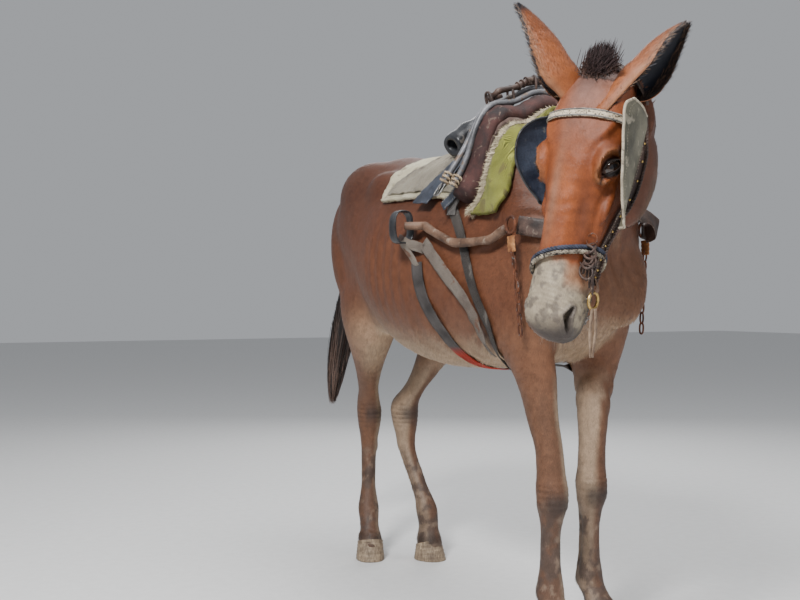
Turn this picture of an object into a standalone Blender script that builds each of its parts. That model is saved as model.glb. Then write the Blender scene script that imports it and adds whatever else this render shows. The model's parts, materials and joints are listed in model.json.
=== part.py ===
# Mule standing at rest in a collar harness, life size, as a still model.
# Metres, +Z up. The animal faces -Y, its left side is +X, and its hooves stand on the floor.
import math
import random

import bmesh
import bpy
import numpy as np
from mathutils import Matrix, Vector
from mathutils.bvhtree import BVHTree

# Driving dimensions of the animal
HEAD_LENGTH = 0.565
EAR_LENGTH = 0.25
EYE_RADIUS = 0.021
LID_THICKNESS = 0.0032
HOOF_WIDTH = 0.092
HOOF_LENGTH = 0.108
CORONET_FRONT = 0.074
CORONET_HEEL = 0.046

# Gap between pieces that touch, and the fineness of the modelling
GAP = 0.0003
HEAD_VOXEL = 0.0045
BODY_VOXEL = 0.008
RING_POINTS = 40
SMOOTHING = 0.6
TRUNK_ROUNDS = 45
FACE_ROUNDS = 6

# The head's pose: turned to the animal's right, nose down, and a little rolled
POLL = Vector((-0.2545, -0.8875, 1.328))
HEAD_YAW = math.radians(68)
HEAD_PITCH = math.radians(14)
HEAD_ROLL = math.radians(7)

# Trunk stations: y, top, bottom, half width, height of the widest line, roundness above and below
TRUNK = (
    (-0.640, 1.01, 0.885, 0.050, 0.95, 2.0, 2.0),
    (-0.60, 1.10, 0.800, 0.112, 0.94, 2.0, 2.1),
    (-0.50, 1.22, 0.730, 0.168, 0.93, 1.9, 2.2),
    (-0.40, 1.300, 0.692, 0.195, 0.92, 1.7, 2.2),
    (-0.30, 1.330, 0.675, 0.213, 0.93, 1.6, 2.2),
    (-0.15, 1.285, 0.662, 0.245, 0.94, 1.8, 2.1),
    (0.00, 1.262, 0.656, 0.265, 0.93, 2.0, 2.1),
    (0.15, 1.268, 0.670, 0.265, 0.95, 2.0, 2.1),
    (0.28, 1.290, 0.715, 0.245, 0.99, 1.9, 2.1),
    (0.38, 1.310, 0.795, 0.230, 1.05, 1.9, 2.1),
    (0.50, 1.295, 0.890, 0.208, 1.08, 2.0, 2.1),
    (0.60, 1.245, 0.960, 0.165, 1.08, 2.0, 2.0),
    (0.668, 1.165, 1.020, 0.085, 1.09, 2.0, 2.0),
)

# Neck stations: crest point, underside point, half width
NECK = (
    ((0.000, -0.28, 1.300), (0.000, -0.50, 0.80), 0.160),
    ((-0.005, -0.42, 1.325), (-0.010, -0.625, 0.92), 0.130),
    ((-0.045, -0.54, 1.345), (-0.035, -0.69, 1.02), 0.102),
    ((-0.105, -0.68, 1.362), (-0.070, -0.765, 1.09), 0.087),
    ((-0.170, -0.79, 1.366), (-0.105, -0.835, 1.145), 0.080),
    ((-0.228, -0.87, 1.348), (-0.150, -0.90, 1.165), 0.072),
)

# Head stations from poll to muzzle: s along the head, top, bottom, half width, widest line,
# roundness above and below; n and l are measured across it, towards the forehead and the left
HEAD = (
    (-0.020, -0.040, -0.130, 0.045, -0.080, 2.0, 2.0),
    (0.020, -0.004, -0.160, 0.066, -0.060, 2.2, 2.0),
    (0.080, 0.012, -0.195, 0.087, -0.055, 2.4, 1.8),
    (0.150, 0.018, -0.222, 0.093, -0.062, 2.5, 1.9),
    (0.210, 0.017, -0.232, 0.088, -0.085, 2.3, 2.0),
    (0.270, 0.012, -0.224, 0.077, -0.095, 2.1, 2.0),
    (0.330, 0.005, -0.200, 0.066, -0.090, 2.0, 2.0),
    (0.390, -0.002, -0.172, 0.058, -0.085, 2.0, 2.0),
    (0.450, -0.010, -0.158, 0.058, -0.085, 2.1, 2.0),
    (0.510, -0.018, -0.150, 0.062, -0.085, 2.2, 2.2),
    (0.560, -0.032, -0.143, 0.058, -0.086, 2.2, 2.2),
    (0.590, -0.052, -0.130, 0.046, -0.090, 2.2, 2.2),
    (0.604, -0.075, -0.110, 0.022, -0.092, 2.0, 2.0),
)

# Planes that part the nodes: three points of the one behind the head, y and z on the body
HEAD_CUT = ((-0.235, -0.855, 1.370), (-0.100, -0.722, 1.060), (-0.050, -0.865, 1.115))
NECK_CUT = ((-0.400, 1.360), (-0.660, 0.980))
LEG_TOP = 0.645
CORONET_REACH = 0.045

# Triangles left on the face and on the rest of the flesh
HEAD_TRIANGLES = 1600
BODY_TRIANGLES = 3150

# Eyes, nostrils and mouth in head coordinates
EYE_PLACE = (0.216, -0.037, 0.077)
EYE_SLIT = (0.024, 0.0125)
NOSTRIL_LINE = ((0.578, -0.078, 0.040), (0.552, -0.052, 0.052), (0.522, -0.048, 0.050))
MOUTH_LINE = ((0.612, -0.108), (0.570, -0.112), (0.530, -0.113), (0.490, -0.106))
MOUTH_GAP = 0.003

# Ears: base, direction of growth and way the cup opens, along, out from and left of the face
EAR_BASE = (0.047, -0.039, 0.061)
EAR_GROWTH = {"r": (-0.723, 0.421, -0.548), "l": (-0.867, -0.447, 0.218)}
EAR_OPENING = {"r": (0.200, 0.500, -0.840), "l": (-0.160, -0.180, 0.970)}
EAR_SHIFT = {"r": 0.30, "l": 0.45}
EAR_SKIN = 0.0045
EAR_BREADTH = {"r": 1.16, "l": 1.0}
EAR_SHAPE = (
    (0.00, 0.028, 138), (0.12, 0.036, 128), (0.30, 0.043, 118), (0.50, 0.043, 104),
    (0.70, 0.034, 92), (0.88, 0.019, 80), (1.00, 0.004, 60),
)

# Tail: centre line points from the dock to the end of the hair, and half widths across and fore
TAIL = (
    (0.00, 0.000, 0.630, 1.185, 0.030, 0.026), (0.12, -0.003, 0.705, 1.150, 0.032, 0.028),
    (0.25, -0.015, 0.755, 1.040, 0.034, 0.030), (0.45, -0.038, 0.782, 0.880, 0.044, 0.034),
    (0.65, -0.060, 0.798, 0.730, 0.052, 0.036), (0.85, -0.080, 0.810, 0.590, 0.040, 0.028),
    (1.00, -0.090, 0.818, 0.480, 0.012, 0.008),
)

# Colour, roughness and metallic by the start of the node's name
LOOKS = {
    "head": ((0.36, 0.17, 0.08), 0.7, 0.0), "torso": ((0.30, 0.13, 0.07), 0.75, 0.0),
    "leg": ((0.26, 0.19, 0.14), 0.8, 0.0), "hoof": ((0.42, 0.32, 0.22), 0.6, 0.0),
    "eye": ((0.02, 0.012, 0.01), 0.1, 0.0), "ear": ((0.22, 0.11, 0.07), 0.8, 0.0),
    "tail": ((0.05, 0.035, 0.03), 0.6, 0.0), "mane": ((0.04, 0.03, 0.03), 0.7, 0.0),
    "forelock": ((0.04, 0.03, 0.03), 0.7, 0.0),
    "saddle": ((0.03, 0.028, 0.028), 0.55, 0.0), "saddle_pad": ((0.62, 0.55, 0.36), 0.95, 0.0),
    "tug": ((0.04, 0.033, 0.03), 0.6, 0.0), "collar": ((0.07, 0.04, 0.03), 0.6, 0.0),
    "collar_felt": ((0.30, 0.34, 0.10), 0.95, 0.0), "hame": ((0.32, 0.33, 0.34), 0.5, 0.8),
    "strap": ((0.33, 0.30, 0.26), 0.85, 0.0), "belly": ((0.32, 0.10, 0.09), 0.85, 0.0),
    "breast": ((0.06, 0.04, 0.03), 0.6, 0.0), "breast_ring": ((0.30, 0.20, 0.14), 0.6, 0.8),
    "breast_tab": ((0.45, 0.20, 0.07), 0.6, 0.0), "breast_chain": ((0.24, 0.15, 0.10), 0.6, 0.8),
    "trace": ((0.12, 0.06, 0.04), 0.55, 0.0), "crown": ((0.05, 0.05, 0.06), 0.6, 0.0),
    "browband": ((0.62, 0.57, 0.45), 0.8, 0.0), "cheekpiece": ((0.06, 0.05, 0.05), 0.6, 0.0),
    "blinker": ((0.08, 0.08, 0.06), 0.55, 0.0), "noseband": ((0.12, 0.12, 0.13), 0.7, 0.0),
    "bit": ((0.55, 0.42, 0.20), 0.35, 0.9), "curb": ((0.38, 0.30, 0.20), 0.6, 0.3),
}

# Harness on the right side, points near the skin; the left side is its mirror image
FRONT_STRAP = (
    (-0.196, -0.222, 1.092), (-0.203, -0.271, 1.034), (-0.208, -0.310, 0.962),
    (-0.202, -0.339, 0.873), (-0.184, -0.372, 0.782), (-0.150, -0.382, 0.716),
    (-0.095, -0.368, 0.690), (-0.035, -0.358, 0.680),
)
SIDE_STRAP = (
    (-0.240, -0.150, 1.000), (-0.236, -0.181, 0.977), (-0.229, -0.227, 0.931),
    (-0.205, -0.310, 0.850), (-0.198, -0.326, 0.817), (-0.180, -0.334, 0.752),
    (-0.140, -0.330, 0.708),
)
THIN_STRAP = ((-0.253, -0.022, 1.024), (-0.251, -0.060, 1.008), (-0.249, -0.110, 0.986))
BELLY_BAND = (
    (-0.246, -0.118, 0.950), (-0.241, -0.128, 0.874), (-0.217, -0.150, 0.804),
    (-0.175, -0.166, 0.743), (-0.115, -0.166, 0.693), (-0.055, -0.158, 0.669),
)
BREAST_STRAP = ((-0.190, -0.515, 1.030), (-0.160, -0.560, 1.020), (-0.090, -0.610, 1.010))
TRACE = (
    (-0.200, -0.475, 1.022), (-0.212, -0.400, 0.998), (-0.228, -0.300, 0.996),
    (-0.243, -0.215, 1.022), (-0.255, -0.155, 1.050),
)
RING_PLACE = (-0.203, -0.505, 1.030)
RING_SIZE = (0.020, 0.0038)
BREAST_TAB = ((-0.204, -0.508, 1.003), (-0.204, -0.509, 0.985), (-0.202, -0.510, 0.965))
BREAST_CHAIN = ((-0.200, -0.512, 0.961), (-0.190, -0.514, 0.870), (-0.184, -0.518, 0.778))
TUG_PLACE = (-0.288, -0.100, 1.046)
TUG_SIZE = (0.024, 0.040, 0.035, 0.005)

# Panels round the barrel: angle from the top in degrees, front y and rear y
SADDLE_PAD = ((-50, -0.230, 0.150), (-25, -0.250, 0.180), (0, -0.250, 0.185), (25, -0.250, 0.180),
              (50, -0.230, 0.150))
SADDLE_FLAP = ((32, -0.235, -0.185), (42, -0.215, -0.155), (51, -0.185, -0.120), (59, -0.160, -0.100))
FELT = ((-59, -0.425, -0.310), (-46, -0.473, -0.365), (-25, -0.459, -0.400), (0, -0.430, -0.400),
        (25, -0.459, -0.400), (46, -0.473, -0.365), (59, -0.425, -0.310))
COLLAR = ((-52, -0.300), (-25, -0.335), (0, -0.350), (25, -0.335), (52, -0.300))
SADDLE_ROLL = ((-27, -0.152), (0, -0.165), (27, -0.152))
HAMES = {"front": (0.006, 0.0690), "rear": (0.031, 0.0795)}

# Leather loop tied on top of the collar: angle from the top, y and height over the skin
COLLAR_LOOP = (
    (-13, -0.298, 0.111), (-18, -0.312, 0.111), (-17, -0.334, 0.114), (-10, -0.338, 0.120),
    (-3, -0.334, 0.119), (1, -0.326, 0.113), (0, -0.306, 0.110), (-6, -0.298, 0.111),
)
BARREL_AXIS = 0.95
CAST_AXIS = -0.09
CAST_REACH = 0.25

# Bridle: place along the head and angle from the front in degrees
CROWNPIECE = ((0.050, -98), (0.018, -84), (-0.006, -62), (-0.018, -35), (-0.020, 0),
              (-0.018, 35), (-0.006, 62), (0.018, 84), (0.050, 98))
BROWBAND = ((0.105, -90), (0.112, -70), (0.116, -35), (0.112, 0), (0.112, 35), (0.114, 70),
            (0.112, 90))
CHEEKPIECE = ((0.064, 100), (0.150, 106), (0.260, 108), (0.350, 106), (0.430, 100), (0.460, 96))
NOSEBAND = (0.424, 0.0075)
NOSEBAND_TILT = 0.034
BIT_PLACE = (0.497, -0.098, 0.052)
BIT_SIZE = (0.017, 0.0035)
BLINKER = {
    "l": ((0.078, -0.085, 0.012), (0.100, -0.096, 0.036), (0.140, -0.098, 0.022),
          (0.200, -0.100, -0.006), (0.260, -0.100, -0.034), (0.330, -0.098, -0.080)),
    "r": ((0.088, -0.095, -0.062), (0.115, -0.098, -0.022), (0.160, -0.100, 0.000),
          (0.205, -0.100, -0.004), (0.250, -0.100, -0.030), (0.292, -0.098, -0.075)),
}
BLINKER_FLARE = {"r": 0.148, "l": 0.124}

# Forelock: line of its middle from the root to the tip, in head coordinates
FORELOCK = ((0.006, -0.004, 0.012), (-0.016, 0.014, 0.024), (-0.044, 0.024, 0.038))

# Mane: clipped ridge of hair on the crest, height and half width
MANE_HEIGHT = 0.036
MANE_HALF = 0.011

# Locks of hair: their seeds, counts and the share of the width at each step from root to tip
TAIL_SEED, MANE_SEED, FORELOCK_SEED = 3, 5, 7
TAIL_LOCKS, FORELOCK_LOCKS = 11, 5
LOCK_TAPER = (0.75, 1.0, 0.85, 0.5, 0.12)

# Each limb: its hoof's centre, toe-out angle, then centre line points (z, x, y) above the coronet
LIMBS = {
    "rf": ((-0.089, -0.5425), -8,
           ((0.045, -0.089, -0.540), (0.080, -0.087, -0.532), (0.135, -0.083, -0.4975),
            (0.25, -0.081, -0.498), (0.365, -0.080, -0.502), (0.47, -0.086, -0.500),
            (0.56, -0.095, -0.482), (0.67, -0.101, -0.460), (0.76, -0.118, -0.430),
            (0.95, -0.120, -0.430))),
    "lf": ((0.091, -0.4815), 10,
           ((0.045, 0.091, -0.480), (0.080, 0.089, -0.472), (0.135, 0.083, -0.4375),
            (0.25, 0.083, -0.439), (0.365, 0.084, -0.443), (0.47, 0.086, -0.443),
            (0.56, 0.093, -0.437), (0.65, 0.107, -0.427), (0.76, 0.122, -0.420),
            (0.95, 0.120, -0.430))),
    "rh": ((-0.084, 0.520), -20,
           ((0.045, -0.083, 0.522), (0.080, -0.080, 0.530), (0.165, -0.070, 0.562),
            (0.30, -0.061, 0.580), (0.465, -0.052, 0.592), (0.60, -0.090, 0.520),
            (0.74, -0.128, 0.425), (0.95, -0.105, 0.42))),
    "lh": ((0.088, 0.430), 22,
           ((0.045, 0.088, 0.430), (0.080, 0.087, 0.427), (0.165, 0.083, 0.433),
            (0.25, 0.069, 0.468), (0.38, 0.052, 0.524), (0.48, 0.047, 0.525),
            (0.60, 0.083, 0.465), (0.74, 0.125, 0.400), (0.95, 0.105, 0.410))),
}

# Limb thickness: z, reach forward and back of the centre line, half width
FORE_SHAPE = (
    (0.045, 0.050, 0.044, 0.042), (0.075, 0.042, 0.044, 0.040), (0.100, 0.032, 0.038, 0.033),
    (0.135, 0.032, 0.042, 0.036), (0.165, 0.029, 0.038, 0.031), (0.205, 0.026, 0.034, 0.025),
    (0.270, 0.025, 0.034, 0.0235), (0.315, 0.030, 0.038, 0.030), (0.355, 0.042, 0.040, 0.040),
    (0.385, 0.041, 0.046, 0.040), (0.425, 0.036, 0.040, 0.036), (0.480, 0.037, 0.040, 0.034),
    (0.550, 0.045, 0.048, 0.037), (0.620, 0.056, 0.062, 0.043), (0.680, 0.070, 0.088, 0.050),
    (0.740, 0.092, 0.122, 0.058), (0.800, 0.112, 0.145, 0.064), (0.880, 0.118, 0.145, 0.062),
    (0.950, 0.105, 0.125, 0.048),
)
HIND_SHAPE = (
    (0.045, 0.046, 0.042, 0.039), (0.072, 0.040, 0.044, 0.038), (0.105, 0.031, 0.036, 0.031),
    (0.160, 0.032, 0.042, 0.035), (0.200, 0.028, 0.036, 0.029), (0.245, 0.026, 0.034, 0.024),
    (0.330, 0.028, 0.034, 0.025), (0.390, 0.034, 0.040, 0.030), (0.435, 0.046, 0.052, 0.037),
    (0.480, 0.054, 0.064, 0.040), (0.518, 0.050, 0.072, 0.034), (0.555, 0.048, 0.058, 0.031),
    (0.610, 0.058, 0.060, 0.040), (0.670, 0.080, 0.085, 0.054), (0.740, 0.112, 0.125, 0.070),
    (0.810, 0.142, 0.165, 0.084), (0.880, 0.158, 0.185, 0.090), (0.950, 0.130, 0.150, 0.060),
)

# Muscle and bone forms on one side: centre, half lengths, tilt in the side view in degrees
BODY_FORMS = (
    ((0.108, -0.430, 1.080), (0.078, 0.115, 0.235), -28),
    ((0.125, -0.350, 0.860), (0.066, 0.130, 0.105), 18),
    ((0.064, -0.582, 0.900), (0.072, 0.066, 0.120), -6),
    ((0.150, 0.250, 1.170), (0.060, 0.100, 0.075), 0),
    ((0.100, 0.420, 1.160), (0.112, 0.190, 0.132), 12),
    ((0.136, 0.335, 0.960), (0.080, 0.135, 0.200), 22),
    ((0.110, 0.555, 1.000), (0.088, 0.112, 0.215), -14),
    ((0.146, 0.270, 0.825), (0.050, 0.065, 0.080), 0),
    ((0.120, 0.430, 0.990), (0.085, 0.120, 0.150), 0),
)
HEAD_FORMS = (
    ((0.190, -0.150, 0.058), (0.115, 0.088, 0.036)),
    ((0.205, -0.024, 0.072), (0.052, 0.030, 0.027)),
    ((0.265, -0.066, 0.064), (0.060, 0.014, 0.022)),
    ((0.320, -0.080, 0.052), (0.060, 0.012, 0.020)),
    ((0.540, -0.066, 0.040), (0.042, 0.030, 0.022)),
)


def clean_scene():
    """Remove what the new scene starts with."""
    for item in list(bpy.data.objects):
        bpy.data.objects.remove(item, do_unlink=True)


def smooth_rows(rows, positions):
    """Read the columns of a table at new positions, on monotone cubics that never overshoot."""
    table = np.array(rows, float)
    x, y = table[:, 0], table[:, 1:]
    h = np.diff(x)[:, None]
    slope = np.diff(y, axis=0) / h
    tangent = np.zeros_like(y)
    tangent[0], tangent[-1] = slope[0], slope[-1]
    before, after = slope[:-1], slope[1:]
    w1, w2 = 2 * h[1:] + h[:-1], h[1:] + 2 * h[:-1]
    same = before * after > 0
    safe_before = np.where(same, before, 1.0)
    safe_after = np.where(same, after, 1.0)
    tangent[1:-1] = np.where(same, (w1 + w2) / (w1 / safe_before + w2 / safe_after), 0.0)
    at = np.clip(np.asarray(positions, float), x[0], x[-1])
    k = np.clip(np.searchsorted(x, at, side="right") - 1, 0, len(x) - 2)
    t = ((at - x[k]) / np.diff(x)[k])[:, None]
    step = h[k]
    return ((1 + 2 * t) * (1 - t) ** 2 * y[k] + t * (1 - t) ** 2 * step * tangent[k]
            + t * t * (3 - 2 * t) * y[k + 1] + t * t * (t - 1) * step * tangent[k + 1])


def ring(centre, side, up, half_width, above, below, round_above=2.0, round_below=2.0,
         points=RING_POINTS):
    """Points of a closed section with its own reach above, below and to the sides."""
    angle = np.linspace(0, 2 * math.pi, points, endpoint=False)
    cos, sin = np.cos(angle), np.sin(angle)
    power = np.where(sin >= 0, 2 / round_above, 2 / round_below)
    reach = np.where(sin >= 0, above, below)
    across = half_width * np.sign(cos) * np.abs(cos) ** power
    upward = reach * np.sign(sin) * np.abs(sin) ** power
    return (np.array(centre) + across[:, None] * np.array(side)
            + upward[:, None] * np.array(up))


def mesh_object(name, bm, collection):
    """Turn a bmesh into a named object of a collection."""
    mesh = bpy.data.meshes.new(name)
    bm.to_mesh(mesh)
    bm.free()
    item = bpy.data.objects.new(name, mesh)
    collection.objects.link(item)
    return item


def loft(name, rings, collection):
    """Closed skin over a row of rings of equal point count."""
    bm = bmesh.new()
    loops = [[bm.verts.new(point) for point in points] for points in rings]
    for first, second in zip(loops, loops[1:]):
        for i in range(len(first)):
            j = (i + 1) % len(first)
            bm.faces.new((first[i], first[j], second[j], second[i]))
    bm.faces.new(loops[0])
    bm.faces.new(loops[-1])
    bmesh.ops.recalc_face_normals(bm, faces=bm.faces)
    return mesh_object(name, bm, collection)


def blob(name, centre, half, turn, collection):
    """Ellipsoid with its half lengths along the axes of a rotation."""
    bm = bmesh.new()
    size = Matrix.Diagonal((*half, 1.0))
    place = Matrix.Translation(centre) @ turn.to_4x4() @ size
    bmesh.ops.create_uvsphere(bm, u_segments=28, v_segments=16, radius=1.0, matrix=place)
    return mesh_object(name, bm, collection)


def head_axes():
    """Directions of the head: along it to the muzzle, out of the forehead, and to its left."""
    level = Vector((-math.sin(HEAD_YAW), -math.cos(HEAD_YAW), 0))
    down = Vector((0, 0, -1))
    along = level * math.sin(HEAD_PITCH) + down * math.cos(HEAD_PITCH)
    out = level * math.cos(HEAD_PITCH) - down * math.sin(HEAD_PITCH)
    left = out.cross(along)
    roll = Matrix.Rotation(-HEAD_ROLL, 3, out)
    return roll @ along, out, roll @ left


def head_point(s, n, l):
    """World point of a place given along, out of and across the head."""
    along, out, left = head_axes()
    stretch = HEAD_LENGTH / HEAD[-1][0]
    return POLL + along * s * stretch + out * n + left * l


def trunk_form(work):
    """Barrel from breast to buttock."""
    ys = np.linspace(TRUNK[0][0], TRUNK[-1][0], 60)
    rows = smooth_rows(TRUNK, ys)
    rings = [ring((0, y, level), (1, 0, 0), (0, 0, 1), half, top - level, level - bottom, ra, rb)
             for y, (top, bottom, half, level, ra, rb) in zip(ys, rows)]
    return loft("trunk_form", rings, work)


def neck_form(work):
    """Neck from the withers to the poll, bent to the animal's right."""
    table = [(i, *crest, *under, half) for i, (crest, under, half) in enumerate(NECK)]
    rows = smooth_rows(table, np.linspace(0, len(NECK) - 1, 44))
    crest, under, half = rows[:, :3], rows[:, 3:6], rows[:, 6]
    middle = crest * 0.45 + under * 0.55
    tangent = np.gradient(middle, axis=0)
    rings = []
    for c, u, m, t, w in zip(crest, under, middle, tangent, half):
        up = (c - u) / np.linalg.norm(c - u)
        side = np.cross(t, up)
        side /= np.linalg.norm(side)
        reach = np.linalg.norm(c - u)
        rings.append(ring(m, side, up, w, reach * 0.55, reach * 0.45, 1.7, 2.1))
    return loft("neck_form", rings, work)


def head_forms(work):
    """Skull, jaw and muzzle, with the cheek, brow, facial crest and nostril forms on both sides."""
    along, out, left = head_axes()
    turn = Matrix((along, out, left)).transposed()
    ss = np.linspace(HEAD[0][0], HEAD[-1][0], 64)
    rings = [ring(head_point(s, level, 0), left, out, half, top - level, level - bottom, ra, rb)
             for s, (top, bottom, half, level, ra, rb) in zip(ss, smooth_rows(HEAD, ss))]
    forms = [loft("skull_form", rings, work)]
    for (s, n, l), half in HEAD_FORMS:
        for sign in (1, -1):
            forms.append(blob("face_form", head_point(s, n, sign * l), half, turn, work))
    return forms


def limb_form(name, work):
    """One leg from the coronet up into the body, turned out at the foot."""
    (_, _), toe_out, line = LIMBS[name]
    shape = FORE_SHAPE if name.endswith("f") else HIND_SHAPE
    zs = np.linspace(shape[0][0], shape[-1][0], 70)
    centres = smooth_rows(line, zs)
    sizes = smooth_rows(shape, zs)
    rings = []
    for z, (x, y), (front, back, half) in zip(zs, centres, sizes):
        turned = math.radians(toe_out) * max(0.0, 1.0 - z / 0.75)
        ahead = (math.sin(turned), -math.cos(turned), 0)
        side = (math.cos(turned), math.sin(turned), 0)
        rings.append(ring((x, y, z), side, ahead, half, front, back, 2.0, 2.0))
    return loft("limb_form", rings, work)


def body_forms(work):
    """Muscle and bone forms of the trunk on both sides."""
    forms = []
    for (x, y, z), half, tilt in BODY_FORMS:
        turn = Matrix.Rotation(math.radians(tilt), 3, "X")
        for sign in (1, -1):
            forms.append(blob("muscle_form", (sign * x, y, z), half, turn, work))
    return forms


def fuse(name, forms, voxel, work):
    """One skin round overlapping forms, by voxel remesh."""
    bm = bmesh.new()
    for form in forms:
        bm.from_mesh(form.data)
    item = mesh_object(name, bm, work)
    remesh = item.modifiers.new("Remesh", "REMESH")
    remesh.mode = "VOXEL"
    remesh.voxel_size = voxel
    remesh.adaptivity = 0.0
    return applied(item)


def applied(item):
    """Replace an object's mesh by what its modifiers make of it."""
    graph = bpy.context.evaluated_depsgraph_get()
    mesh = bpy.data.meshes.new_from_object(item.evaluated_get(graph))
    item.modifiers.clear()
    item.data = mesh
    return item


def relax(item, rounds, back, weight):
    """Smooth a mesh by its neighbours' mean, pushing back after each round by the given share."""
    mesh = item.data
    count = len(mesh.vertices)
    place = np.empty(count * 3)
    mesh.vertices.foreach_get("co", place)
    place = place.reshape(-1, 3)
    edges = np.empty(len(mesh.edges) * 2, int)
    mesh.edges.foreach_get("vertices", edges)
    a, b = edges.reshape(-1, 2).T
    valence = np.bincount(a, minlength=count) + np.bincount(b, minlength=count)
    strength = weight(place)[:, None]
    for step in range(rounds * 2):
        total = np.empty_like(place)
        for axis in range(3):
            total[:, axis] = (np.bincount(a, place[b, axis], count)
                              + np.bincount(b, place[a, axis], count))
        change = total / valence[:, None] - place
        place += (SMOOTHING if step % 2 == 0 else -SMOOTHING * back) * strength * change
    mesh.vertices.foreach_set("co", place.ravel())
    mesh.update()


def ramp(value, low, high):
    """0 below low, 1 above high, smooth between."""
    t = np.clip((value - low) / (high - low), 0, 1)
    return t * t * (3 - 2 * t)


def trunk_weight(place):
    """How much of the trunk's strong smoothing a point takes: the face and lower legs take none."""
    off_head = ramp(np.linalg.norm(place - np.array(head_point(0.16, -0.08, 0)), axis=1), 0.20, 0.36)
    return ramp(place[:, 2], 0.50, 0.74) * off_head


def flesh_mesh(work):
    """The whole animal without hooves, ears, eyes, mane and tail, as one skin."""
    forms = [trunk_form(work), neck_form(work)] + head_forms(work) + body_forms(work)
    forms += [limb_form(name, work) for name in LIMBS]
    flesh = fuse("flesh", forms, BODY_VOXEL, work)
    discard(forms)
    relax(flesh, TRUNK_ROUNDS, 0.35, trunk_weight)
    relax(flesh, FACE_ROUNDS, 1.02, lambda place: np.ones(len(place)))
    return flesh


def head_mesh(work):
    """The head and the upper neck alone, on a finer grid than the body."""
    forms = [neck_form(work)] + head_forms(work)
    head = fuse("head_skin", forms, HEAD_VOXEL, work)
    discard(forms)
    relax(head, TRUNK_ROUNDS, 0.35, lambda place: 0.8 * trunk_weight(place))
    relax(head, FACE_ROUNDS, 1.02, lambda place: np.ones(len(place)))
    return head


def discard(items):
    """Remove helper objects."""
    for item in items:
        bpy.data.objects.remove(item, do_unlink=True)


def copy_of(item, name, collection):
    """Independent copy of an object's mesh under a new name."""
    twin = bpy.data.objects.new(name, item.data.copy())
    collection.objects.link(twin)
    return twin


def cut(item, point, normal):
    """Keep what lies in front of a plane, closed there with a flat face."""
    bm = bmesh.new()
    bm.from_mesh(item.data)
    everything = bm.verts[:] + bm.edges[:] + bm.faces[:]
    bmesh.ops.bisect_plane(bm, geom=everything, dist=1e-6, plane_co=point, plane_no=normal,
                           clear_inner=True)
    rim = [edge for edge in bm.edges if edge.is_boundary]
    bmesh.ops.holes_fill(bm, edges=rim, sides=0)
    bmesh.ops.recalc_face_normals(bm, faces=bm.faces)
    bm.to_mesh(item.data)
    bm.free()


def thin_out(item, triangles):
    """Lower a mesh to about the given count of triangles, keeping its shape."""
    item.data.calc_loop_triangles()
    decimate = item.modifiers.new("Decimate", "DECIMATE")
    decimate.ratio = triangles / len(item.data.loop_triangles)
    return applied(item)


def islands(bm):
    """Groups of connected faces."""
    left = set(bm.faces)
    groups = []
    while left:
        stack = [left.pop()]
        group = set(stack)
        while stack:
            for edge in stack.pop().edges:
                for face in edge.link_faces:
                    if face in left:
                        left.remove(face)
                        group.add(face)
                        stack.append(face)
        groups.append(group)
    return groups


def keep_island(item, measure):
    """Keep only the closed surface that the measure ranks highest."""
    bm = bmesh.new()
    bm.from_mesh(item.data)
    best = max(islands(bm), key=measure)
    rest = [face for face in bm.faces if face not in best]
    bmesh.ops.delete(bm, geom=rest, context="FACES")
    bm.to_mesh(item.data)
    bm.free()


def keep_largest(item):
    """Keep only the largest closed surface."""
    keep_island(item, lambda group: sum(face.calc_area() for face in group))


def boolean(item, operation, other, solver="EXACT"):
    """Combine an object with another by a Boolean and apply it."""
    step = item.modifiers.new("Boolean", "BOOLEAN")
    step.operation = operation
    step.object = other
    step.solver = solver
    return applied(item)


def unite(name, items, collection):
    """One closed body out of overlapping ones, by one Boolean union on a collection."""
    group = bpy.data.collections.new(name + "_pieces")
    bpy.context.scene.collection.children.link(group)
    base = copy_of(items[0], name, collection)
    for item in items[1:]:
        group.objects.link(item)
    step = base.modifiers.new("Union", "BOOLEAN")
    step.operation = "UNION"
    step.operand_type = "COLLECTION"
    step.collection = group
    applied(base)
    discard(items)
    bpy.data.collections.remove(group)
    keep_largest(base)
    return base


def swollen(item, distance, work):
    """Copy of a solid grown outwards by a small distance."""
    twin = copy_of(item, item.name + "_swollen", work)
    mesh = twin.data
    count = len(mesh.vertices)
    place, normal = np.empty(count * 3), np.empty(count * 3)
    mesh.vertices.foreach_get("co", place)
    mesh.vertex_normals.foreach_get("vector", normal)
    mesh.vertices.foreach_set("co", place + normal * distance)
    mesh.update()
    return twin


def carve(item, others, work, gap=GAP * 2.5):
    """Cut a solid back from its neighbours, leaving the gap, and keep its largest body."""
    for other in others:
        cutter = swollen(other, gap, work)
        boolean(item, "DIFFERENCE", cutter, "MANIFOLD")
        discard([cutter])
    keep_largest(item)
    return item


def plane_of(first, second, third, ahead, offset):
    """Plane through three points as a point and a normal turned towards a point ahead."""
    first = Vector(first)
    normal = (Vector(second) - first).cross(Vector(third) - first).normalized()
    if (Vector(ahead) - first).dot(normal) < 0:
        normal.negate()
    return first + normal * offset, normal


def head_plane(offset):
    """Plane between head and neck, its normal towards the face."""
    return plane_of(*HEAD_CUT, head_point(0.3, 0, 0), offset)


def neck_plane(offset):
    """Plane between neck and torso, its normal towards the neck."""
    (y0, z0), (y1, z1) = NECK_CUT
    return plane_of((0, y0, z0), (0, y1, z1), (1, y0, z0), (0, -0.8, 1.3), offset)


def foot_axes(name):
    """Directions ahead of a foot and to its side."""
    turn = math.radians(LIMBS[name][1])
    return Vector((math.sin(turn), -math.cos(turn), 0)), Vector((math.cos(turn), math.sin(turn), 0))


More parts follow.
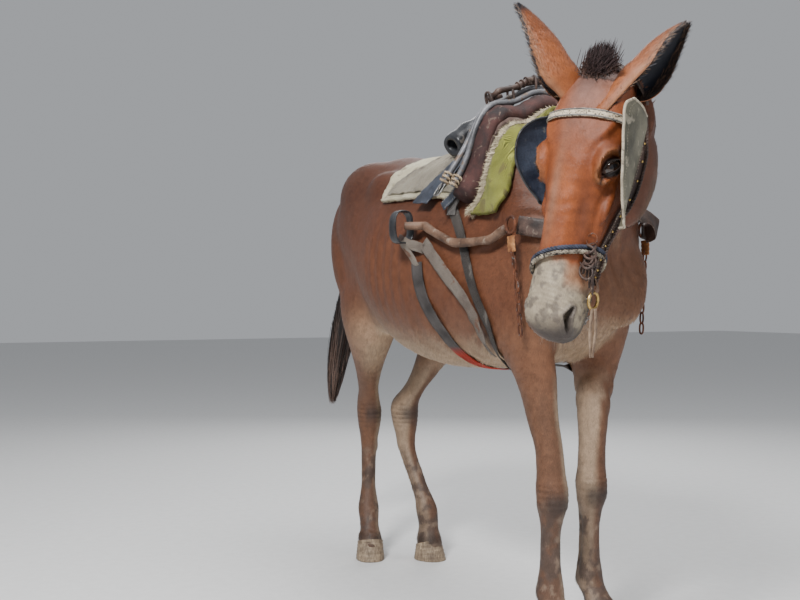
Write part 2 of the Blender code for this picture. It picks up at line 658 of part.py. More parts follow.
def coronet_plane(name, offset):
    """Sloping plane between the leg and the hoof, its normal up."""
    ahead, side = foot_axes(name)
    centre = Vector((*LIMBS[name][0], 0))
    front = centre + ahead * CORONET_REACH + Vector((0, 0, CORONET_FRONT))
    heel = centre - ahead * CORONET_REACH + Vector((0, 0, CORONET_HEEL))
    normal = (front - heel).cross(side).normalized()
    if normal.z < 0:
        normal.negate()
    return front + normal * offset, normal


def hoof(name, mule):
    """Horn wall from a flat sole up to the coronet, with a notch between the heels."""
    ahead, side = foot_axes(name)
    centre = Vector((*LIMBS[name][0], 0))
    point, normal = coronet_plane(name, -GAP)
    width, front, back = HOOF_WIDTH / 2, HOOF_LENGTH * 0.54, HOOF_LENGTH * 0.46
    rings = []
    for t, swell, lean in ((0.0, 0.985, 0.0), (0.06, 1.0, 0.002), (0.5, 0.955, 0.010),
                           (0.86, 0.915, 0.017), (1.0, 0.90, 0.018)):
        points = []
        for i in range(20):
            angle = 2 * math.pi * i / 20
            forward, aside = math.cos(angle), math.sin(angle)
            notch = 0.80 if i == 10 else 1.0
            reach = front * swell - lean if forward > 0 else (back * swell - lean * 0.1) * notch
            aside = math.copysign(abs(aside) ** 0.85, aside)
            foot = centre + ahead * forward * reach + side * aside * width * swell
            top = point.z - ((foot - point).to_2d().dot(normal.to_2d())) / normal.z
            points.append((foot.x, foot.y, top * t))
        rings.append(points)
    return loft("hoof_" + name, rings, mule)


def ear(sign, mule):
    """Leaf-shaped shell curled into a cup, open to the side and closed to a tube at its root."""
    along, out, left = head_axes()
    key = "l" if sign > 0 else "r"
    grow = (Matrix((along, out, left)).transposed() @ Vector(EAR_GROWTH[key])).normalized()
    opening = Matrix((along, out, left)).transposed() @ Vector(EAR_OPENING[key])
    opening = (opening - grow * opening.dot(grow)).normalized()
    wide = grow.cross(opening)
    base = head_point(EAR_BASE[0], EAR_BASE[1], EAR_BASE[2] * sign)
    ts = np.linspace(0, 1, 10)
    bm = bmesh.new()
    rows = []
    for t, (radius, spread) in zip(ts, smooth_rows(EAR_SHAPE, ts)):
        radius = radius * EAR_BREADTH[key]
        centre = base + grow * (EAR_LENGTH * (t - 0.08)) + opening * radius * EAR_SHIFT[key] * min(1, t * 3)
        row = []
        for angle in np.radians(np.linspace(-spread, spread, 9)):
            offset = wide * math.sin(angle) - opening * math.cos(angle)
            row.append(bm.verts.new(centre + offset * radius))
        rows.append(row)
    for first, second in zip(rows, rows[1:]):
        for i in range(len(first) - 1):
            bm.faces.new((first[i], first[i + 1], second[i + 1], second[i]))
    item = mesh_object("ear_" + key, bm, mule)
    shell = item.modifiers.new("Solidify", "SOLIDIFY")
    shell.thickness = EAR_SKIN
    shell.offset = 0
    applied(item)
    face_out(item)
    return item


def face_out(item):
    """Turn a closed mesh's faces outwards."""
    bm = bmesh.new()
    bm.from_mesh(item.data)
    bmesh.ops.recalc_face_normals(bm, faces=bm.faces)
    if bm.calc_volume(signed=True) < 0:
        bmesh.ops.reverse_faces(bm, faces=bm.faces)
    bm.to_mesh(item.data)
    bm.free()


def ball(name, centre, radius, collection, segments=14):
    """Sphere of a given radius."""
    bm = bmesh.new()
    bmesh.ops.create_uvsphere(bm, u_segments=segments, v_segments=segments // 2, radius=radius,
                              matrix=Matrix.Translation(centre))
    return mesh_object(name, bm, collection)


def tube(name, points, radii, collection, sides=12, flat=1.0, up=(0, 0, 1)):
    """Round or flattened solid along a line of points, tapering with its radii."""
    points = [Vector(point) for point in points]
    rings = []
    side = None
    for i, (point, radius) in enumerate(zip(points, radii)):
        ahead = (points[min(i + 1, len(points) - 1)] - points[max(i - 1, 0)]).normalized()
        if side is None:
            side = Vector(up).cross(ahead)
        side = (side - ahead * side.dot(ahead)).normalized()
        rise = ahead.cross(side)
        rings.append(ring(point, side, rise, radius, radius * flat, radius * flat, points=sides))
    return loft(name, rings, collection)


def smooth_line(points, count):
    """Even steps on a smooth curve through the points."""
    table = [(i, *point) for i, point in enumerate(points)]
    return [Vector(row) for row in smooth_rows(table, np.linspace(0, len(points) - 1, count))]


def eye_lines(sign):
    """The way an eye looks, and the way its slit runs from the outer to the inner corner."""
    along, out, left = head_axes()
    gaze = (left * sign * 0.78 + out * 0.62).normalized()
    length = along * 0.68 + (out * 0.78 - left * sign * 0.62) * 0.75
    return gaze, (length - gaze * length.dot(gaze)).normalized()


def dress_head(head, mule, work):
    """Add the lids round the eyes and cut the eye slits, nostrils and mouth line."""
    along, out, left = head_axes()
    for sign, key in ((1, "l"), (-1, "r")):
        centre = head_point(EYE_PLACE[0], EYE_PLACE[1], sign * EYE_PLACE[2])
        lid = ball("lid", centre, EYE_RADIUS + LID_THICKNESS, work)
        boolean(head, "UNION", lid)
        socket = ball("socket", centre, EYE_RADIUS + GAP, work)
        gaze, length = eye_lines(sign)
        turn = Matrix((length, gaze.cross(length), gaze)).transposed()
        slit = blob("slit", centre + gaze * EYE_RADIUS, (*EYE_SLIT, 0.016), turn, work)
        nostril = tube("nostril", [head_point(s, n, l * sign) for s, n, l in NOSTRIL_LINE],
                       (0.004, 0.007, 0.004), work, sides=8)
        for cutter in (slit, socket, nostril):
            boolean(head, "DIFFERENCE", cutter)
        discard([lid, socket, slit, nostril])
        ball("eye_" + key, centre, EYE_RADIUS, mule)
    bm = bmesh.new()
    line = [(s, n) for s, n in MOUTH_LINE]
    low = [bm.verts.new(head_point(s, n - MOUTH_GAP / 2, -0.09)) for s, n in line]
    high = [bm.verts.new(head_point(s, n + MOUTH_GAP / 2, -0.09)) for s, n in line]
    outline = bm.faces.new(low + high[::-1])
    pushed = bmesh.ops.extrude_face_region(bm, geom=[outline])
    moved = [item for item in pushed["geom"] if isinstance(item, bmesh.types.BMVert)]
    bmesh.ops.translate(bm, verts=moved, vec=left * 0.18)
    bmesh.ops.recalc_face_normals(bm, faces=bm.faces)
    slot = mesh_object("mouth_slot", bm, work)
    core = blob("mouth_core", head_point(0.52, -0.105, 0), (0.072, 0.03, 0.044),
                Matrix((along, out, left)).transposed(), work)
    boolean(slot, "DIFFERENCE", core)
    boolean(head, "DIFFERENCE", slot)
    discard([slot, core])
    keep_largest(head)


def lock(name, points, width, flat, outward, work):
    """Flat tapered lock of hair along a line, from its root to its tip."""
    radii = [width * share for share in LOCK_TAPER]
    return tube(name, smooth_line(points, len(radii)), radii, work, sides=4, flat=flat, up=outward)


def tail(mule, work):
    """Hair hanging from the dock, in overlapping locks round a core that ends half way."""
    random.seed(TAIL_SEED)
    ts = np.linspace(0, 0.5, 8)
    rows = smooth_rows(TAIL, ts)
    rings = []
    for i, (x, y, z, wide, fore) in enumerate(rows):
        before, after = rows[max(i - 1, 0)][:3], rows[min(i + 1, len(rows) - 1)][:3]
        ahead = Vector(after - before).normalized()
        side = Vector((1, 0, 0)) - ahead * ahead.x
        side.normalize()
        share = 1 - 0.45 * ts[i] / 0.5
        rings.append(ring((x, y, z), side, ahead.cross(side), wide * share, fore * share,
                          fore * share, points=10))
    pieces = [loft("tail_core", rings, work)]
    for k in range(TAIL_LOCKS):
        angle = 2.4 * k
        aside, forward = math.cos(angle), math.sin(angle)
        low = 0.30 + 0.12 * random.random()
        high = 0.78 + 0.22 * random.random()
        points = []
        for t, spread in ((low, 0.35), (0.6 * low + 0.4 * high, 0.72), (high, 0.62)):
            x, y, z, wide, fore = smooth_rows(TAIL, [t])[0]
            points.append((x + aside * wide * spread, y + forward * fore * spread, z))
        width = 0.017 + 0.006 * random.random()
        pieces.append(lock("tail_lock", points, width, 0.45, (aside, forward, 0), work))
    return unite("tail", pieces, mule)


def mane(mule, work):
    """Clipped hair along the crest from the collar to the poll, in upright locks on a low core."""
    random.seed(MANE_SEED)
    table = [(i, *crest) for i, (crest, _, _) in enumerate(NECK)]
    crest = smooth_rows(table, np.linspace(1.35, len(NECK) - 1.25, 12))
    rings, lines = [], []
    for i, point in enumerate(crest):
        ahead = Vector(crest[min(i + 1, len(crest) - 1)] - crest[max(i - 1, 0)]).normalized()
        side = ahead.cross(Vector((0, 0, 1))).normalized()
        rise = side.cross(ahead)
        rings.append(ring(point, side, rise, MANE_HALF, MANE_HEIGHT * 0.5, 0.02, 1.4, 2.0, points=6))
        lines.append((Vector(point), ahead, side, rise))
    pieces = [loft("mane_core", rings, work)]
    for point, ahead, side, rise in lines[1:-1]:
        tilt = 0.010 * (random.random() - 0.5)
        tip = point + rise * MANE_HEIGHT * (0.9 + 0.3 * random.random()) + side * tilt - ahead * 0.012
        line = [point + rise * 0.004, point + rise * MANE_HEIGHT * 0.5 - ahead * 0.003, tip]
        pieces.append(lock("mane_lock", line, 0.013, 0.42, side, work))
    return unite("mane", pieces, mule)


def forelock(mule, work):
    """Short upright tuft between the ears, in a few locks."""
    random.seed(FORELOCK_SEED)
    root, middle, tip = (head_point(s, n, l) for s, n, l in FORELOCK)
    core = smooth_line([root, middle], 4)
    pieces = [tube("forelock_core", core, (0.020, 0.022, 0.020, 0.012), work, sides=8, flat=0.7)]
    along, out, left = head_axes()
    for k in range(FORELOCK_LOCKS):
        angle = 2.4 * k
        apart = left * math.cos(angle) * 0.016 + along * math.sin(angle) * 0.010
        end = tip + apart * 1.5 + out * 0.012 * (random.random() - 0.4)
        line = [root + apart * 0.4 + (middle - root) * 0.25, middle + apart * 0.9, end]
        pieces.append(lock("forelock_lock", line, 0.013, 0.5, left, work))
    return unite("forelock", pieces, mule)


def behead(flesh):
    """Open the fused flesh a little ahead of the plane between head and neck, and close it."""
    (head_at, head_to), (neck_at, neck_to) = head_plane(0.01), neck_plane(0)
    bm = bmesh.new()
    bm.from_mesh(flesh.data)
    face = [item for item in bm.faces
            if (item.calc_center_median() - head_at).dot(head_to) > 0
            and (item.calc_center_median() - neck_at).dot(neck_to) > 0]
    bmesh.ops.delete(bm, geom=face, context="FACES")
    bmesh.ops.holes_fill(bm, edges=[edge for edge in bm.edges if edge.is_boundary], sides=0)
    bmesh.ops.recalc_face_normals(bm, faces=bm.faces)
    bm.to_mesh(flesh.data)
    bm.free()


def flesh_nodes(mule, work):
    """Part the flesh into head, neck, torso and legs, and set the rest of the body on them."""
    head = head_mesh(work)
    cut(head, *head_plane(-0.01))
    thin_out(head, HEAD_TRIANGLES)
    cut(head, *head_plane(GAP))
    head.name = "head"
    mule.objects.link(head)
    work.objects.unlink(head)
    flesh = flesh_mesh(work)
    behead(flesh)
    thin_out(flesh, BODY_TRIANGLES)
    neck = copy_of(flesh, "neck", mule)
    point, normal = head_plane(0)
    cut(neck, point, -normal)
    cut(neck, *neck_plane(GAP))
    torso = copy_of(flesh, "torso", mule)
    point, normal = neck_plane(0)
    cut(torso, point, -normal)
    cut(torso, (0, 0, LEG_TOP + GAP), (0, 0, 1))
    keep_largest(torso)
    legs = []
    for name in LIMBS:
        leg = copy_of(flesh, "leg_" + name, mule)
        cut(leg, (0, 0, LEG_TOP), (0, 0, -1))
        toward = Vector((*LIMBS[name][0], 0.3))
        keep_island(leg, lambda group: -min((face.calc_center_median() - toward).length
                                            for face in group))
        cut(leg, *coronet_plane(name, 0))
        keep_largest(leg)
        legs.append(leg)
    discard([flesh])
    return head, neck, torso, legs


def skin_tree(items):
    """Search tree over the surfaces of several objects."""
    places, faces = [], []
    for item in items:
        start = len(places)
        places += [vertex.co.copy() for vertex in item.data.vertices]
        faces += [[start + i for i in face.vertices] for face in item.data.polygons]
    return BVHTree.FromPolygons(places, faces)


def on_barrel(skin, phi, y):
    """Point of the skin at an angle from the top round the barrel, and the way out."""
    way = Vector((math.sin(math.radians(phi)), 0, math.cos(math.radians(phi))))
    return skin.ray_cast(Vector((0, y, BARREL_AXIS)), way)[0], way


def on_head(skin, s, theta):
    """Point of the skin at a place along the head and an angle from its front, and the way out."""
    out, left = head_axes()[1:]
    way = out * math.cos(math.radians(theta)) + left * math.sin(math.radians(theta))
    return skin.ray_cast(head_point(s, CAST_AXIS, 0) + way * CAST_REACH, -way)[0], way


def mirrored(points, sign):
    """Points of the right side, or their mirror image on the left."""
    return [Vector((x * (-1 if sign > 0 else 1), y, z)) for x, y, z in points]


def grid_solid(name, inner, outer, collection, closed=False):
    """Solid between two grids of points with the same layout, closed round its rim."""
    bm = bmesh.new()
    sheets = [[[bm.verts.new(point) for point in row] for row in grid] for grid in (inner, outer)]
    rows, columns = len(inner), len(inner[0])
    last = rows if closed else rows - 1
    for i in range(last):
        k = (i + 1) % rows
        for j in range(columns - 1):
            for sheet in sheets:
                bm.faces.new((sheet[i][j], sheet[k][j], sheet[k][j + 1], sheet[i][j + 1]))
        for j in (0, columns - 1):
            low, high = sheets
            bm.faces.new((low[i][j], low[k][j], high[k][j], high[i][j]))
    if not closed:
        for i in (0, rows - 1):
            low, high = sheets
            for j in range(columns - 1):
                bm.faces.new((low[i][j], low[i][j + 1], high[i][j + 1], high[i][j]))
    item = mesh_object(name, bm, collection)
    face_out(item)
    return item


def strap(name, guide, width, thickness, skin, collection, lift=0.003, steps=16, closed=False):
    """Flat band laid on the skin along a guide line, straight across its width."""
    count = steps + 1
    line = smooth_line(guide, count)
    for _ in range(2):
        line = [skin.find_nearest(point)[0] for point in line]
        ends = line[0], line[-1]
        line = [(line[i - 1] + line[i] * 2 + line[(i + 1) % count]) / 4 for i in range(count)]
        if not closed:
            line[0], line[-1] = ends
    frames = []
    for i, point in enumerate(line):
        before = line[i - 1] if closed or i else line[0]
        after = line[(i + 1) % count] if closed or i < count - 1 else line[-1]
        ahead = (after - before).normalized()
        near, normal = skin.find_nearest(point)[:2]
        normal = (normal - ahead * normal.dot(ahead)).normalized()
        frames.append([near, normal, ahead.cross(normal)])
    normals = [frame[1] for frame in frames]
    for i in range(1, count - 1):
        frames[i][1] = (normals[i - 1] + normals[i] * 2 + normals[i + 1]).normalized()
    highs = []
    for near, normal, side in frames:
        high = 0.0
        for k in (-1, -0.5, 0, 0.5, 1):
            start = near + side * width * k / 2 + normal * 0.05
            hit = skin.ray_cast(start, -normal, 0.09)[0]
            if hit:
                high = max(high, (hit - near).dot(normal))
        highs.append(high)
    inner, outer = [], []
    for i, (near, normal, side) in enumerate(frames):
        around = highs[max(i - 1, 0):i + 2]
        base = near + normal * (max(around) * 0.7 + highs[i] * 0.3 + lift)
        inner.append([base + side * width * k / 2 for k in (-1, 1)])
        outer.append([base + normal * thickness + side * width * k / 2 for k in (-1, 1)])
    return grid_solid(name, inner, outer, collection, closed)


def panel(name, table, steps, thickness, skin, collection, lift=0.005):
    """Flat thing laid round the barrel between a front and a rear edge."""
    around, down = steps
    angles = np.linspace(table[0][0], table[-1][0], around + 1)
    reach = []
    for phi, (front, rear) in zip(angles, smooth_rows(table, angles)):
        row = []
        for y in np.linspace(front, rear, down + 1):
            hit, way = on_barrel(skin, phi, y)
            row.append((y, way, (hit - Vector((0, y, BARREL_AXIS))).length))
        reach.append(row)
    inner, outer = [], []
    for i, row in enumerate(reach):
        low, high = [], []
        for j, (y, way, far) in enumerate(row):
            near = [reach[k][m][2] for k in range(max(i - 1, 0), min(i + 2, len(reach)))
                    for m in range(max(j - 1, 0), min(j + 2, len(row)))]
            far = max(far, sum(near) / len(near)) + lift
            centre = Vector((0, y, BARREL_AXIS))
            low.append(centre + way * far)
            high.append(centre + way * (far + thickness))
        inner.append(low)
        outer.append(high)
    return grid_solid(name, inner, outer, collection)


def arch(name, table, half_width, height, skin, collection, lift, steps=12, sides=10):
    """Rolled form laid over the barrel, its underside on the skin."""
    angles = np.linspace(table[0][0], table[-1][0], steps + 1)
    rings = []
    for phi, (y,) in zip(angles, smooth_rows(table, angles)):
        hit, way = on_barrel(skin, phi, y)
        centre = hit + way * (lift + height / 2)
        rings.append(ring(centre, Vector((0, 1, 0)), way, half_width, height / 2, height / 2,
                          points=sides))
    return loft(name, rings, collection)


def hoop(name, centre, across_way, up_way, radius, thickness, collection, steps=14, sides=6):
    """Round metal ring."""
    centre, across_way, up_way = Vector(centre), Vector(across_way), Vector(up_way)
    axis = across_way.cross(up_way).normalized()
    bm = bmesh.new()
    rows = []
    for i in range(steps):
        angle = 2 * math.pi * i / steps
        way = across_way * math.cos(angle) + up_way * math.sin(angle)
        rows.append([bm.verts.new(centre + way * (radius + thickness * math.cos(turn))
                                  + axis * thickness * math.sin(turn))
                     for turn in (2 * math.pi * j / sides for j in range(sides))])
    for i in range(steps):
        first, second = rows[i], rows[(i + 1) % steps]
        for j in range(sides):
            bm.faces.new((first[j], second[j], second[(j + 1) % sides], first[(j + 1) % sides]))
    item = mesh_object(name, bm, collection)
    face_out(item)
    return item


def tug_loop(sign, mule):
    """Leather loop at the side of the saddle, open from front to back."""
    half, tall, deep, thick = TUG_SIZE
    centre = mirrored([TUG_PLACE], sign)[0]
    inner, outer = [], []
    for i in range(16):
        angle = 2 * math.pi * i / 16
        x = math.copysign(abs(math.cos(angle)) ** 0.7, math.cos(angle))
        z = math.copysign(abs(math.sin(angle)) ** 0.7, math.sin(angle))
        low = centre + Vector((x * half, 0, z * tall))
        high = centre + Vector((x * (half + thick), 0, z * (tall + thick)))
        inner.append([low - Vector((0, deep / 2, 0)), low + Vector((0, deep / 2, 0))])
        outer.append([high - Vector((0, deep / 2, 0)), high + Vector((0, deep / 2, 0))])
    return grid_solid("tug_loop_" + ("l" if sign > 0 else "r"), inner, outer, mule, closed=True)


def blinker(sign, skin, mule):
    """Cupped leather plate standing beside the eye."""
    left = head_axes()[2]
    key = "l" if sign > 0 else "r"
    table = BLINKER[key]
    places = np.linspace(table[0][0], table[-1][0], 10)
    inner, outer = [], []
    for s, (rear, front) in zip(places, smooth_rows(table, places)):
        low, high = [], []
        t = (s - places[0]) / (places[-1] - places[0])
        for k in np.linspace(0, 1, 5):
            n = rear + (front - rear) * k
            hit = skin.ray_cast(head_point(s, n, sign * 0.3), -left * sign)[0]
            face = (hit - head_point(0, 0, 0)).dot(left) * sign if hit else 0.05
            bow = math.sin(math.pi * min(max(t, 0.03), 0.97)) ** 0.6 if sign < 0 else 1.0
            stand = 0.100 + (BLINKER_FLARE[key] - 0.100) * math.sin(k * math.pi / 2) * bow
            stand = max(stand * (1 - 0.10 * t), face + 0.006)
            low.append(head_point(s, n, sign * stand))
            high.append(head_point(s, n, sign * (stand + 0.004)))
        inner.append(low)
        outer.append(high)
    return grid_solid("blinker_" + key, inner, outer, mule)


def body_harness(skin, mule):
    """Saddle, collar, girths, breast strap, traces and tug loops."""
    panel("saddle_pad", SADDLE_PAD, (12, 6), 0.012, skin, mule, lift=0.0075)
    arch("saddle_roll", SADDLE_ROLL, 0.040, 0.062, skin, mule, 0.028)
    panel("collar_felt", FELT, (18, 3), 0.013, skin, mule, lift=0.010)
    arch("collar_roll", COLLAR, 0.040, 0.055, skin, mule, 0.013)
    for key, (behind, lift) in HAMES.items():
        table = [(phi, y + behind) for phi, y in COLLAR]
        arch("hame_" + key, table, 0.009, 0.018, skin, mule, lift, sides=6)
    line = []
    for phi, y, height in COLLAR_LOOP:
        hit, way = on_barrel(skin, phi, y)
        line.append(hit + way * height)
    tube("collar_loops", smooth_line(line, 17), [0.008] * 17, mule, sides=6)
    right, other = mirrored(FRONT_STRAP, -1), mirrored(FRONT_STRAP, 1)
    strap("strap_front", right + other[::-1], 0.030, 0.003, skin, mule, lift=0.0045, steps=36)
    right, other = mirrored(BELLY_BAND, -1), mirrored(BELLY_BAND, 1)
    strap("belly_band", right + other[::-1], 0.045, 0.003, skin, mule, steps=34)
    right, other = mirrored(BREAST_STRAP, -1), mirrored(BREAST_STRAP, 1)
    strap("breast_strap", right + other[::-1], 0.045, 0.005, skin, mule, lift=0.016, steps=26)
    for sign, key in ((-1, "r"), (1, "l")):
        strap("strap_side_" + key, mirrored(SIDE_STRAP, sign), 0.036, 0.003, skin, mule, lift=0.0105)
        strap("strap_thin_" + key, mirrored(THIN_STRAP, sign), 0.018, 0.003, skin, mule, steps=6)
        flap = [(phi * sign, first, last) for phi, first, last in SADDLE_FLAP]
        panel("saddle_flap_" + key, flap[::sign], (7, 4), 0.004, skin, mule, lift=0.027)
        tug_loop(sign, mule)
        line = [skin.find_nearest(point) for point in smooth_line(mirrored(TRACE, sign), 14)]
        line = [near[0] + near[1] * 0.020 for near in line]
        tube("trace_" + key, line, [0.009] * 14, mule, sides=8)
        centre = mirrored([RING_PLACE], sign)[0]
        hoop("breast_ring_" + key, centre, (0, 1, 0), (0, 0, 1), *RING_SIZE, mule)
        line = smooth_line(mirrored(BREAST_TAB, sign), 5)
        tube("breast_tab_" + key, line, [0.016] * 5, mule, sides=8, flat=0.25, up=(1, 0, 0))
        line = smooth_line(mirrored(BREAST_CHAIN, sign), 17)
        radii = [0.007 - 0.003 * (i % 2) for i in range(17)]
        tube("breast_chain_" + key, line, radii, mule, sides=6, up=(1, 0, 0))


def bridle(skin, mule):
    """Headstall with blinkers, noseband, bit rings and curb."""
    along, out, left = head_axes()
    band = lambda table: [on_head(skin, s, theta)[0] for s, theta in table]
    strap("crownpiece", band(CROWNPIECE), 0.024, 0.003, skin, mule, steps=20)
    strap("browband", band(BROWBAND), 0.018, 0.003, skin, mule, steps=24)
    ring_line = [(NOSEBAND[0] - NOSEBAND_TILT * math.sin(math.radians(theta)), theta)
                 for theta in range(-180, 180, 18)]
    line = []
    for s, theta in ring_line:
        hit, way = on_head(skin, s, theta)
        line.append(hit + way * (NOSEBAND[1] + 0.0090))
    rows = []
    for i, point in enumerate(line):
        way = (point - head_point(ring_line[i][0], CAST_AXIS, 0)).normalized()
        rows.append(ring(point, along, way, NOSEBAND[1], NOSEBAND[1], NOSEBAND[1], points=8))
    bm = bmesh.new()
    loops = [[bm.verts.new(point) for point in row] for row in rows]
    for i in range(len(loops)):
        first, second = loops[i], loops[(i + 1) % len(loops)]
        for j in range(8):
            bm.faces.new((first[j], second[j], second[(j + 1) % 8], first[(j + 1) % 8]))
    face_out(mesh_object("noseband", bm, mule))
    for sign, key in ((-1, "r"), (1, "l")):
        line = band([(s, theta * sign) for s, theta in CHEEKPIECE])
        strap("cheekpiece_" + key, line, 0.020, 0.003, skin, mule, steps=14)
        blinker(sign, skin, mule)
        s, n, l = BIT_PLACE
        hit = skin.find_nearest(head_point(s, n, l * sign))
        centre = hit[0] + left * sign * 0.012
        hoop("bit_ring_" + key, centre, along, out, *BIT_SIZE, mule)
    guide = [head_point(s, n, l) for s, n, l in (
        (0.512, -0.125, -0.052), (0.548, -0.160, -0.035), (0.560, -0.180, 0.0),
        (0.548, -0.160, 0.035), (0.512, -0.125, 0.052))]
    line = [skin.find_nearest(point) for point in smooth_line(guide, 13)]
    line = [near[0] + near[1] * 0.0075 for near in line]
    tube("curb_strap", line, [0.004] * 13, mule, sides=6)


def paint(mule):
    """Give each node a material of its own."""
    for item in mule.objects:
        colour, roughness, metallic = (0.30, 0.15, 0.08), 0.8, 0.0
        for start, look in LOOKS.items():
            if item.name.startswith(start):
                colour, roughness, metallic = look
        material = bpy.data.materials.new(item.name)
        material.use_nodes = True
        shader = material.node_tree.nodes["Principled BSDF"]
        shader.inputs["Base Color"].default_value = (*colour, 1)
        shader.inputs["Roughness"].default_value = roughness
        shader.inputs["Metallic"].default_value = metallic
        item.data.materials.clear()
        item.data.materials.append(material)


def centre_all(mule):
    """Triangulate everything and move the middle of the bounding box over the origin."""
    for item in mule.objects:
        bm = bmesh.new()
        bm.from_mesh(item.data)
        bmesh.ops.triangulate(bm, faces=bm.faces)
        bm.to_mesh(item.data)
        bm.free()
    places = np.array([vertex.co for item in mule.objects for vertex in item.data.vertices])
    low, high = places.min(axis=0), places.max(axis=0)
    shift = Vector((-(low[0] + high[0]) / 2, -(low[1] + high[1]) / 2, -low[2]))
    for item in mule.objects:
        item.data.transform(Matrix.Translation(shift))
    return shift


def main():
    clean_scene()
    scene = bpy.context.scene
    mule = bpy.data.collections.new("mule")
    scene.collection.children.link(mule)
    work = bpy.data.collections.new("work")
    scene.collection.children.link(work)
    head, neck, torso, legs = flesh_nodes(mule, work)
    barrel = skin_tree([neck, torso, *legs])
    dress_head(head, mule, work)
    face = skin_tree([head, neck])
    body_harness(barrel, mule)
    bridle(face, mule)
    crown = bpy.data.objects["crownpiece"]
    for sign in (1, -1):
        carve(ear(sign, mule), [head, neck, crown], work)
    for name in LIMBS:
        hoof(name, mule)
    carve(bpy.data.objects["breast_strap"], [neck, torso], work)
    carve(bpy.data.objects["strap_front"], [torso], work)
    carve(mane(mule, work), [neck, head], work)
    carve(forelock(mule, work), [head, neck, crown], work)
    carve(tail(mule, work), [torso], work)
    paint(mule)
    bpy.data.collections.remove(work)
    return centre_all(mule)


if __name__ == "__main__":
    main()
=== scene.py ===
# Looks of the mule standing at rest in a collar harness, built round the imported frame.
import json
import math

import bmesh
import bpy
import numpy as np
from mathutils import Matrix, Vector
from mathutils.bvhtree import BVHTree

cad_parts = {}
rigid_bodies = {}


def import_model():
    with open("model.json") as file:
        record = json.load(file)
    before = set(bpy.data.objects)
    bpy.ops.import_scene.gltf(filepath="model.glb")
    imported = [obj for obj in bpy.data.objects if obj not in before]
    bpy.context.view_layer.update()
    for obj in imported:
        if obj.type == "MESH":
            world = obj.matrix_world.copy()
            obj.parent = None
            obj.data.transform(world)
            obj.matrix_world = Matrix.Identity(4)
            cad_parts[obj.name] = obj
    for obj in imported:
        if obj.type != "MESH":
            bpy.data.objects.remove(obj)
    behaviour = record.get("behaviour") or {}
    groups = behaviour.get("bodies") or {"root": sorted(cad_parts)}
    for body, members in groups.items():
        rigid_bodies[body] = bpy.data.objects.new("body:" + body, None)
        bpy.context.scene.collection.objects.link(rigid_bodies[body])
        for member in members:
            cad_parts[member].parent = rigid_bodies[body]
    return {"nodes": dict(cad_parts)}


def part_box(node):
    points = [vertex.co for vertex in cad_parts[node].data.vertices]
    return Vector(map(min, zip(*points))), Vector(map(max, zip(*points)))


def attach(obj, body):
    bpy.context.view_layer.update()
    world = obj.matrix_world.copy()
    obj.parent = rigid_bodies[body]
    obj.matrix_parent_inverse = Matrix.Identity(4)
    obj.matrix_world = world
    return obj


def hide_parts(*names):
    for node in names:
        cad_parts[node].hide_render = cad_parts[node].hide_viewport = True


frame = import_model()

# Driving dimensions of the animal
HEAD_LENGTH = 0.565
EAR_LENGTH = 0.25
EYE_RADIUS = 0.021
HOOF_WIDTH = 0.092
HOOF_LENGTH = 0.108
CORONET_FRONT = 0.074
CORONET_HEEL = 0.046

# Gap between pieces that touch, and the fineness of the modelling
GAP = 0.0003
RING_POINTS = 40
SMOOTHING = 0.6

# The head's pose: turned to the animal's right, nose down, and a little rolled
POLL = Vector((-0.2545, -0.8875, 1.328))
HEAD_YAW = math.radians(68)
HEAD_PITCH = math.radians(14)
HEAD_ROLL = math.radians(7)

# Trunk stations: y, top, bottom, half width, height of the widest line, roundness above and below
TRUNK = (
    (-0.640, 1.01, 0.885, 0.050, 0.95, 2.0, 2.0),
    (-0.60, 1.10, 0.800, 0.112, 0.94, 2.0, 2.1),
    (-0.50, 1.22, 0.730, 0.168, 0.93, 1.9, 2.2),
    (-0.40, 1.300, 0.692, 0.195, 0.92, 1.7, 2.2),
    (-0.30, 1.330, 0.675, 0.213, 0.93, 1.6, 2.2),
    (-0.15, 1.285, 0.662, 0.245, 0.94, 1.8, 2.1),
    (0.00, 1.262, 0.656, 0.265, 0.93, 2.0, 2.1),
    (0.15, 1.268, 0.670, 0.265, 0.95, 2.0, 2.1),
    (0.28, 1.290, 0.715, 0.245, 0.99, 1.9, 2.1),
    (0.38, 1.310, 0.795, 0.230, 1.05, 1.9, 2.1),
    (0.50, 1.295, 0.890, 0.208, 1.08, 2.0, 2.1),
    (0.60, 1.245, 0.960, 0.165, 1.08, 2.0, 2.0),
    (0.668, 1.165, 1.020, 0.085, 1.09, 2.0, 2.0),
)

# Neck stations: crest point, underside point, half width
NECK = (
    ((0.000, -0.28, 1.300), (0.000, -0.50, 0.80), 0.160),
    ((-0.005, -0.42, 1.325), (-0.010, -0.625, 0.92), 0.130),
    ((-0.045, -0.54, 1.345), (-0.035, -0.69, 1.02), 0.102),
    ((-0.105, -0.68, 1.362), (-0.070, -0.765, 1.09), 0.087),
    ((-0.170, -0.79, 1.366), (-0.105, -0.835, 1.145), 0.080),
    ((-0.228, -0.87, 1.348), (-0.150, -0.90, 1.165), 0.072),
)

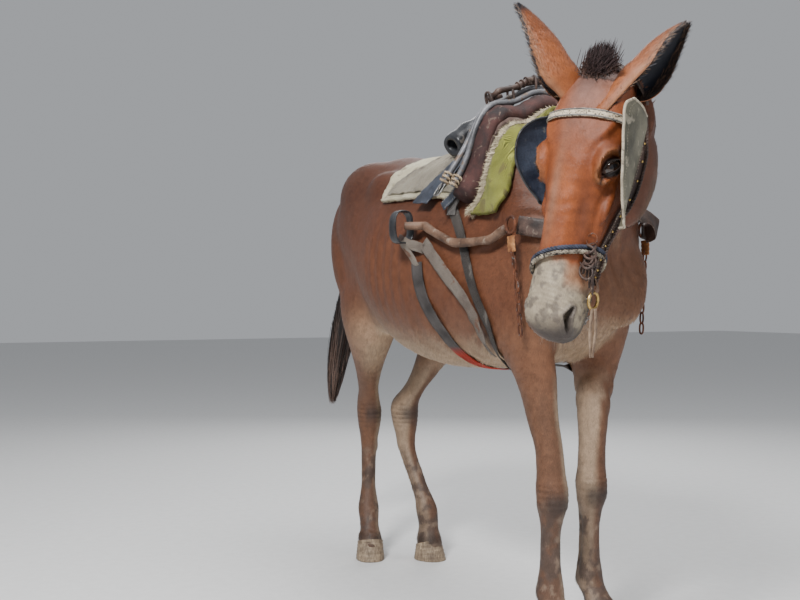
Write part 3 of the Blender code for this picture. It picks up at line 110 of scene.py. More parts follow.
# Head stations from poll to muzzle: s along the head, top, bottom, half width, widest line,
# roundness above and below; n and l are measured across it, towards the forehead and the left
HEAD = (
    (-0.020, -0.040, -0.130, 0.045, -0.080, 2.0, 2.0),
    (0.020, -0.004, -0.160, 0.066, -0.060, 2.2, 2.0),
    (0.080, 0.012, -0.195, 0.087, -0.055, 2.4, 1.8),
    (0.150, 0.018, -0.222, 0.093, -0.062, 2.5, 1.9),
    (0.210, 0.017, -0.232, 0.088, -0.085, 2.3, 2.0),
    (0.270, 0.012, -0.224, 0.077, -0.095, 2.1, 2.0),
    (0.330, 0.005, -0.200, 0.066, -0.090, 2.0, 2.0),
    (0.390, -0.002, -0.172, 0.058, -0.085, 2.0, 2.0),
    (0.450, -0.010, -0.158, 0.058, -0.085, 2.1, 2.0),
    (0.510, -0.018, -0.150, 0.062, -0.085, 2.2, 2.2),
    (0.560, -0.032, -0.143, 0.058, -0.086, 2.2, 2.2),
    (0.590, -0.052, -0.130, 0.046, -0.090, 2.2, 2.2),
    (0.604, -0.075, -0.110, 0.022, -0.092, 2.0, 2.0),
)

# Planes that part the solids: three points of the one behind the head, y and z on the body
HEAD_CUT = ((-0.235, -0.855, 1.370), (-0.100, -0.722, 1.060), (-0.050, -0.865, 1.115))
NECK_CUT = ((-0.400, 1.360), (-0.660, 0.980))
CORONET_REACH = 0.045

# Place of the left eye in head coordinates
EYE_PLACE = (0.216, -0.037, 0.077)

# Ears: base, direction of growth and way the cup opens, along, out from and left of the face
EAR_BASE = (0.047, -0.039, 0.061)
EAR_GROWTH = {"r": (-0.723, 0.421, -0.548), "l": (-0.867, -0.447, 0.218)}
EAR_OPENING = {"r": (0.200, 0.500, -0.840), "l": (-0.160, -0.180, 0.970)}
EAR_SHIFT = {"r": 0.30, "l": 0.45}
EAR_SKIN = 0.0045
EAR_BREADTH = {"r": 1.16, "l": 1.0}
EAR_SHAPE = (
    (0.00, 0.028, 138), (0.12, 0.036, 128), (0.30, 0.043, 118), (0.50, 0.043, 104),
    (0.70, 0.034, 92), (0.88, 0.019, 80), (1.00, 0.004, 60),
)

# Tail: centre line points from the dock to the end of the hair, and half widths across and fore
TAIL = (
    (0.00, 0.000, 0.630, 1.185, 0.030, 0.026), (0.12, -0.003, 0.705, 1.150, 0.032, 0.028),
    (0.25, -0.015, 0.755, 1.040, 0.034, 0.030), (0.45, -0.038, 0.782, 0.880, 0.044, 0.034),
    (0.65, -0.060, 0.798, 0.730, 0.052, 0.036), (0.85, -0.080, 0.810, 0.590, 0.040, 0.028),
    (1.00, -0.090, 0.818, 0.480, 0.012, 0.008),
)

# Harness on the right side, points near the skin; the left side is its mirror image
FRONT_STRAP = (
    (-0.196, -0.222, 1.092), (-0.203, -0.271, 1.034), (-0.208, -0.310, 0.962),
    (-0.202, -0.339, 0.873), (-0.184, -0.372, 0.782), (-0.150, -0.382, 0.716),
    (-0.095, -0.368, 0.690), (-0.035, -0.358, 0.680),
)
SIDE_STRAP = (
    (-0.240, -0.150, 1.000), (-0.236, -0.181, 0.977), (-0.229, -0.227, 0.931),
    (-0.205, -0.310, 0.850), (-0.198, -0.326, 0.817), (-0.180, -0.334, 0.752),
    (-0.140, -0.330, 0.708),
)
THIN_STRAP = ((-0.253, -0.022, 1.024), (-0.251, -0.060, 1.008), (-0.249, -0.110, 0.986))
BELLY_BAND = (
    (-0.246, -0.118, 0.950), (-0.241, -0.128, 0.874), (-0.217, -0.150, 0.804),
    (-0.175, -0.166, 0.743), (-0.115, -0.166, 0.693), (-0.055, -0.158, 0.669),
)
BREAST_STRAP = ((-0.190, -0.515, 1.030), (-0.160, -0.560, 1.020), (-0.090, -0.610, 1.010))
TRACE = (
    (-0.200, -0.475, 1.022), (-0.212, -0.400, 0.998), (-0.228, -0.300, 0.996),
    (-0.243, -0.215, 1.022), (-0.255, -0.155, 1.050),
)
RING_PLACE = (-0.203, -0.505, 1.030)
RING_SIZE = (0.020, 0.0038)
BREAST_TAB = ((-0.204, -0.508, 1.003), (-0.204, -0.509, 0.985), (-0.202, -0.510, 0.965))
BREAST_CHAIN = ((-0.200, -0.512, 0.961), (-0.190, -0.514, 0.870), (-0.184, -0.518, 0.778))
TUG_PLACE = (-0.288, -0.100, 1.046)
TUG_SIZE = (0.024, 0.040, 0.035, 0.005)

# Panels round the barrel: angle from the top in degrees, front y and rear y
SADDLE_PAD = ((-50, -0.230, 0.150), (-25, -0.250, 0.180), (0, -0.250, 0.185), (25, -0.250, 0.180),
              (50, -0.230, 0.150))
SADDLE_FLAP = ((32, -0.235, -0.185), (42, -0.215, -0.155), (51, -0.185, -0.120), (59, -0.160, -0.100))
FELT = ((-59, -0.425, -0.310), (-46, -0.473, -0.365), (-25, -0.459, -0.400), (0, -0.430, -0.400),
        (25, -0.459, -0.400), (46, -0.473, -0.365), (59, -0.425, -0.310))
COLLAR = ((-52, -0.300), (-25, -0.335), (0, -0.350), (25, -0.335), (52, -0.300))
SADDLE_ROLL = ((-27, -0.152), (0, -0.165), (27, -0.152))
HAMES = {"front": (0.006, 0.0690), "rear": (0.031, 0.0795)}

# Leather loop tied on top of the collar: angle from the top, y and height over the skin
COLLAR_LOOP = (
    (-13, -0.298, 0.111), (-18, -0.312, 0.111), (-17, -0.334, 0.114), (-10, -0.338, 0.120),
    (-3, -0.334, 0.119), (1, -0.326, 0.113), (0, -0.306, 0.110), (-6, -0.298, 0.111),
)
BARREL_AXIS = 0.95
CAST_AXIS = -0.09
CAST_REACH = 0.25

# Bridle: place along the head and angle from the front in degrees
CROWNPIECE = ((0.050, -98), (0.018, -84), (-0.006, -62), (-0.018, -35), (-0.020, 0),
              (-0.018, 35), (-0.006, 62), (0.018, 84), (0.050, 98))
BROWBAND = ((0.105, -90), (0.112, -70), (0.116, -35), (0.112, 0), (0.112, 35), (0.114, 70),
            (0.112, 90))
CHEEKPIECE = ((0.064, 100), (0.150, 106), (0.260, 108), (0.350, 106), (0.430, 100), (0.460, 96))
NOSEBAND = (0.424, 0.0075)
NOSEBAND_TILT = 0.034
BIT_PLACE = (0.497, -0.098, 0.052)
BIT_SIZE = (0.017, 0.0035)
BLINKER = {
    "l": ((0.078, -0.085, 0.012), (0.100, -0.096, 0.036), (0.140, -0.098, 0.022),
          (0.200, -0.100, -0.006), (0.260, -0.100, -0.034), (0.330, -0.098, -0.080)),
    "r": ((0.088, -0.095, -0.062), (0.115, -0.098, -0.022), (0.160, -0.100, 0.000),
          (0.205, -0.100, -0.004), (0.250, -0.100, -0.030), (0.292, -0.098, -0.075)),
}
BLINKER_FLARE = {"r": 0.148, "l": 0.124}

# Forelock: line of its middle from the root to the tip, in head coordinates
FORELOCK = ((0.006, -0.004, 0.012), (-0.016, 0.014, 0.024), (-0.044, 0.024, 0.038))

# Mane: clipped ridge of hair on the crest, height and half width
MANE_HEIGHT = 0.036
MANE_HALF = 0.011

# Each limb: its hoof's centre, toe-out angle, then centre line points (z, x, y) above the coronet
LIMBS = {
    "rf": ((-0.089, -0.5425), -8,
           ((0.045, -0.089, -0.540), (0.080, -0.087, -0.532), (0.135, -0.083, -0.4975),
            (0.25, -0.081, -0.498), (0.365, -0.080, -0.502), (0.47, -0.086, -0.500),
            (0.56, -0.095, -0.482), (0.67, -0.101, -0.460), (0.76, -0.118, -0.430),
            (0.95, -0.120, -0.430))),
    "lf": ((0.091, -0.4815), 10,
           ((0.045, 0.091, -0.480), (0.080, 0.089, -0.472), (0.135, 0.083, -0.4375),
            (0.25, 0.083, -0.439), (0.365, 0.084, -0.443), (0.47, 0.086, -0.443),
            (0.56, 0.093, -0.437), (0.65, 0.107, -0.427), (0.76, 0.122, -0.420),
            (0.95, 0.120, -0.430))),
    "rh": ((-0.084, 0.520), -20,
           ((0.045, -0.083, 0.522), (0.080, -0.080, 0.530), (0.165, -0.070, 0.562),
            (0.30, -0.061, 0.580), (0.465, -0.052, 0.592), (0.60, -0.090, 0.520),
            (0.74, -0.128, 0.425), (0.95, -0.105, 0.42))),
    "lh": ((0.088, 0.430), 22,
           ((0.045, 0.088, 0.430), (0.080, 0.087, 0.427), (0.165, 0.083, 0.433),
            (0.25, 0.069, 0.468), (0.38, 0.052, 0.524), (0.48, 0.047, 0.525),
            (0.60, 0.083, 0.465), (0.74, 0.125, 0.400), (0.95, 0.105, 0.410))),
}

# Limb thickness: z, reach forward and back of the centre line, half width
FORE_SHAPE = (
    (0.045, 0.050, 0.044, 0.042), (0.075, 0.042, 0.044, 0.040), (0.100, 0.032, 0.038, 0.033),
    (0.135, 0.032, 0.042, 0.036), (0.165, 0.029, 0.038, 0.031), (0.205, 0.026, 0.034, 0.025),
    (0.270, 0.025, 0.034, 0.0235), (0.315, 0.030, 0.038, 0.030), (0.355, 0.042, 0.040, 0.040),
    (0.385, 0.041, 0.046, 0.040), (0.425, 0.036, 0.040, 0.036), (0.480, 0.037, 0.040, 0.034),
    (0.550, 0.045, 0.048, 0.037), (0.620, 0.056, 0.062, 0.043), (0.680, 0.070, 0.088, 0.050),
    (0.740, 0.092, 0.122, 0.058), (0.800, 0.112, 0.145, 0.064), (0.880, 0.118, 0.145, 0.062),
    (0.950, 0.105, 0.125, 0.048),
)
HIND_SHAPE = (
    (0.045, 0.046, 0.042, 0.039), (0.072, 0.040, 0.044, 0.038), (0.105, 0.031, 0.036, 0.031),
    (0.160, 0.032, 0.042, 0.035), (0.200, 0.028, 0.036, 0.029), (0.245, 0.026, 0.034, 0.024),
    (0.330, 0.028, 0.034, 0.025), (0.390, 0.034, 0.040, 0.030), (0.435, 0.046, 0.052, 0.037),
    (0.480, 0.054, 0.064, 0.040), (0.518, 0.050, 0.072, 0.034), (0.555, 0.048, 0.058, 0.031),
    (0.610, 0.058, 0.060, 0.040), (0.670, 0.080, 0.085, 0.054), (0.740, 0.112, 0.125, 0.070),
    (0.810, 0.142, 0.165, 0.084), (0.880, 0.158, 0.185, 0.090), (0.950, 0.130, 0.150, 0.060),
)

# Muscle and bone forms on one side: centre, half lengths, tilt in the side view in degrees
BODY_FORMS = (
    ((0.108, -0.430, 1.080), (0.078, 0.115, 0.235), -28),
    ((0.125, -0.350, 0.860), (0.066, 0.130, 0.105), 18),
    ((0.064, -0.582, 0.900), (0.072, 0.066, 0.120), -6),
    ((0.150, 0.250, 1.170), (0.060, 0.100, 0.075), 0),
    ((0.100, 0.420, 1.160), (0.112, 0.190, 0.132), 12),
    ((0.136, 0.335, 0.960), (0.080, 0.135, 0.200), 22),
    ((0.110, 0.555, 1.000), (0.088, 0.112, 0.215), -14),
    ((0.146, 0.270, 0.825), (0.050, 0.065, 0.080), 0),
    ((0.120, 0.430, 0.990), (0.085, 0.120, 0.150), 0),
)
HEAD_FORMS = (
    ((0.190, -0.150, 0.058), (0.115, 0.088, 0.036)),
    ((0.205, -0.024, 0.072), (0.052, 0.030, 0.027)),
    ((0.265, -0.066, 0.064), (0.060, 0.014, 0.022)),
    ((0.320, -0.080, 0.052), (0.060, 0.012, 0.020)),
    ((0.540, -0.066, 0.040), (0.042, 0.030, 0.022)),
)

# Lines and measures used only for the looks
MOUTH_CURVE = ((0.612, -0.108, 0.0), (0.606, -0.108, 0.020), (0.585, -0.110, 0.036), (0.560, -0.112, 0.044),
               (0.530, -0.113, 0.050), (0.495, -0.108, 0.055))
NOSTRIL_SLIT = ((0.580, -0.080, 0.040), (0.566, -0.062, 0.047), (0.548, -0.050, 0.052),
                (0.528, -0.056, 0.054))
CURB_GUIDE = ((0.512, -0.125, -0.052), (0.548, -0.160, -0.035), (0.560, -0.180, 0.0),
              (0.548, -0.160, 0.035), (0.512, -0.125, 0.052))
CAD_STEPS = {"strap_front": 36, "belly_band": 34, "breast_strap": 26, "strap_thin_r": 6, "strap_thin_l": 6,
             "crownpiece": 20, "browband": 24, "cheekpiece_r": 14, "cheekpiece_l": 14}
SECOND_STRIP = ((35, -0.252), (41, -0.250), (48, -0.236), (56, -0.208))
STRAP_TOP = ((33, -0.268), (40, -0.262), (47, -0.246), (54, -0.228), (59, -0.228))
TUG_TO_SIDE = ((-0.288, -0.108, 1.008), (-0.276, -0.118, 0.998), (-0.262, -0.134, 0.994),
               (-0.250, -0.152, 0.986))
TUG_TO_BELLY = ((-0.288, -0.098, 1.008), (-0.278, -0.102, 0.990), (-0.264, -0.110, 0.968),
                (-0.252, -0.118, 0.940))
TRACE_END = (-0.286, -0.116, 1.048)
STRAP_THICK = 0.003
STRAP_LIFT = 0.003
BAND_WIDTH = 0.045
ROLL_HALF = (0.040, 0.031)
SMALL_STITCH = (0.006, 0.0042, 0.0005)

# How many tufts and hairs grow, and how many points form a ring or a line
TUFTS = 55500
TAIL_HAIRS = 3600
TAIL_CLUMPS = 46
MANE_HAIRS = 7500
FORELOCK_HAIRS = 2600
WHISKERS = 150
LASHES = 120
EAR_TUFTS = 9000
EAR_FRINGE = 5200
FLEECE_TUFTS = 9000
FINE_RING = 72
ROLL_STEPS = 61
ROLL_POINTS = 40
LOOP_STEPS = 90

# Filled while the scene is built
LOOKS_OF = {}
MADE = []

SKIN_VOXEL = 0.005
COAT_DEPTH = 0.0012
PHOTO_CAMERA = Vector((-1.620, -2.683, 0.850))
PHOTO_AHEAD = Vector((0.4571, 0.8894, 0.0))
PHOTO_LENS = 48.6
SEED = 11
EYE_HALF = 0.0235


def smooth_rows(rows, positions):
    """Read the columns of a table at new positions, on monotone cubics that never overshoot."""
    table = np.array(rows, float)
    x, y = table[:, 0], table[:, 1:]
    h = np.diff(x)[:, None]
    slope = np.diff(y, axis=0) / h
    tangent = np.zeros_like(y)
    tangent[0], tangent[-1] = slope[0], slope[-1]
    before, after = slope[:-1], slope[1:]
    w1, w2 = 2 * h[1:] + h[:-1], h[1:] + 2 * h[:-1]
    same = before * after > 0
    safe_before = np.where(same, before, 1.0)
    safe_after = np.where(same, after, 1.0)
    tangent[1:-1] = np.where(same, (w1 + w2) / (w1 / safe_before + w2 / safe_after), 0.0)
    at = np.clip(np.asarray(positions, float), x[0], x[-1])
    k = np.clip(np.searchsorted(x, at, side="right") - 1, 0, len(x) - 2)
    t = ((at - x[k]) / np.diff(x)[k])[:, None]
    step = h[k]
    return ((1 + 2 * t) * (1 - t) ** 2 * y[k] + t * (1 - t) ** 2 * step * tangent[k]
            + t * t * (3 - 2 * t) * y[k + 1] + t * t * (t - 1) * step * tangent[k + 1])


def ring(centre, side, up, half_width, above, below, round_above=2.0, round_below=2.0,
         points=RING_POINTS):
    """Points of a closed section with its own reach above, below and to the sides."""
    angle = np.linspace(0, 2 * math.pi, points, endpoint=False)
    cos, sin = np.cos(angle), np.sin(angle)
    power = np.where(sin >= 0, 2 / round_above, 2 / round_below)
    reach = np.where(sin >= 0, above, below)
    across = half_width * np.sign(cos) * np.abs(cos) ** power
    upward = reach * np.sign(sin) * np.abs(sin) ** power
    return (np.array(centre) + across[:, None] * np.array(side)
            + upward[:, None] * np.array(up))


def mesh_object(name, bm, collection):
    """Turn a bmesh into a named object of a collection."""
    mesh = bpy.data.meshes.new(name)
    bm.to_mesh(mesh)
    bm.free()
    item = bpy.data.objects.new(name, mesh)
    collection.objects.link(item)
    return item


def loft(name, rings, collection):
    """Closed skin over a row of rings of equal point count."""
    bm = bmesh.new()
    loops = [[bm.verts.new(point) for point in points] for points in rings]
    for first, second in zip(loops, loops[1:]):
        for i in range(len(first)):
            j = (i + 1) % len(first)
            bm.faces.new((first[i], first[j], second[j], second[i]))
    bm.faces.new(loops[0])
    bm.faces.new(loops[-1])
    bmesh.ops.recalc_face_normals(bm, faces=bm.faces)
    return mesh_object(name, bm, collection)


def blob(name, centre, half, turn, collection):
    """Ellipsoid with its half lengths along the axes of a rotation."""
    bm = bmesh.new()
    size = Matrix.Diagonal((*half, 1.0))
    place = Matrix.Translation(centre) @ turn.to_4x4() @ size
    bmesh.ops.create_uvsphere(bm, u_segments=28, v_segments=16, radius=1.0, matrix=place)
    return mesh_object(name, bm, collection)


def head_axes():
    """Directions of the head: along it to the muzzle, out of the forehead, and to its left."""
    level = Vector((-math.sin(HEAD_YAW), -math.cos(HEAD_YAW), 0))
    down = Vector((0, 0, -1))
    along = level * math.sin(HEAD_PITCH) + down * math.cos(HEAD_PITCH)
    out = level * math.cos(HEAD_PITCH) - down * math.sin(HEAD_PITCH)
    left = out.cross(along)
    roll = Matrix.Rotation(-HEAD_ROLL, 3, out)
    return roll @ along, out, roll @ left


def head_point(s, n, l):
    """World point of a place given along, out of and across the head."""
    along, out, left = head_axes()
    stretch = HEAD_LENGTH / HEAD[-1][0]
    return POLL + along * s * stretch + out * n + left * l


def trunk_form(work):
    """Barrel from breast to buttock."""
    ys = np.linspace(TRUNK[0][0], TRUNK[-1][0], 60)
    rows = smooth_rows(TRUNK, ys)
    rings = [ring((0, y, level), (1, 0, 0), (0, 0, 1), half, top - level, level - bottom, ra, rb)
             for y, (top, bottom, half, level, ra, rb) in zip(ys, rows)]
    return loft("trunk_form", rings, work)


def neck_form(work):
    """Neck from the withers to the poll, bent to the animal's right."""
    table = [(i, *crest, *under, half) for i, (crest, under, half) in enumerate(NECK)]
    rows = smooth_rows(table, np.linspace(0, len(NECK) - 1, 44))
    crest, under, half = rows[:, :3], rows[:, 3:6], rows[:, 6]
    middle = crest * 0.45 + under * 0.55
    tangent = np.gradient(middle, axis=0)
    rings = []
    for c, u, m, t, w in zip(crest, under, middle, tangent, half):
        up = (c - u) / np.linalg.norm(c - u)
        side = np.cross(t, up)
        side /= np.linalg.norm(side)
        reach = np.linalg.norm(c - u)
        rings.append(ring(m, side, up, w, reach * 0.55, reach * 0.45, 1.7, 2.1))
    return loft("neck_form", rings, work)


def head_forms(work):
    """Skull, jaw and muzzle, with the cheek, brow, facial crest and nostril forms on both sides."""
    along, out, left = head_axes()
    turn = Matrix((along, out, left)).transposed()
    ss = np.linspace(HEAD[0][0], HEAD[-1][0], 64)
    rings = [ring(head_point(s, level, 0), left, out, half, top - level, level - bottom, ra, rb)
             for s, (top, bottom, half, level, ra, rb) in zip(ss, smooth_rows(HEAD, ss))]
    forms = [loft("skull_form", rings, work)]
    for (s, n, l), half in HEAD_FORMS:
        for sign in (1, -1):
            forms.append(blob("face_form", head_point(s, n, sign * l), half, turn, work))
    return forms


def limb_form(name, work):
    """One leg from the coronet up into the body, turned out at the foot."""
    (_, _), toe_out, line = LIMBS[name]
    shape = FORE_SHAPE if name.endswith("f") else HIND_SHAPE
    zs = np.linspace(shape[0][0], shape[-1][0], 70)
    centres = smooth_rows(line, zs)
    sizes = smooth_rows(shape, zs)
    rings = []
    for z, (x, y), (front, back, half) in zip(zs, centres, sizes):
        turned = math.radians(toe_out) * max(0.0, 1.0 - z / 0.75)
        ahead = (math.sin(turned), -math.cos(turned), 0)
        side = (math.cos(turned), math.sin(turned), 0)
        rings.append(ring((x, y, z), side, ahead, half, front, back, 2.0, 2.0))
    return loft("limb_form", rings, work)


def body_forms(work):
    """Muscle and bone forms of the trunk on both sides."""
    forms = []
    for (x, y, z), half, tilt in BODY_FORMS:
        turn = Matrix.Rotation(math.radians(tilt), 3, "X")
        for sign in (1, -1):
            forms.append(blob("muscle_form", (sign * x, y, z), half, turn, work))
    return forms


def fuse(name, forms, voxel, work):
    """One skin round overlapping forms, by voxel remesh."""
    bm = bmesh.new()
    for form in forms:
        bm.from_mesh(form.data)
    item = mesh_object(name, bm, work)
    remesh = item.modifiers.new("Remesh", "REMESH")
    remesh.mode = "VOXEL"
    remesh.voxel_size = voxel
    remesh.adaptivity = 0.0
    return applied(item)


def applied(item):
    """Replace an object's mesh by what its modifiers make of it."""
    graph = bpy.context.evaluated_depsgraph_get()
    mesh = bpy.data.meshes.new_from_object(item.evaluated_get(graph))
    item.modifiers.clear()
    item.data = mesh
    return item


def relax(item, rounds, back, weight):
    """Smooth a mesh by its neighbours' mean, pushing back after each round by the given share."""
    mesh = item.data
    count = len(mesh.vertices)
    place = np.empty(count * 3)
    mesh.vertices.foreach_get("co", place)
    place = place.reshape(-1, 3)
    edges = np.empty(len(mesh.edges) * 2, int)
    mesh.edges.foreach_get("vertices", edges)
    a, b = edges.reshape(-1, 2).T
    valence = np.bincount(a, minlength=count) + np.bincount(b, minlength=count)
    strength = weight(place)[:, None]
    for step in range(rounds * 2):
        total = np.empty_like(place)
        for axis in range(3):
            total[:, axis] = (np.bincount(a, place[b, axis], count)
                              + np.bincount(b, place[a, axis], count))
        change = total / valence[:, None] - place
        place += (SMOOTHING if step % 2 == 0 else -SMOOTHING * back) * strength * change
    mesh.vertices.foreach_set("co", place.ravel())
    mesh.update()


def ramp(value, low, high):
    """0 below low, 1 above high, smooth between."""
    t = np.clip((value - low) / (high - low), 0, 1)
    return t * t * (3 - 2 * t)


def trunk_weight(place):
    """How much of the trunk's strong smoothing a point takes: the face and lower legs take none."""
    off_head = ramp(np.linalg.norm(place - np.array(head_point(0.16, -0.08, 0)), axis=1), 0.20, 0.36)
    return ramp(place[:, 2], 0.50, 0.74) * off_head


def discard(items):
    """Remove helper objects."""
    for item in items:
        bpy.data.objects.remove(item, do_unlink=True)


def plane_of(first, second, third, ahead, offset):
    """Plane through three points as a point and a normal turned towards a point ahead."""
    first = Vector(first)
    normal = (Vector(second) - first).cross(Vector(third) - first).normalized()
    if (Vector(ahead) - first).dot(normal) < 0:
        normal.negate()
    return first + normal * offset, normal


def head_plane(offset):
    """Plane between head and neck, its normal towards the face."""
    return plane_of(*HEAD_CUT, head_point(0.3, 0, 0), offset)


def neck_plane(offset):
    """Plane between neck and torso, its normal towards the neck."""
    (y0, z0), (y1, z1) = NECK_CUT
    return plane_of((0, y0, z0), (0, y1, z1), (1, y0, z0), (0, -0.8, 1.3), offset)


def foot_axes(name):
    """Directions ahead of a foot and to its side."""
    turn = math.radians(LIMBS[name][1])
    return Vector((math.sin(turn), -math.cos(turn), 0)), Vector((math.cos(turn), math.sin(turn), 0))


def coronet_plane(name, offset):
    """Sloping plane between the leg and the hoof, its normal up."""
    ahead, side = foot_axes(name)
    centre = Vector((*LIMBS[name][0], 0))
    front = centre + ahead * CORONET_REACH + Vector((0, 0, CORONET_FRONT))
    heel = centre - ahead * CORONET_REACH + Vector((0, 0, CORONET_HEEL))
    normal = (front - heel).cross(side).normalized()
    if normal.z < 0:
        normal.negate()
    return front + normal * offset, normal


def face_out(item):
    """Turn a closed mesh's faces outwards."""
    bm = bmesh.new()
    bm.from_mesh(item.data)
    bmesh.ops.recalc_face_normals(bm, faces=bm.faces)
    if bm.calc_volume(signed=True) < 0:
        bmesh.ops.reverse_faces(bm, faces=bm.faces)
    bm.to_mesh(item.data)
    bm.free()


def ball(name, centre, radius, collection, segments=14):
    """Sphere of a given radius."""
    bm = bmesh.new()
    bmesh.ops.create_uvsphere(bm, u_segments=segments, v_segments=segments // 2, radius=radius,
                              matrix=Matrix.Translation(centre))
    return mesh_object(name, bm, collection)


def tube(name, points, radii, collection, sides=12, flat=1.0, up=(0, 0, 1)):
    """Round or flattened solid along a line of points, tapering with its radii."""
    points = [Vector(point) for point in points]
    rings = []
    side = None
    for i, (point, radius) in enumerate(zip(points, radii)):
        ahead = (points[min(i + 1, len(points) - 1)] - points[max(i - 1, 0)]).normalized()
        if side is None:
            side = Vector(up).cross(ahead)
        side = (side - ahead * side.dot(ahead)).normalized()
        rise = ahead.cross(side)
        rings.append(ring(point, side, rise, radius, radius * flat, radius * flat, points=sides))
    return loft(name, rings, collection)


def smooth_line(points, count):
    """Even steps on a smooth curve through the points."""
    table = [(i, *point) for i, point in enumerate(points)]
    return [Vector(row) for row in smooth_rows(table, np.linspace(0, len(points) - 1, count))]


def eye_lines(sign):
    """The way an eye looks, and the way its slit runs from the outer to the inner corner."""
    along, out, left = head_axes()
    gaze = (left * sign * 0.78 + out * 0.62).normalized()
    length = along * 0.68 + (out * 0.78 - left * sign * 0.62) * 0.75
    return gaze, (length - gaze * length.dot(gaze)).normalized()


def skin_tree(items):
    """Search tree over the surfaces of several objects."""
    places, faces = [], []
    for item in items:
        start = len(places)
        places += [vertex.co.copy() for vertex in item.data.vertices]
        faces += [[start + i for i in face.vertices] for face in item.data.polygons]
    return BVHTree.FromPolygons(places, faces)


def on_barrel(skin, phi, y):
    """Point of the skin at an angle from the top round the barrel, and the way out."""
    way = Vector((math.sin(math.radians(phi)), 0, math.cos(math.radians(phi))))
    return skin.ray_cast(Vector((0, y, BARREL_AXIS)), way)[0], way


def on_head(skin, s, theta):
    """Point of the skin at a place along the head and an angle from its front, and the way out."""
    out, left = head_axes()[1:]
    way = out * math.cos(math.radians(theta)) + left * math.sin(math.radians(theta))
    return skin.ray_cast(head_point(s, CAST_AXIS, 0) + way * CAST_REACH, -way)[0], way


def mirrored(points, sign):
    """Points of the right side, or their mirror image on the left."""
    return [Vector((x * (-1 if sign > 0 else 1), y, z)) for x, y, z in points]


def grid_solid(name, inner, outer, collection, closed=False):
    """Solid between two grids of points with the same layout, closed round its rim."""
    bm = bmesh.new()
    sheets = [[[bm.verts.new(point) for point in row] for row in grid] for grid in (inner, outer)]
    rows, columns = len(inner), len(inner[0])
    last = rows if closed else rows - 1
    for i in range(last):
        k = (i + 1) % rows
        for j in range(columns - 1):
            for sheet in sheets:
                bm.faces.new((sheet[i][j], sheet[k][j], sheet[k][j + 1], sheet[i][j + 1]))
        for j in (0, columns - 1):
            low, high = sheets
            bm.faces.new((low[i][j], low[k][j], high[k][j], high[i][j]))
    if not closed:
        for i in (0, rows - 1):
            low, high = sheets
            for j in range(columns - 1):
                bm.faces.new((low[i][j], low[i][j + 1], high[i][j + 1], high[i][j]))
    item = mesh_object(name, bm, collection)
    face_out(item)
    return item


def strap(name, guide, width, thickness, skin, collection, lift=0.003, steps=16, closed=False):
    """Flat band laid on the skin along a guide line, straight across its width."""
    count = steps + 1
    line = smooth_line(guide, count)
    for _ in range(2):
        line = [skin.find_nearest(point)[0] for point in line]
        ends = line[0], line[-1]
        line = [(line[i - 1] + line[i] * 2 + line[(i + 1) % count]) / 4 for i in range(count)]
        if not closed:
            line[0], line[-1] = ends
    frames = []
    for i, point in enumerate(line):
        before = line[i - 1] if closed or i else line[0]
        after = line[(i + 1) % count] if closed or i < count - 1 else line[-1]
        ahead = (after - before).normalized()
        near, normal = skin.find_nearest(point)[:2]
        normal = (normal - ahead * normal.dot(ahead)).normalized()
        frames.append([near, normal, ahead.cross(normal)])
    normals = [frame[1] for frame in frames]
    for i in range(1, count - 1):
        frames[i][1] = (normals[i - 1] + normals[i] * 2 + normals[i + 1]).normalized()
    highs = []
    for near, normal, side in frames:
        high = 0.0
        for k in (-1, -0.5, 0, 0.5, 1):
            start = near + side * width * k / 2 + normal * 0.05
            hit = skin.ray_cast(start, -normal, 0.09)[0]
            if hit:
                high = max(high, (hit - near).dot(normal))
        highs.append(high)
    inner, outer = [], []
    for i, (near, normal, side) in enumerate(frames):
        around = highs[max(i - 1, 0):i + 2]
        base = near + normal * (max(around) * 0.7 + highs[i] * 0.3 + lift)
        inner.append([base + side * width * k / 2 for k in (-1, 1)])
        outer.append([base + normal * thickness + side * width * k / 2 for k in (-1, 1)])
    return grid_solid(name, inner, outer, collection, closed)


def panel(name, table, steps, thickness, skin, collection, lift=0.005):
    """Flat thing laid round the barrel between a front and a rear edge."""
    around, down = steps
    angles = np.linspace(table[0][0], table[-1][0], around + 1)
    reach = []
    for phi, (front, rear) in zip(angles, smooth_rows(table, angles)):
        row = []
        for y in np.linspace(front, rear, down + 1):
            hit, way = on_barrel(skin, phi, y)
            row.append((y, way, (hit - Vector((0, y, BARREL_AXIS))).length))
        reach.append(row)
    inner, outer = [], []
    for i, row in enumerate(reach):
        low, high = [], []
        for j, (y, way, far) in enumerate(row):
            near = [reach[k][m][2] for k in range(max(i - 1, 0), min(i + 2, len(reach)))
                    for m in range(max(j - 1, 0), min(j + 2, len(row)))]
            far = max(far, sum(near) / len(near)) + lift
            centre = Vector((0, y, BARREL_AXIS))
            low.append(centre + way * far)
            high.append(centre + way * (far + thickness))
        inner.append(low)
        outer.append(high)
    return grid_solid(name, inner, outer, collection)


def arch(name, table, half_width, height, skin, collection, lift, steps=12, sides=10):
    """Rolled form laid over the barrel, its underside on the skin."""
    angles = np.linspace(table[0][0], table[-1][0], steps + 1)
    rings = []
    for phi, (y,) in zip(angles, smooth_rows(table, angles)):
        hit, way = on_barrel(skin, phi, y)
        centre = hit + way * (lift + height / 2)
        rings.append(ring(centre, Vector((0, 1, 0)), way, half_width, height / 2, height / 2,
                          points=sides))
    return loft(name, rings, collection)


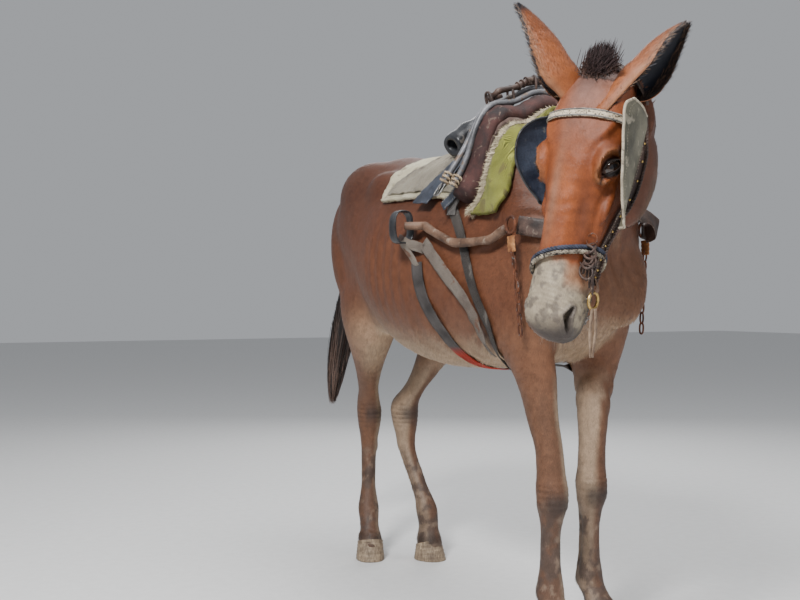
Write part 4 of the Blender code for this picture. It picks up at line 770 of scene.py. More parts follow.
def hoop(name, centre, across_way, up_way, radius, thickness, collection, steps=14, sides=6):
    """Round metal ring."""
    centre, across_way, up_way = Vector(centre), Vector(across_way), Vector(up_way)
    axis = across_way.cross(up_way).normalized()
    bm = bmesh.new()
    rows = []
    for i in range(steps):
        angle = 2 * math.pi * i / steps
        way = across_way * math.cos(angle) + up_way * math.sin(angle)
        rows.append([bm.verts.new(centre + way * (radius + thickness * math.cos(turn))
                                  + axis * thickness * math.sin(turn))
                     for turn in (2 * math.pi * j / sides for j in range(sides))])
    for i in range(steps):
        first, second = rows[i], rows[(i + 1) % steps]
        for j in range(sides):
            bm.faces.new((first[j], second[j], second[(j + 1) % sides], first[(j + 1) % sides]))
    item = mesh_object(name, bm, collection)
    face_out(item)
    return item


# Arrays of places

def places_of(mesh):
    """Vertex places of a mesh as an array of rows."""
    place = np.empty(len(mesh.vertices) * 3)
    mesh.vertices.foreach_get("co", place)
    return place.reshape(-1, 3)


def normals_of(mesh):
    """Vertex normals of a mesh as an array of rows."""
    normal = np.empty(len(mesh.vertices) * 3)
    mesh.vertex_normals.foreach_get("vector", normal)
    return normal.reshape(-1, 3)


def put_places(mesh, place):
    """Write vertex places back."""
    mesh.vertices.foreach_set("co", place.ravel())
    mesh.update()


def unit(rows):
    """Rows scaled to length one."""
    return rows / np.maximum(np.linalg.norm(rows, axis=1, keepdims=True), 1e-9)


def grain(place, scale, seed=0):
    """Smooth random values between 0 and 1 on a lattice of the given fineness."""
    p = place * scale + 37.3 + seed * 11.7
    cell = np.floor(p).astype(np.int64)
    part = p - cell
    part = part * part * (3 - 2 * part)
    total = np.zeros(len(p))
    for i in (0, 1):
        for j in (0, 1):
            for k in (0, 1):
                h = ((cell[:, 0] + i) * 374761393 + (cell[:, 1] + j) * 668265263
                     + (cell[:, 2] + k) * 1103515245 + seed * 12345) & 0xFFFFFFFF
                h = ((h ^ (h >> 13)) * 1274126177) & 0xFFFFFFFF
                value = ((h ^ (h >> 16)) & 0xFFFF) / 65535
                wx = part[:, 0] if i else 1 - part[:, 0]
                wy = part[:, 1] if j else 1 - part[:, 1]
                wz = part[:, 2] if k else 1 - part[:, 2]
                total += value * wx * wy * wz
    return total


def cloud(place, scale, seed=0):
    """Three layers of grain, between 0 and 1."""
    return (grain(place, scale, seed) * 4 + grain(place, scale * 2.1, seed + 1) * 2
            + grain(place, scale * 4.3, seed + 2)) / 7


def head_coords(place):
    """Along, out of and across the head, for rows of places."""
    along, out, left = (np.array(axis) for axis in head_axes())
    offset = place - np.array(POLL)
    return offset @ along * HEAD[-1][0] / HEAD_LENGTH, offset @ out, offset @ left


def line_distance(points, line):
    """Distance of rows of points from a polyline, and how far along it the nearest place is."""
    best = np.full(len(points), 1e9)
    where = np.zeros(len(points))
    for i, (a, b) in enumerate(zip(line[:-1], line[1:])):
        a, b = np.array(a), np.array(b)
        t = np.clip((points - a) @ (b - a) / ((b - a) @ (b - a)), 0, 1)
        far = np.linalg.norm(points - a - t[:, None] * (b - a), axis=1)
        nearer = far < best
        best[nearer] = far[nearer]
        where[nearer] = (i + t[nearer]) / (len(line) - 1)
    return best, where


def bell(value, width):
    """Bump of height one and the given width."""
    return np.exp(-(value / width) ** 2)


# Skin

def head_share(place):
    """1 on the head, 0 on the neck and body."""
    point, normal = head_plane(0)
    lies_ahead = (place - np.array(point)) @ np.array(normal)
    neck_point, neck_normal = neck_plane(0)
    past_neck = (place - np.array(neck_point)) @ np.array(neck_normal)
    return ramp(lies_ahead, -0.03, 0.02) * ramp(past_neck, 0.0, 0.05)


def refine(item, near, reach):
    """Split the faces round some places once."""
    bm = bmesh.new()
    bm.from_mesh(item.data)
    edges = [edge for edge in bm.edges
             if any(((edge.verts[0].co + edge.verts[1].co) / 2 - place).length < far
                    for place, far in zip(near, reach))]
    bmesh.ops.subdivide_edges(bm, edges=edges, cuts=1, use_grid_fill=True)
    bm.to_mesh(item.data)
    bm.free()


def eye_frame(sign):
    """Centre of an eye, the way it looks, towards its inner corner and up across the slit."""
    along = head_axes()[0]
    centre = head_point(EYE_PLACE[0], EYE_PLACE[1], sign * EYE_PLACE[2])
    gaze, length = eye_lines(sign)
    above = length.cross(gaze)
    if above.dot(along) > 0:
        above.negate()
    return centre, gaze, length, above


def shape_eye(place, sign):
    """Lids round the eyeball: the slit, its rims, the fold above and the wrinkles below."""
    centre, gaze, length, above = (np.array(item) for item in eye_frame(sign))
    offset = place - centre
    u, v, w = offset @ length, offset @ above, offset @ gaze
    radius = np.sqrt(u * u + v * v)
    near = (radius < 0.050) & (w > -0.012)
    u, v, w, radius = u[near], v[near], w[near], radius[near]
    v = v + 0.0040 * (np.clip(u, 0, 0.03) / 0.022) ** 2
    corner = np.clip(1 - (u / EYE_HALF) ** 2, 0, 1)
    upper = 0.0112 * corner ** 0.60
    lower = 0.0080 * corner ** 0.80
    edge = np.where(v > 0, v - upper, -v - lower)
    outside = np.abs(u) > EYE_HALF
    edge = np.where(outside, np.hypot(np.abs(u) - EYE_HALF, v), edge)
    lid_radius = EYE_RADIUS + 0.0024
    lid = np.sqrt(np.clip(lid_radius ** 2 - radius ** 2, 0, None))
    fold = 0.0022 * bell(edge - 0.0078, 0.0015) * (v > 0)
    rolls = 0.0009 * np.sin(np.clip(edge, 0, 0.02) * 1050) * bell(edge - 0.010, 0.006)
    rim = 0.0010 * bell(edge - 0.0016, 0.0012)
    shell = np.maximum(lid, w * 0.0 + 0.004) + rim - fold + rolls
    mix = ramp(edge, 0.0040, 0.0230)
    outer = w * mix + shell * (1 - mix)
    hole = np.sqrt(np.clip(EYE_RADIUS ** 2 - radius ** 2, 0, None)) - 0.0050
    sink = ramp(edge, -0.0012, 0.0004)
    new = np.where(edge < 0.0004, hole * (1 - sink) + outer * sink, outer)
    change = np.zeros(len(place))
    change[near] = new - w
    brow = np.zeros(len(place))
    brow[near] = 0.0030 * bell(v - 0.027, 0.008) * bell(u + 0.002, 0.024)
    return place + (change + brow)[:, None] * gaze


def shape_head(place, normal):
    """Nostrils, mouth, lips, veins, bony crest and fine folds of the face."""
    s, n, l = head_coords(place)
    flat = np.stack((s, n, np.abs(l)), axis=1)
    on_head = head_share(place)
    push = np.zeros(len(place))
    lines = (
        ((0.280, -0.058, 0.077), (0.350, -0.066, 0.066), (0.405, -0.070, 0.061), 0.0058, 0.008),
        ((0.250, -0.045, 0.076), (0.330, -0.030, 0.056), (0.400, -0.030, 0.050), 0.0024, 0.0034),
        ((0.330, -0.030, 0.056), (0.380, -0.062, 0.062), (0.470, -0.095, 0.056), 0.0022, 0.0030),
        ((0.270, -0.060, 0.080), (0.330, -0.110, 0.070), (0.350, -0.160, 0.058), 0.0022, 0.0032),
        ((0.095, -0.020, 0.088), (0.140, -0.006, 0.072), (0.180, 0.006, 0.050), 0.0036, 0.010),
        ((0.230, 0.020, 0.034), (0.320, 0.004, 0.034), (0.410, -0.008, 0.030), 0.0026, 0.009),
        ((0.400, -0.050, 0.056), (0.440, -0.036, 0.052), (0.500, -0.040, 0.054), 0.0026, 0.006),
    )
    for *line, height, width in lines:
        far, where = line_distance(flat, line)
        push += 1.35 * height * bell(far, width) * np.sin(np.clip(where, 0.02, 0.98) * math.pi) ** 0.5
    far, _ = line_distance(flat, ((0.130, -0.030, 0.070), (0.165, -0.018, 0.074)))
    push -= 0.0060 * bell(far, 0.014)
    far, where = line_distance(flat, MOUTH_CURVE)
    push -= 0.0060 * bell(far, 0.0017)
    push += 0.0020 * bell(far - 0.0065, 0.0045)
    push += 0.0005 * np.sin(where * 170) * bell(far - 0.006, 0.006)
    far, where = line_distance(flat, NOSTRIL_SLIT)
    width = 0.0022 + 0.0052 * np.sin(np.clip(where * 0.85 + 0.08, 0, 1) * math.pi) ** 0.8
    push -= 0.0190 * (1 - ramp(far, width - 0.0015, width + 0.0012))
    push += 0.0034 * bell(far - width - 0.0038, 0.0036)
    chin = bell(s - 0.56, 0.030) * ramp(-n, 0.128, 0.146)
    push += 0.0045 * chin
    skin_folds = np.sin((s * 1.0 + n * 0.6 + 0.01 * grain(place, 60, 3)) * 620)
    muzzle = ramp(s, 0.40, 0.47) * on_head
    push += 0.00045 * skin_folds * muzzle * bell(s - 0.50, 0.05)
    push += 0.0010 * (cloud(place, 120, 5) - 0.5) * muzzle
    face = on_head * ramp(-s, -0.42, -0.30)
    ripple = np.sin((s + 0.35 * np.abs(l)) * 190 + 3 * grain(place, 22, 8))
    push += 0.0009 * ripple * face * bell(s - 0.31, 0.055) * bell(n + 0.03, 0.05)
    push -= 0.0042 * bell(s - 0.335, 0.070) * bell(np.abs(l) - 0.050, 0.010) * ramp(n, -0.045, -0.020)
    push += 0.0022 * (cloud(place, 30, 14) - 0.5) * face
    return place + (push * on_head)[:, None] * normal


def shape_body(place, normal):
    """Tendons, joints, folds and ribs of the body."""
    x, y, z = place.T
    push = 0.0016 * (cloud(place, 22, 2) - 0.5) + 0.0007 * (cloud(place, 90, 4) - 0.5)
    flank = bell(z - 0.93, 0.13) * ramp(y, -0.20, -0.05) * ramp(-y, -0.24, -0.10)
    push += 0.0016 * np.sin(y * 130 + 1.2 * np.sin(z * 8)) * flank * ramp(np.abs(x), 0.14, 0.20)
    for name, (centre, toe_out, line) in LIMBS.items():
        fore = name.endswith("f")
        table = smooth_rows(line, np.linspace(line[0][0], 0.64, 40))
        heights = np.linspace(line[0][0], 0.64, 40)
        cx = np.interp(z, heights, table[:, 0])
        cy = np.interp(z, heights, table[:, 1])
        near = (z < 0.66) & (np.abs(x - cx) < 0.09) & (np.abs(y - cy) < 0.12)
        turn = math.radians(toe_out)
        ahead = (x - cx) * math.sin(turn) - (y - cy) * math.cos(turn)
        aside = (x - cx) * math.cos(turn) + (y - cy) * math.sin(turn)
        low, high = (0.13, 0.33) if fore else (0.13, 0.42)
        cannon = ramp(z, low, low + 0.05) * ramp(-z, -high, -high + 0.05)
        groove = bell(np.arctan2(np.abs(aside), -ahead) - 0.95, 0.20)
        push -= 0.0030 * groove * cannon * near
        push += 0.0012 * bell(np.arctan2(np.abs(aside), -ahead) - 0.45, 0.25) * cannon * near
        joint = 0.375 if fore else 0.47
        ring_folds = np.sin(z * 420 + 2 * grain(place, 40, 6))
        push += 0.0008 * ring_folds * bell(z - joint, 0.035) * (ahead > 0) * near
        push += 0.0010 * np.sin(z * 520) * bell(z - 0.105, 0.022) * (ahead < 0) * near
        inner = -np.sign(centre[0]) * aside
        nut = 0.45 if fore else 0.36
        push += 0.0045 * bell(z - nut, 0.017) * bell(ahead + 0.005, 0.012) * (inner > 0.01) * near
    fold = np.sin((y * 0.8 + z) * 150 + 2 * grain(place, 16, 9))
    push += 0.0022 * fold * bell(y + 0.36, 0.09) * bell(z - 0.735, 0.045) * ramp(np.abs(x), 0.05, 0.10)
    throat_at, throat_to = head_plane(0)
    behind = (place - np.array(throat_at)) @ np.array(throat_to)
    creases = np.sin(behind * 210 + 2.5 * grain(place, 14, 12))
    push += 0.0022 * creases * bell(behind + 0.045, 0.035) * ramp(-z, -1.32, -1.22)
    return place + (push * (1 - head_share(place)))[:, None] * normal


def ear_axes(sign):
    """Base of an ear, the way it grows, the way it opens and the way across."""
    key = "l" if sign > 0 else "r"
    axes = Matrix(head_axes()).transposed()
    grow = (axes @ Vector(EAR_GROWTH[key])).normalized()
    opening = axes @ Vector(EAR_OPENING[key])
    opening = (opening - grow * opening.dot(grow)).normalized()
    return head_point(EAR_BASE[0], EAR_BASE[1], EAR_BASE[2] * sign), grow, opening, grow.cross(opening)


def ear_root(sign, work):
    """Swelling of the head that fills the foot of an ear."""
    base, grow, opening, wide = ear_axes(sign)
    breadth = EAR_BREADTH["l" if sign > 0 else "r"]
    return blob("ear_root", base - grow * 0.012, (0.024 * breadth, 0.026 * breadth, 0.042),
                Matrix((opening, wide, grow)).transposed(), work)


def build_skin(work):
    """One seamless skin for head, neck, trunk and legs, with its fine forms."""
    forms = [trunk_form(work), neck_form(work)] + head_forms(work) + body_forms(work)
    forms += [limb_form(name, work) for name in LIMBS]
    forms += [ear_root(sign, work) for sign in (1, -1)]
    skin = fuse("skin", forms, SKIN_VOXEL, work)
    discard(forms)
    relax(skin, 110, 0.35, lambda place: trunk_weight(place) * (1 - head_share(place)))
    relax(skin, 36, 0.35, lambda place: 0.8 * trunk_weight(place) * head_share(place))
    relax(skin, 8, 1.02, lambda place: np.ones(len(place)))
    face = head_point(0.30, -0.08, 0)
    refine(skin, [face], [0.34])
    eyes = [eye_frame(sign)[0] for sign in (1, -1)]
    slits = [head_point(0.548, -0.055, sign * 0.055) for sign in (1, -1)]
    mouths = [head_point(0.55, -0.11, sign * 0.045) for sign in (1, -1)]
    near, reach = eyes + slits + mouths, [0.048] * 2 + [0.045] * 2 + [0.060] * 2
    refine(skin, near, reach)
    refine(skin, eyes + slits, [0.034, 0.034, 0.030, 0.030])
    mesh = skin.data
    place = places_of(mesh) - COAT_DEPTH * normals_of(mesh)
    put_places(mesh, place)
    place = shape_head(place, normals_of(mesh))
    place = shape_body(place, normals_of(mesh))
    for sign in (1, -1):
        place = shape_eye(place, sign)
    put_places(mesh, place)
    mesh.polygons.foreach_set("use_smooth", np.ones(len(mesh.polygons), bool))
    return skin


# Markings, with some painted shade and highlight

def mix_in(colour, other, share):
    """Rows of colour moved towards another colour."""
    return colour + (np.array(other) - colour) * np.clip(share, 0, 1)[:, None]


def coat_colour(place, normal):
    """Colour of skin and hair from the place on the animal, with painted shade on the upper barrel, the back
    of the head and beside the facial crest, and a painted highlight along the nose.
    """
    x, y, z = place.T
    s, n, l = head_coords(place)
    head = head_share(place)
    wide = cloud(place, 7, 20)
    fine = cloud(place, 45, 23)
    colour = np.tile(np.array((0.088, 0.027, 0.012)), (len(place), 1))
    # Darker towards the top of the barrel: painted shade on the upper flank, mixed with random tone
    colour = mix_in(colour, (0.060, 0.022, 0.012), ramp(z, 0.98, 1.22) * 0.62 + 0.6 * (wide - 0.5))
    colour = mix_in(colour, (0.165, 0.062, 0.028), bell(z - 0.92, 0.14) * ramp(np.abs(x), 0.10, 0.20) * 0.5)
    colour = mix_in(colour, (0.190, 0.085, 0.042), ramp(-z, -0.86, -0.74) * 0.6)
    under = ramp(-normal[:, 2], 0.48, 0.88) * ramp(z, 0.55, 0.64) * (1 - head)
    colour = mix_in(colour, (0.420, 0.300, 0.195), under * 0.9)
    groin = bell(y - 0.30, 0.16) * bell(z - 0.72, 0.09)
    colour = mix_in(colour, (0.420, 0.300, 0.195), groin * 0.55)
    legs = ramp(-z, -0.70, -0.58)
    inward = ramp(-normal[:, 0] * np.sign(x), 0.0, 0.6)
    behind = ramp(normal[:, 1], 0.1, 0.8)
    colour = mix_in(colour, (0.120, 0.058, 0.032), legs * 0.75)
    colour = mix_in(colour, (0.330, 0.240, 0.165), legs * inward * 0.85)
    colour = mix_in(colour, (0.200, 0.130, 0.085), legs * behind * 0.45)
    mottle = ramp(cloud(place, 38, 31), 0.46, 0.60)
    shank = ramp(-z, -0.40, -0.30)
    colour = mix_in(colour, (0.070, 0.046, 0.036), shank * (0.40 + 0.50 * mottle))
    colour = mix_in(colour, (0.230, 0.165, 0.120), shank * ramp(cloud(place, 60, 35), 0.56, 0.70) * 0.6)
    knee = np.where(y < 0, bell(z - 0.355, 0.030), bell(z - 0.475, 0.035))
    colour = mix_in(colour, (0.022, 0.017, 0.016), knee * ramp(-normal[:, 1], 0.2, 0.8) * 0.75)
    colour = mix_in(colour, (0.036, 0.026, 0.022), bell(z - 0.075, 0.018) * 0.6)
    chest = bell(y + 0.60, 0.10) * bell(z - 0.86, 0.16) * ramp(-normal[:, 1], 0.0, 0.5)
    colour = mix_in(colour, (0.170, 0.082, 0.040), chest * 0.6 * (1 - head))
    face = np.tile(np.array((0.270, 0.068, 0.015)), (len(place), 1))
    face = mix_in(face, (0.150, 0.034, 0.008), cloud(place, 20, 25) * 1.3 - 0.25)
    # Darker away from the forehead, on the cheeks, jaw and throat: painted shade
    face = mix_in(face, (0.060, 0.026, 0.016), ramp(-n, 0.055, 0.135) * 0.80)
    face = mix_in(face, (0.190, 0.100, 0.078), bell(l, 0.046) * ramp(-s, -0.24, -0.05) * (0.55 + 0.7 * wide))
    face = mix_in(face, (0.070, 0.040, 0.034), bell(l, 0.055) * bell(s + 0.005, 0.055) * 0.90)
    # Pale line along the nose ridge, a little to the right: painted highlight
    face = mix_in(face, (0.250, 0.130, 0.085), bell(l + 0.012, 0.014) * bell(s - 0.30, 0.11) * 0.7)
    # Dark bands beside the nose and below the facial crest: painted shade
    face = mix_in(face, (0.085, 0.024, 0.010), bell(np.abs(l) - 0.047, 0.009) * bell(s - 0.33, 0.06) * 0.75)
    face = mix_in(face, (0.110, 0.030, 0.011), bell(np.abs(l) - 0.072, 0.010) * bell(s - 0.30, 0.08) * 0.60)
    face = mix_in(face, (0.090, 0.026, 0.010), bell(n + 0.010, 0.016) * bell(s - 0.165, 0.025) * 0.45)
    jaw = ramp(-n, 0.160, 0.215) * ramp(s, 0.10, 0.20)
    face = mix_in(face, (0.190, 0.120, 0.078), jaw * 0.6)
    for sign in (1, -1):
        middle, gaze, length, above = (np.array(item) for item in eye_frame(sign))
        u, v = (place - middle) @ length, (place - middle) @ above
        far = np.hypot(u / 1.25, v + 0.004 * (np.clip(u, 0, 0.03) / 0.022) ** 2)
        near = ((place - middle) @ gaze > 0) * (np.linalg.norm(place - middle, axis=1) < 0.08)
        face = mix_in(face, (0.300, 0.150, 0.065), near * bell(far - 0.0290, 0.0060) * 0.40)
        face = mix_in(face, (0.008, 0.006, 0.006), near * (1 - ramp(far, 0.0160, 0.0235)) * 0.98)
        tear = bell(v + 0.010 + 0.5 * (u - 0.025), 0.0035) * ramp(u, 0.018, 0.026) * ramp(-u, -0.046, -0.034)
        face = mix_in(face, (0.030, 0.016, 0.012), near * tear * 0.9)
    edge = s + 0.030 * (fine - 0.5) + 0.012 * (wide - 0.5) - 0.22 * np.clip(l - 0.025, 0, 1)
    muzzle = ramp(edge, 0.415, 0.455)
    face = mix_in(face, (0.315, 0.262, 0.190), muzzle)
    face = mix_in(face, (0.125, 0.102, 0.084), muzzle * ramp(cloud(place, 75, 41), 0.46, 0.68) * 0.80)
    low_lip = ramp(s + 0.030 * (fine - 0.5), 0.550, 0.590)
    face = mix_in(face, (0.050, 0.038, 0.034), low_lip * 0.86)
    face = mix_in(face, (0.300, 0.110, 0.040), muzzle * ramp(l, 0.030, 0.045) * ramp(-s, -0.50, -0.46) * 0.7)
    flat = np.stack((s, n, np.abs(l)), axis=1)
    far, _ = line_distance(flat, NOSTRIL_SLIT)
    face = mix_in(face, (0.075, 0.062, 0.055), (1 - ramp(far, 0.004, 0.021)) * muzzle * 0.95)
    tip = ramp(s + 0.03 * (fine - 0.5), 0.548, 0.595) * ramp(-n, 0.022, 0.075)
    face = mix_in(face, (0.045, 0.034, 0.030), tip * 0.88)
    far, _ = line_distance(flat, MOUTH_CURVE)
    face = mix_in(face, (0.060, 0.050, 0.045), (1 - ramp(far, 0.004, 0.016)) * 0.95)
    chin = ramp(-n, 0.128, 0.140) * ramp(s, 0.49, 0.52)
    face = mix_in(face, (0.120, 0.100, 0.085), chin * 0.85)
    colour = colour * (1 - head[:, None]) + face * head[:, None]
    return colour * (0.80 + 0.40 * fine)[:, None]


def lie(place, normal):
    """Direction in which the hair lies."""
    along, out, left = (np.array(axis) for axis in head_axes())
    x, y, z = place.T
    s, _, l = head_coords(place)
    down = 0.35 + 1.2 * ramp(-z, -1.1, -0.75)
    way = np.stack((0 * x, 1.0 - 0.8 * ramp(-z, -0.75, -0.55), -down), axis=1)
    front = ramp(-y, 0.45, 0.60)[:, None]
    way = way * (1 - front) + front * np.array((0.25, 0.65, -0.75))
    head = head_share(place)[:, None]
    turn = (ramp(s, 0.13, 0.20) * 2 - 1)[:, None]
    facing = turn * along + 0.5 * np.sign(l)[:, None] * left * (1 - np.abs(turn) * 0.6) - 0.15 * out
    way = way * (1 - head) + facing * head
    swirl = (grain(place, 9, 51)[:, None] - 0.5) * np.array((0.3, 0.5, 0.5))
    way = way + swirl
    way = way - normal * np.sum(way * normal, axis=1, keepdims=True)
    return unit(way)


def patch(place, normal):
    """Place of each row on an unwrap of the skin by side, quarter and facing."""
    axis = np.argmax(np.abs(normal), axis=1)
    facing = axis * 2 + (normal[np.arange(len(axis)), axis] > 0)
    row = (place[:, 0] > 0) * 2 + (place[:, 1] > 0)
    others = np.array(((1, 2), (0, 2), (0, 1)))[axis]
    low = np.array((-0.45, -1.25, -0.02))
    size = np.array((0.90, 2.10, 1.60))
    unit_place = np.clip((place - low) / size, 0, 1)
    u = np.take_along_axis(unit_place, others[:, :1], axis=1)[:, 0]
    v = np.take_along_axis(unit_place, others[:, 1:], axis=1)[:, 0]
    return np.stack(((facing + 0.02 + 0.96 * u) / 6, (row + 0.02 + 0.96 * v) / 4), axis=1)


# Hair

def blades(name, root, normal, way, length, width, lift, colour, collection, curl=0.0, tiers=2):
    """Flat tapered tufts of hair as one mesh, with colours and the unwrap of their roots."""
    count = len(root)
    side = unit(np.cross(normal, way))
    rows = []
    for k in range(tiers):
        t = k / tiers
        high = lift * (t - 0.45 * t * t)
        centre = (root + way * (length * t)[:, None] + normal * (length * high)[:, None]
                  + side * (curl * t * t * length)[:, None])
        half = (width * 0.5 * (1 - 0.35 * t))[:, None]
        rows += [centre - side * half, centre + side * half]
    rows.append(root + way * length[:, None] + normal * (length * lift * 0.55)[:, None]
                + side * (curl * length)[:, None])
    each = tiers * 2 + 1
    vertices = np.stack(rows, axis=1).reshape(-1, 3)
    faces = []
    for k in range(tiers - 1):
        a = 2 * k
        faces += [(a, a + 1, a + 3), (a, a + 3, a + 2)]
    faces.append((each - 3, each - 2, each - 1))
    faces = np.array(faces)
    all_faces = (np.arange(count)[:, None, None] * each + faces[None]).reshape(-1, 3)
    return paint_mesh(name, vertices, all_faces, np.repeat(colour, each, axis=0),
                      np.repeat(patch(root, normal), each, axis=0), collection,
                      np.tile(np.array([(k % 2 - 0.5) for k in range(each - 1)] + [0.0]), count))


def paint_mesh(name, vertices, faces, colour, bake, collection, across=None):
    """Mesh object from arrays, with a Coat colour and an OFBake map round each root."""
    mesh = bpy.data.meshes.new(name)
    mesh.vertices.add(len(vertices))
    mesh.vertices.foreach_set("co", vertices.ravel())
    mesh.loops.add(faces.size)
    mesh.loops.foreach_set("vertex_index", faces.ravel())
    mesh.polygons.add(len(faces))
    mesh.polygons.foreach_set("loop_start", np.arange(len(faces)) * 3)
    mesh.update(calc_edges=True)
    shade = mesh.attributes.new("Coat", "FLOAT_COLOR", "POINT")
    rgba = np.ones((len(vertices), 4))
    rgba[:, :3] = colour
    shade.data.foreach_set("color", rgba.ravel())
    corner = faces.ravel()
    spread = np.zeros((len(vertices), 2))
    if across is not None:
        spread[:, 0] = across * 0.003
        spread[:, 1] = (np.arange(len(vertices)) % 3 - 1) * 0.0012
    uv = mesh.uv_layers.new(name="OFBake")
    uv.data.foreach_set("uv", (bake + spread)[corner].ravel())
    item = bpy.data.objects.new(name, mesh)
    collection.objects.link(item)
    return item


class Sampler:
    """Random roots on a mesh, weighted by area and a density."""

    def __init__(self, item, seed):
        mesh = item.data
        mesh.calc_loop_triangles()
        corners = np.empty(len(mesh.loop_triangles) * 3, int)
        mesh.loop_triangles.foreach_get("vertices", corners)
        self.corners = corners.reshape(-1, 3)
        self.place = places_of(mesh)
        self.normal = normals_of(mesh)
        a, b, c = (self.place[self.corners[:, i]] for i in range(3))
        self.area = np.linalg.norm(np.cross(b - a, c - a), axis=1) / 2
        self.middle = (a + b + c) / 3
        self.random = np.random.default_rng(seed)

    def roots(self, count, density=None):
        """Places and normals of random roots."""
        weight = self.area * (1 if density is None else density(self.middle))
        weight = weight / weight.sum()
        pick = self.random.choice(len(weight), count, p=weight)
        u, v = self.random.random((2, count))
        over = u + v > 1
        u[over], v[over] = 1 - u[over], 1 - v[over]
        w = 1 - u - v
        share = np.stack((w, u, v), axis=1)[:, :, None]
        tri = self.corners[pick]
        return ((self.place[tri] * share).sum(axis=1),
                unit((self.normal[tri] * share).sum(axis=1)))


# Looks

def socket(node, name, value):
    """Set one input of a shader node if it has it."""
    if name in node.inputs:
        node.inputs[name].default_value = value


class Look:
    """Small helper that builds one node material."""

    def __init__(self, name, rough=0.6, specular=0.5, metallic=0.0):
        self.material = bpy.data.materials.new(name)
        self.material.use_nodes = True
        self.nodes = self.material.node_tree.nodes
        self.links = self.material.node_tree.links
        self.shader = self.nodes["Principled BSDF"]
        socket(self.shader, "Roughness", rough)
        socket(self.shader, "Specular IOR Level", specular)
        socket(self.shader, "Metallic", metallic)
        self.place = None

    def coords(self, scale=(1, 1, 1), turn=(0, 0, 0)):
        """Object coordinates, stretched and turned."""
        source = self.nodes.new("ShaderNodeTexCoord")
        mapping = self.nodes.new("ShaderNodeMapping")
        mapping.inputs["Scale"].default_value = scale
        mapping.inputs["Rotation"].default_value = turn
        self.links.new(source.outputs["Object"], mapping.inputs["Vector"])
        return mapping.outputs["Vector"]

    def noise(self, vector, scale, detail=4, distortion=0.0):
        """Noise value along the given coordinates."""
        node = self.nodes.new("ShaderNodeTexNoise")
        socket(node, "Scale", scale)
        socket(node, "Detail", detail)
        socket(node, "Distortion", distortion)
        self.links.new(vector, node.inputs["Vector"])
        return node.outputs["Fac"]

    def wave(self, vector, scale, axis="X", distortion=0.0):
        """Bands along one axis."""
        node = self.nodes.new("ShaderNodeTexWave")
        node.bands_direction = axis
        socket(node, "Scale", scale)
        socket(node, "Distortion", distortion)
        self.links.new(vector, node.inputs["Vector"])
        return node.outputs["Fac"]

    def ramp(self, value, stops):
        """Colours picked along a value."""
        node = self.nodes.new("ShaderNodeValToRGB")
        elements = node.color_ramp.elements
        while len(elements) < len(stops):
            elements.new(0.5)
        for element, (at, colour) in zip(elements, stops):
            element.position = at
            element.color = (*colour, 1)
        self.links.new(value, node.inputs["Fac"])
        return node.outputs["Color"]

    def mix(self, first, second, share, blend="MIX"):
        """Blend of two colours by a value or a fixed share."""
        node = self.nodes.new("ShaderNodeMix")
        node.data_type = "RGBA"
        node.blend_type = blend
        for socket_index, item in ((0, share), (6, first), (7, second)):
            if isinstance(item, bpy.types.NodeSocket):
                self.links.new(item, node.inputs[socket_index])
            else:
                value = item if socket_index == 0 else (*item, 1)
                node.inputs[socket_index].default_value = value
        return node.outputs[2]

    def attribute(self, name):
        """Colour stored on the mesh."""
        node = self.nodes.new("ShaderNodeAttribute")
        node.attribute_name = name
        return node.outputs["Color"]

    def bump(self, value, height, strength=1.0, after=None):
        """Fine relief of the given height in metres."""
        node = self.nodes.new("ShaderNodeBump")
        socket(node, "Strength", strength)
        socket(node, "Distance", height)
        self.links.new(value, node.inputs["Height"])
        if after is not None:
            self.links.new(after, node.inputs["Normal"])
        self.links.new(node.outputs["Normal"], self.shader.inputs["Normal"])
        return node.outputs["Normal"]

    def colour(self, value):
        """Colour of the surface."""
        self.links.new(value, self.shader.inputs["Base Color"])

    def rough(self, value, low, high):
        """Gloss that varies with a value."""
        node = self.nodes.new("ShaderNodeMapRange")
        node.inputs["To Min"].default_value = low
        node.inputs["To Max"].default_value = high
        self.links.new(value, node.inputs["Value"])
        self.links.new(node.outputs["Result"], self.shader.inputs["Roughness"])


def coat_look(name, rough, sheen=0.0, streak=0.22):
    """Short hair or skin: the stored colour broken up by fine streaks."""
    look = Look(name, rough, 0.35)
    vector = look.coords((1, 1, 0.22))
    fine = look.noise(vector, 900, 3)
    broad = look.noise(look.coords(), 60, 5)
    streaks = look.ramp(fine, ((0.25, (1 - streak,) * 3), (0.75, (1 + streak,) * 3)))
    tone = look.mix(look.attribute("Coat"), streaks, 1.0, "MULTIPLY")
    dust = look.ramp(broad, ((0.3, (0.86, 0.84, 0.82)), (0.7, (1.12, 1.12, 1.10))))
    look.colour(look.mix(tone, dust, 1.0, "MULTIPLY"))
    first = look.bump(broad, 0.0012, 0.6)
    look.bump(fine, 0.0006, 0.8, first)
    if sheen:
        socket(look.shader, "Sheen Weight", sheen)
        socket(look.shader, "Sheen Roughness", 0.4)
    return look.material


def worn_look(name, dark, light, rough=0.6, grain_scale=220, crack=0.0008, metallic=0.0,
              patches=(), patch_scale=14, stretch=(1, 1, 1)):
    """Leather, webbing or metal: two tones, worn patches and a fine relief."""
    look = Look(name, rough, 0.4, metallic)
    vector = look.coords(stretch)
    broad = look.noise(vector, patch_scale, 6, 0.4)
    fine = look.noise(vector, grain_scale, 4)
    tone = look.ramp(broad, ((0.32, dark), (0.68, light)))
    spots = look.noise(look.coords(), patch_scale * 2.7, 8, 0.8)
    for at, colour in patches:
        share = look.ramp(spots, ((at, (0, 0, 0)), (min(at + 0.07, 1), (1, 1, 1))))
        tone = look.mix(tone, colour, share)
    specks = look.ramp(fine, ((0.3, (0.78,) * 3), (0.7, (1.18,) * 3)))
    look.colour(look.mix(tone, specks, 1.0, "MULTIPLY"))
    first = look.bump(broad, crack * 1.5, 0.5)
    look.bump(fine, crack, 0.9, first)
    look.rough(broad, max(rough - 0.16, 0.05), min(rough + 0.16, 1))
    return look.material


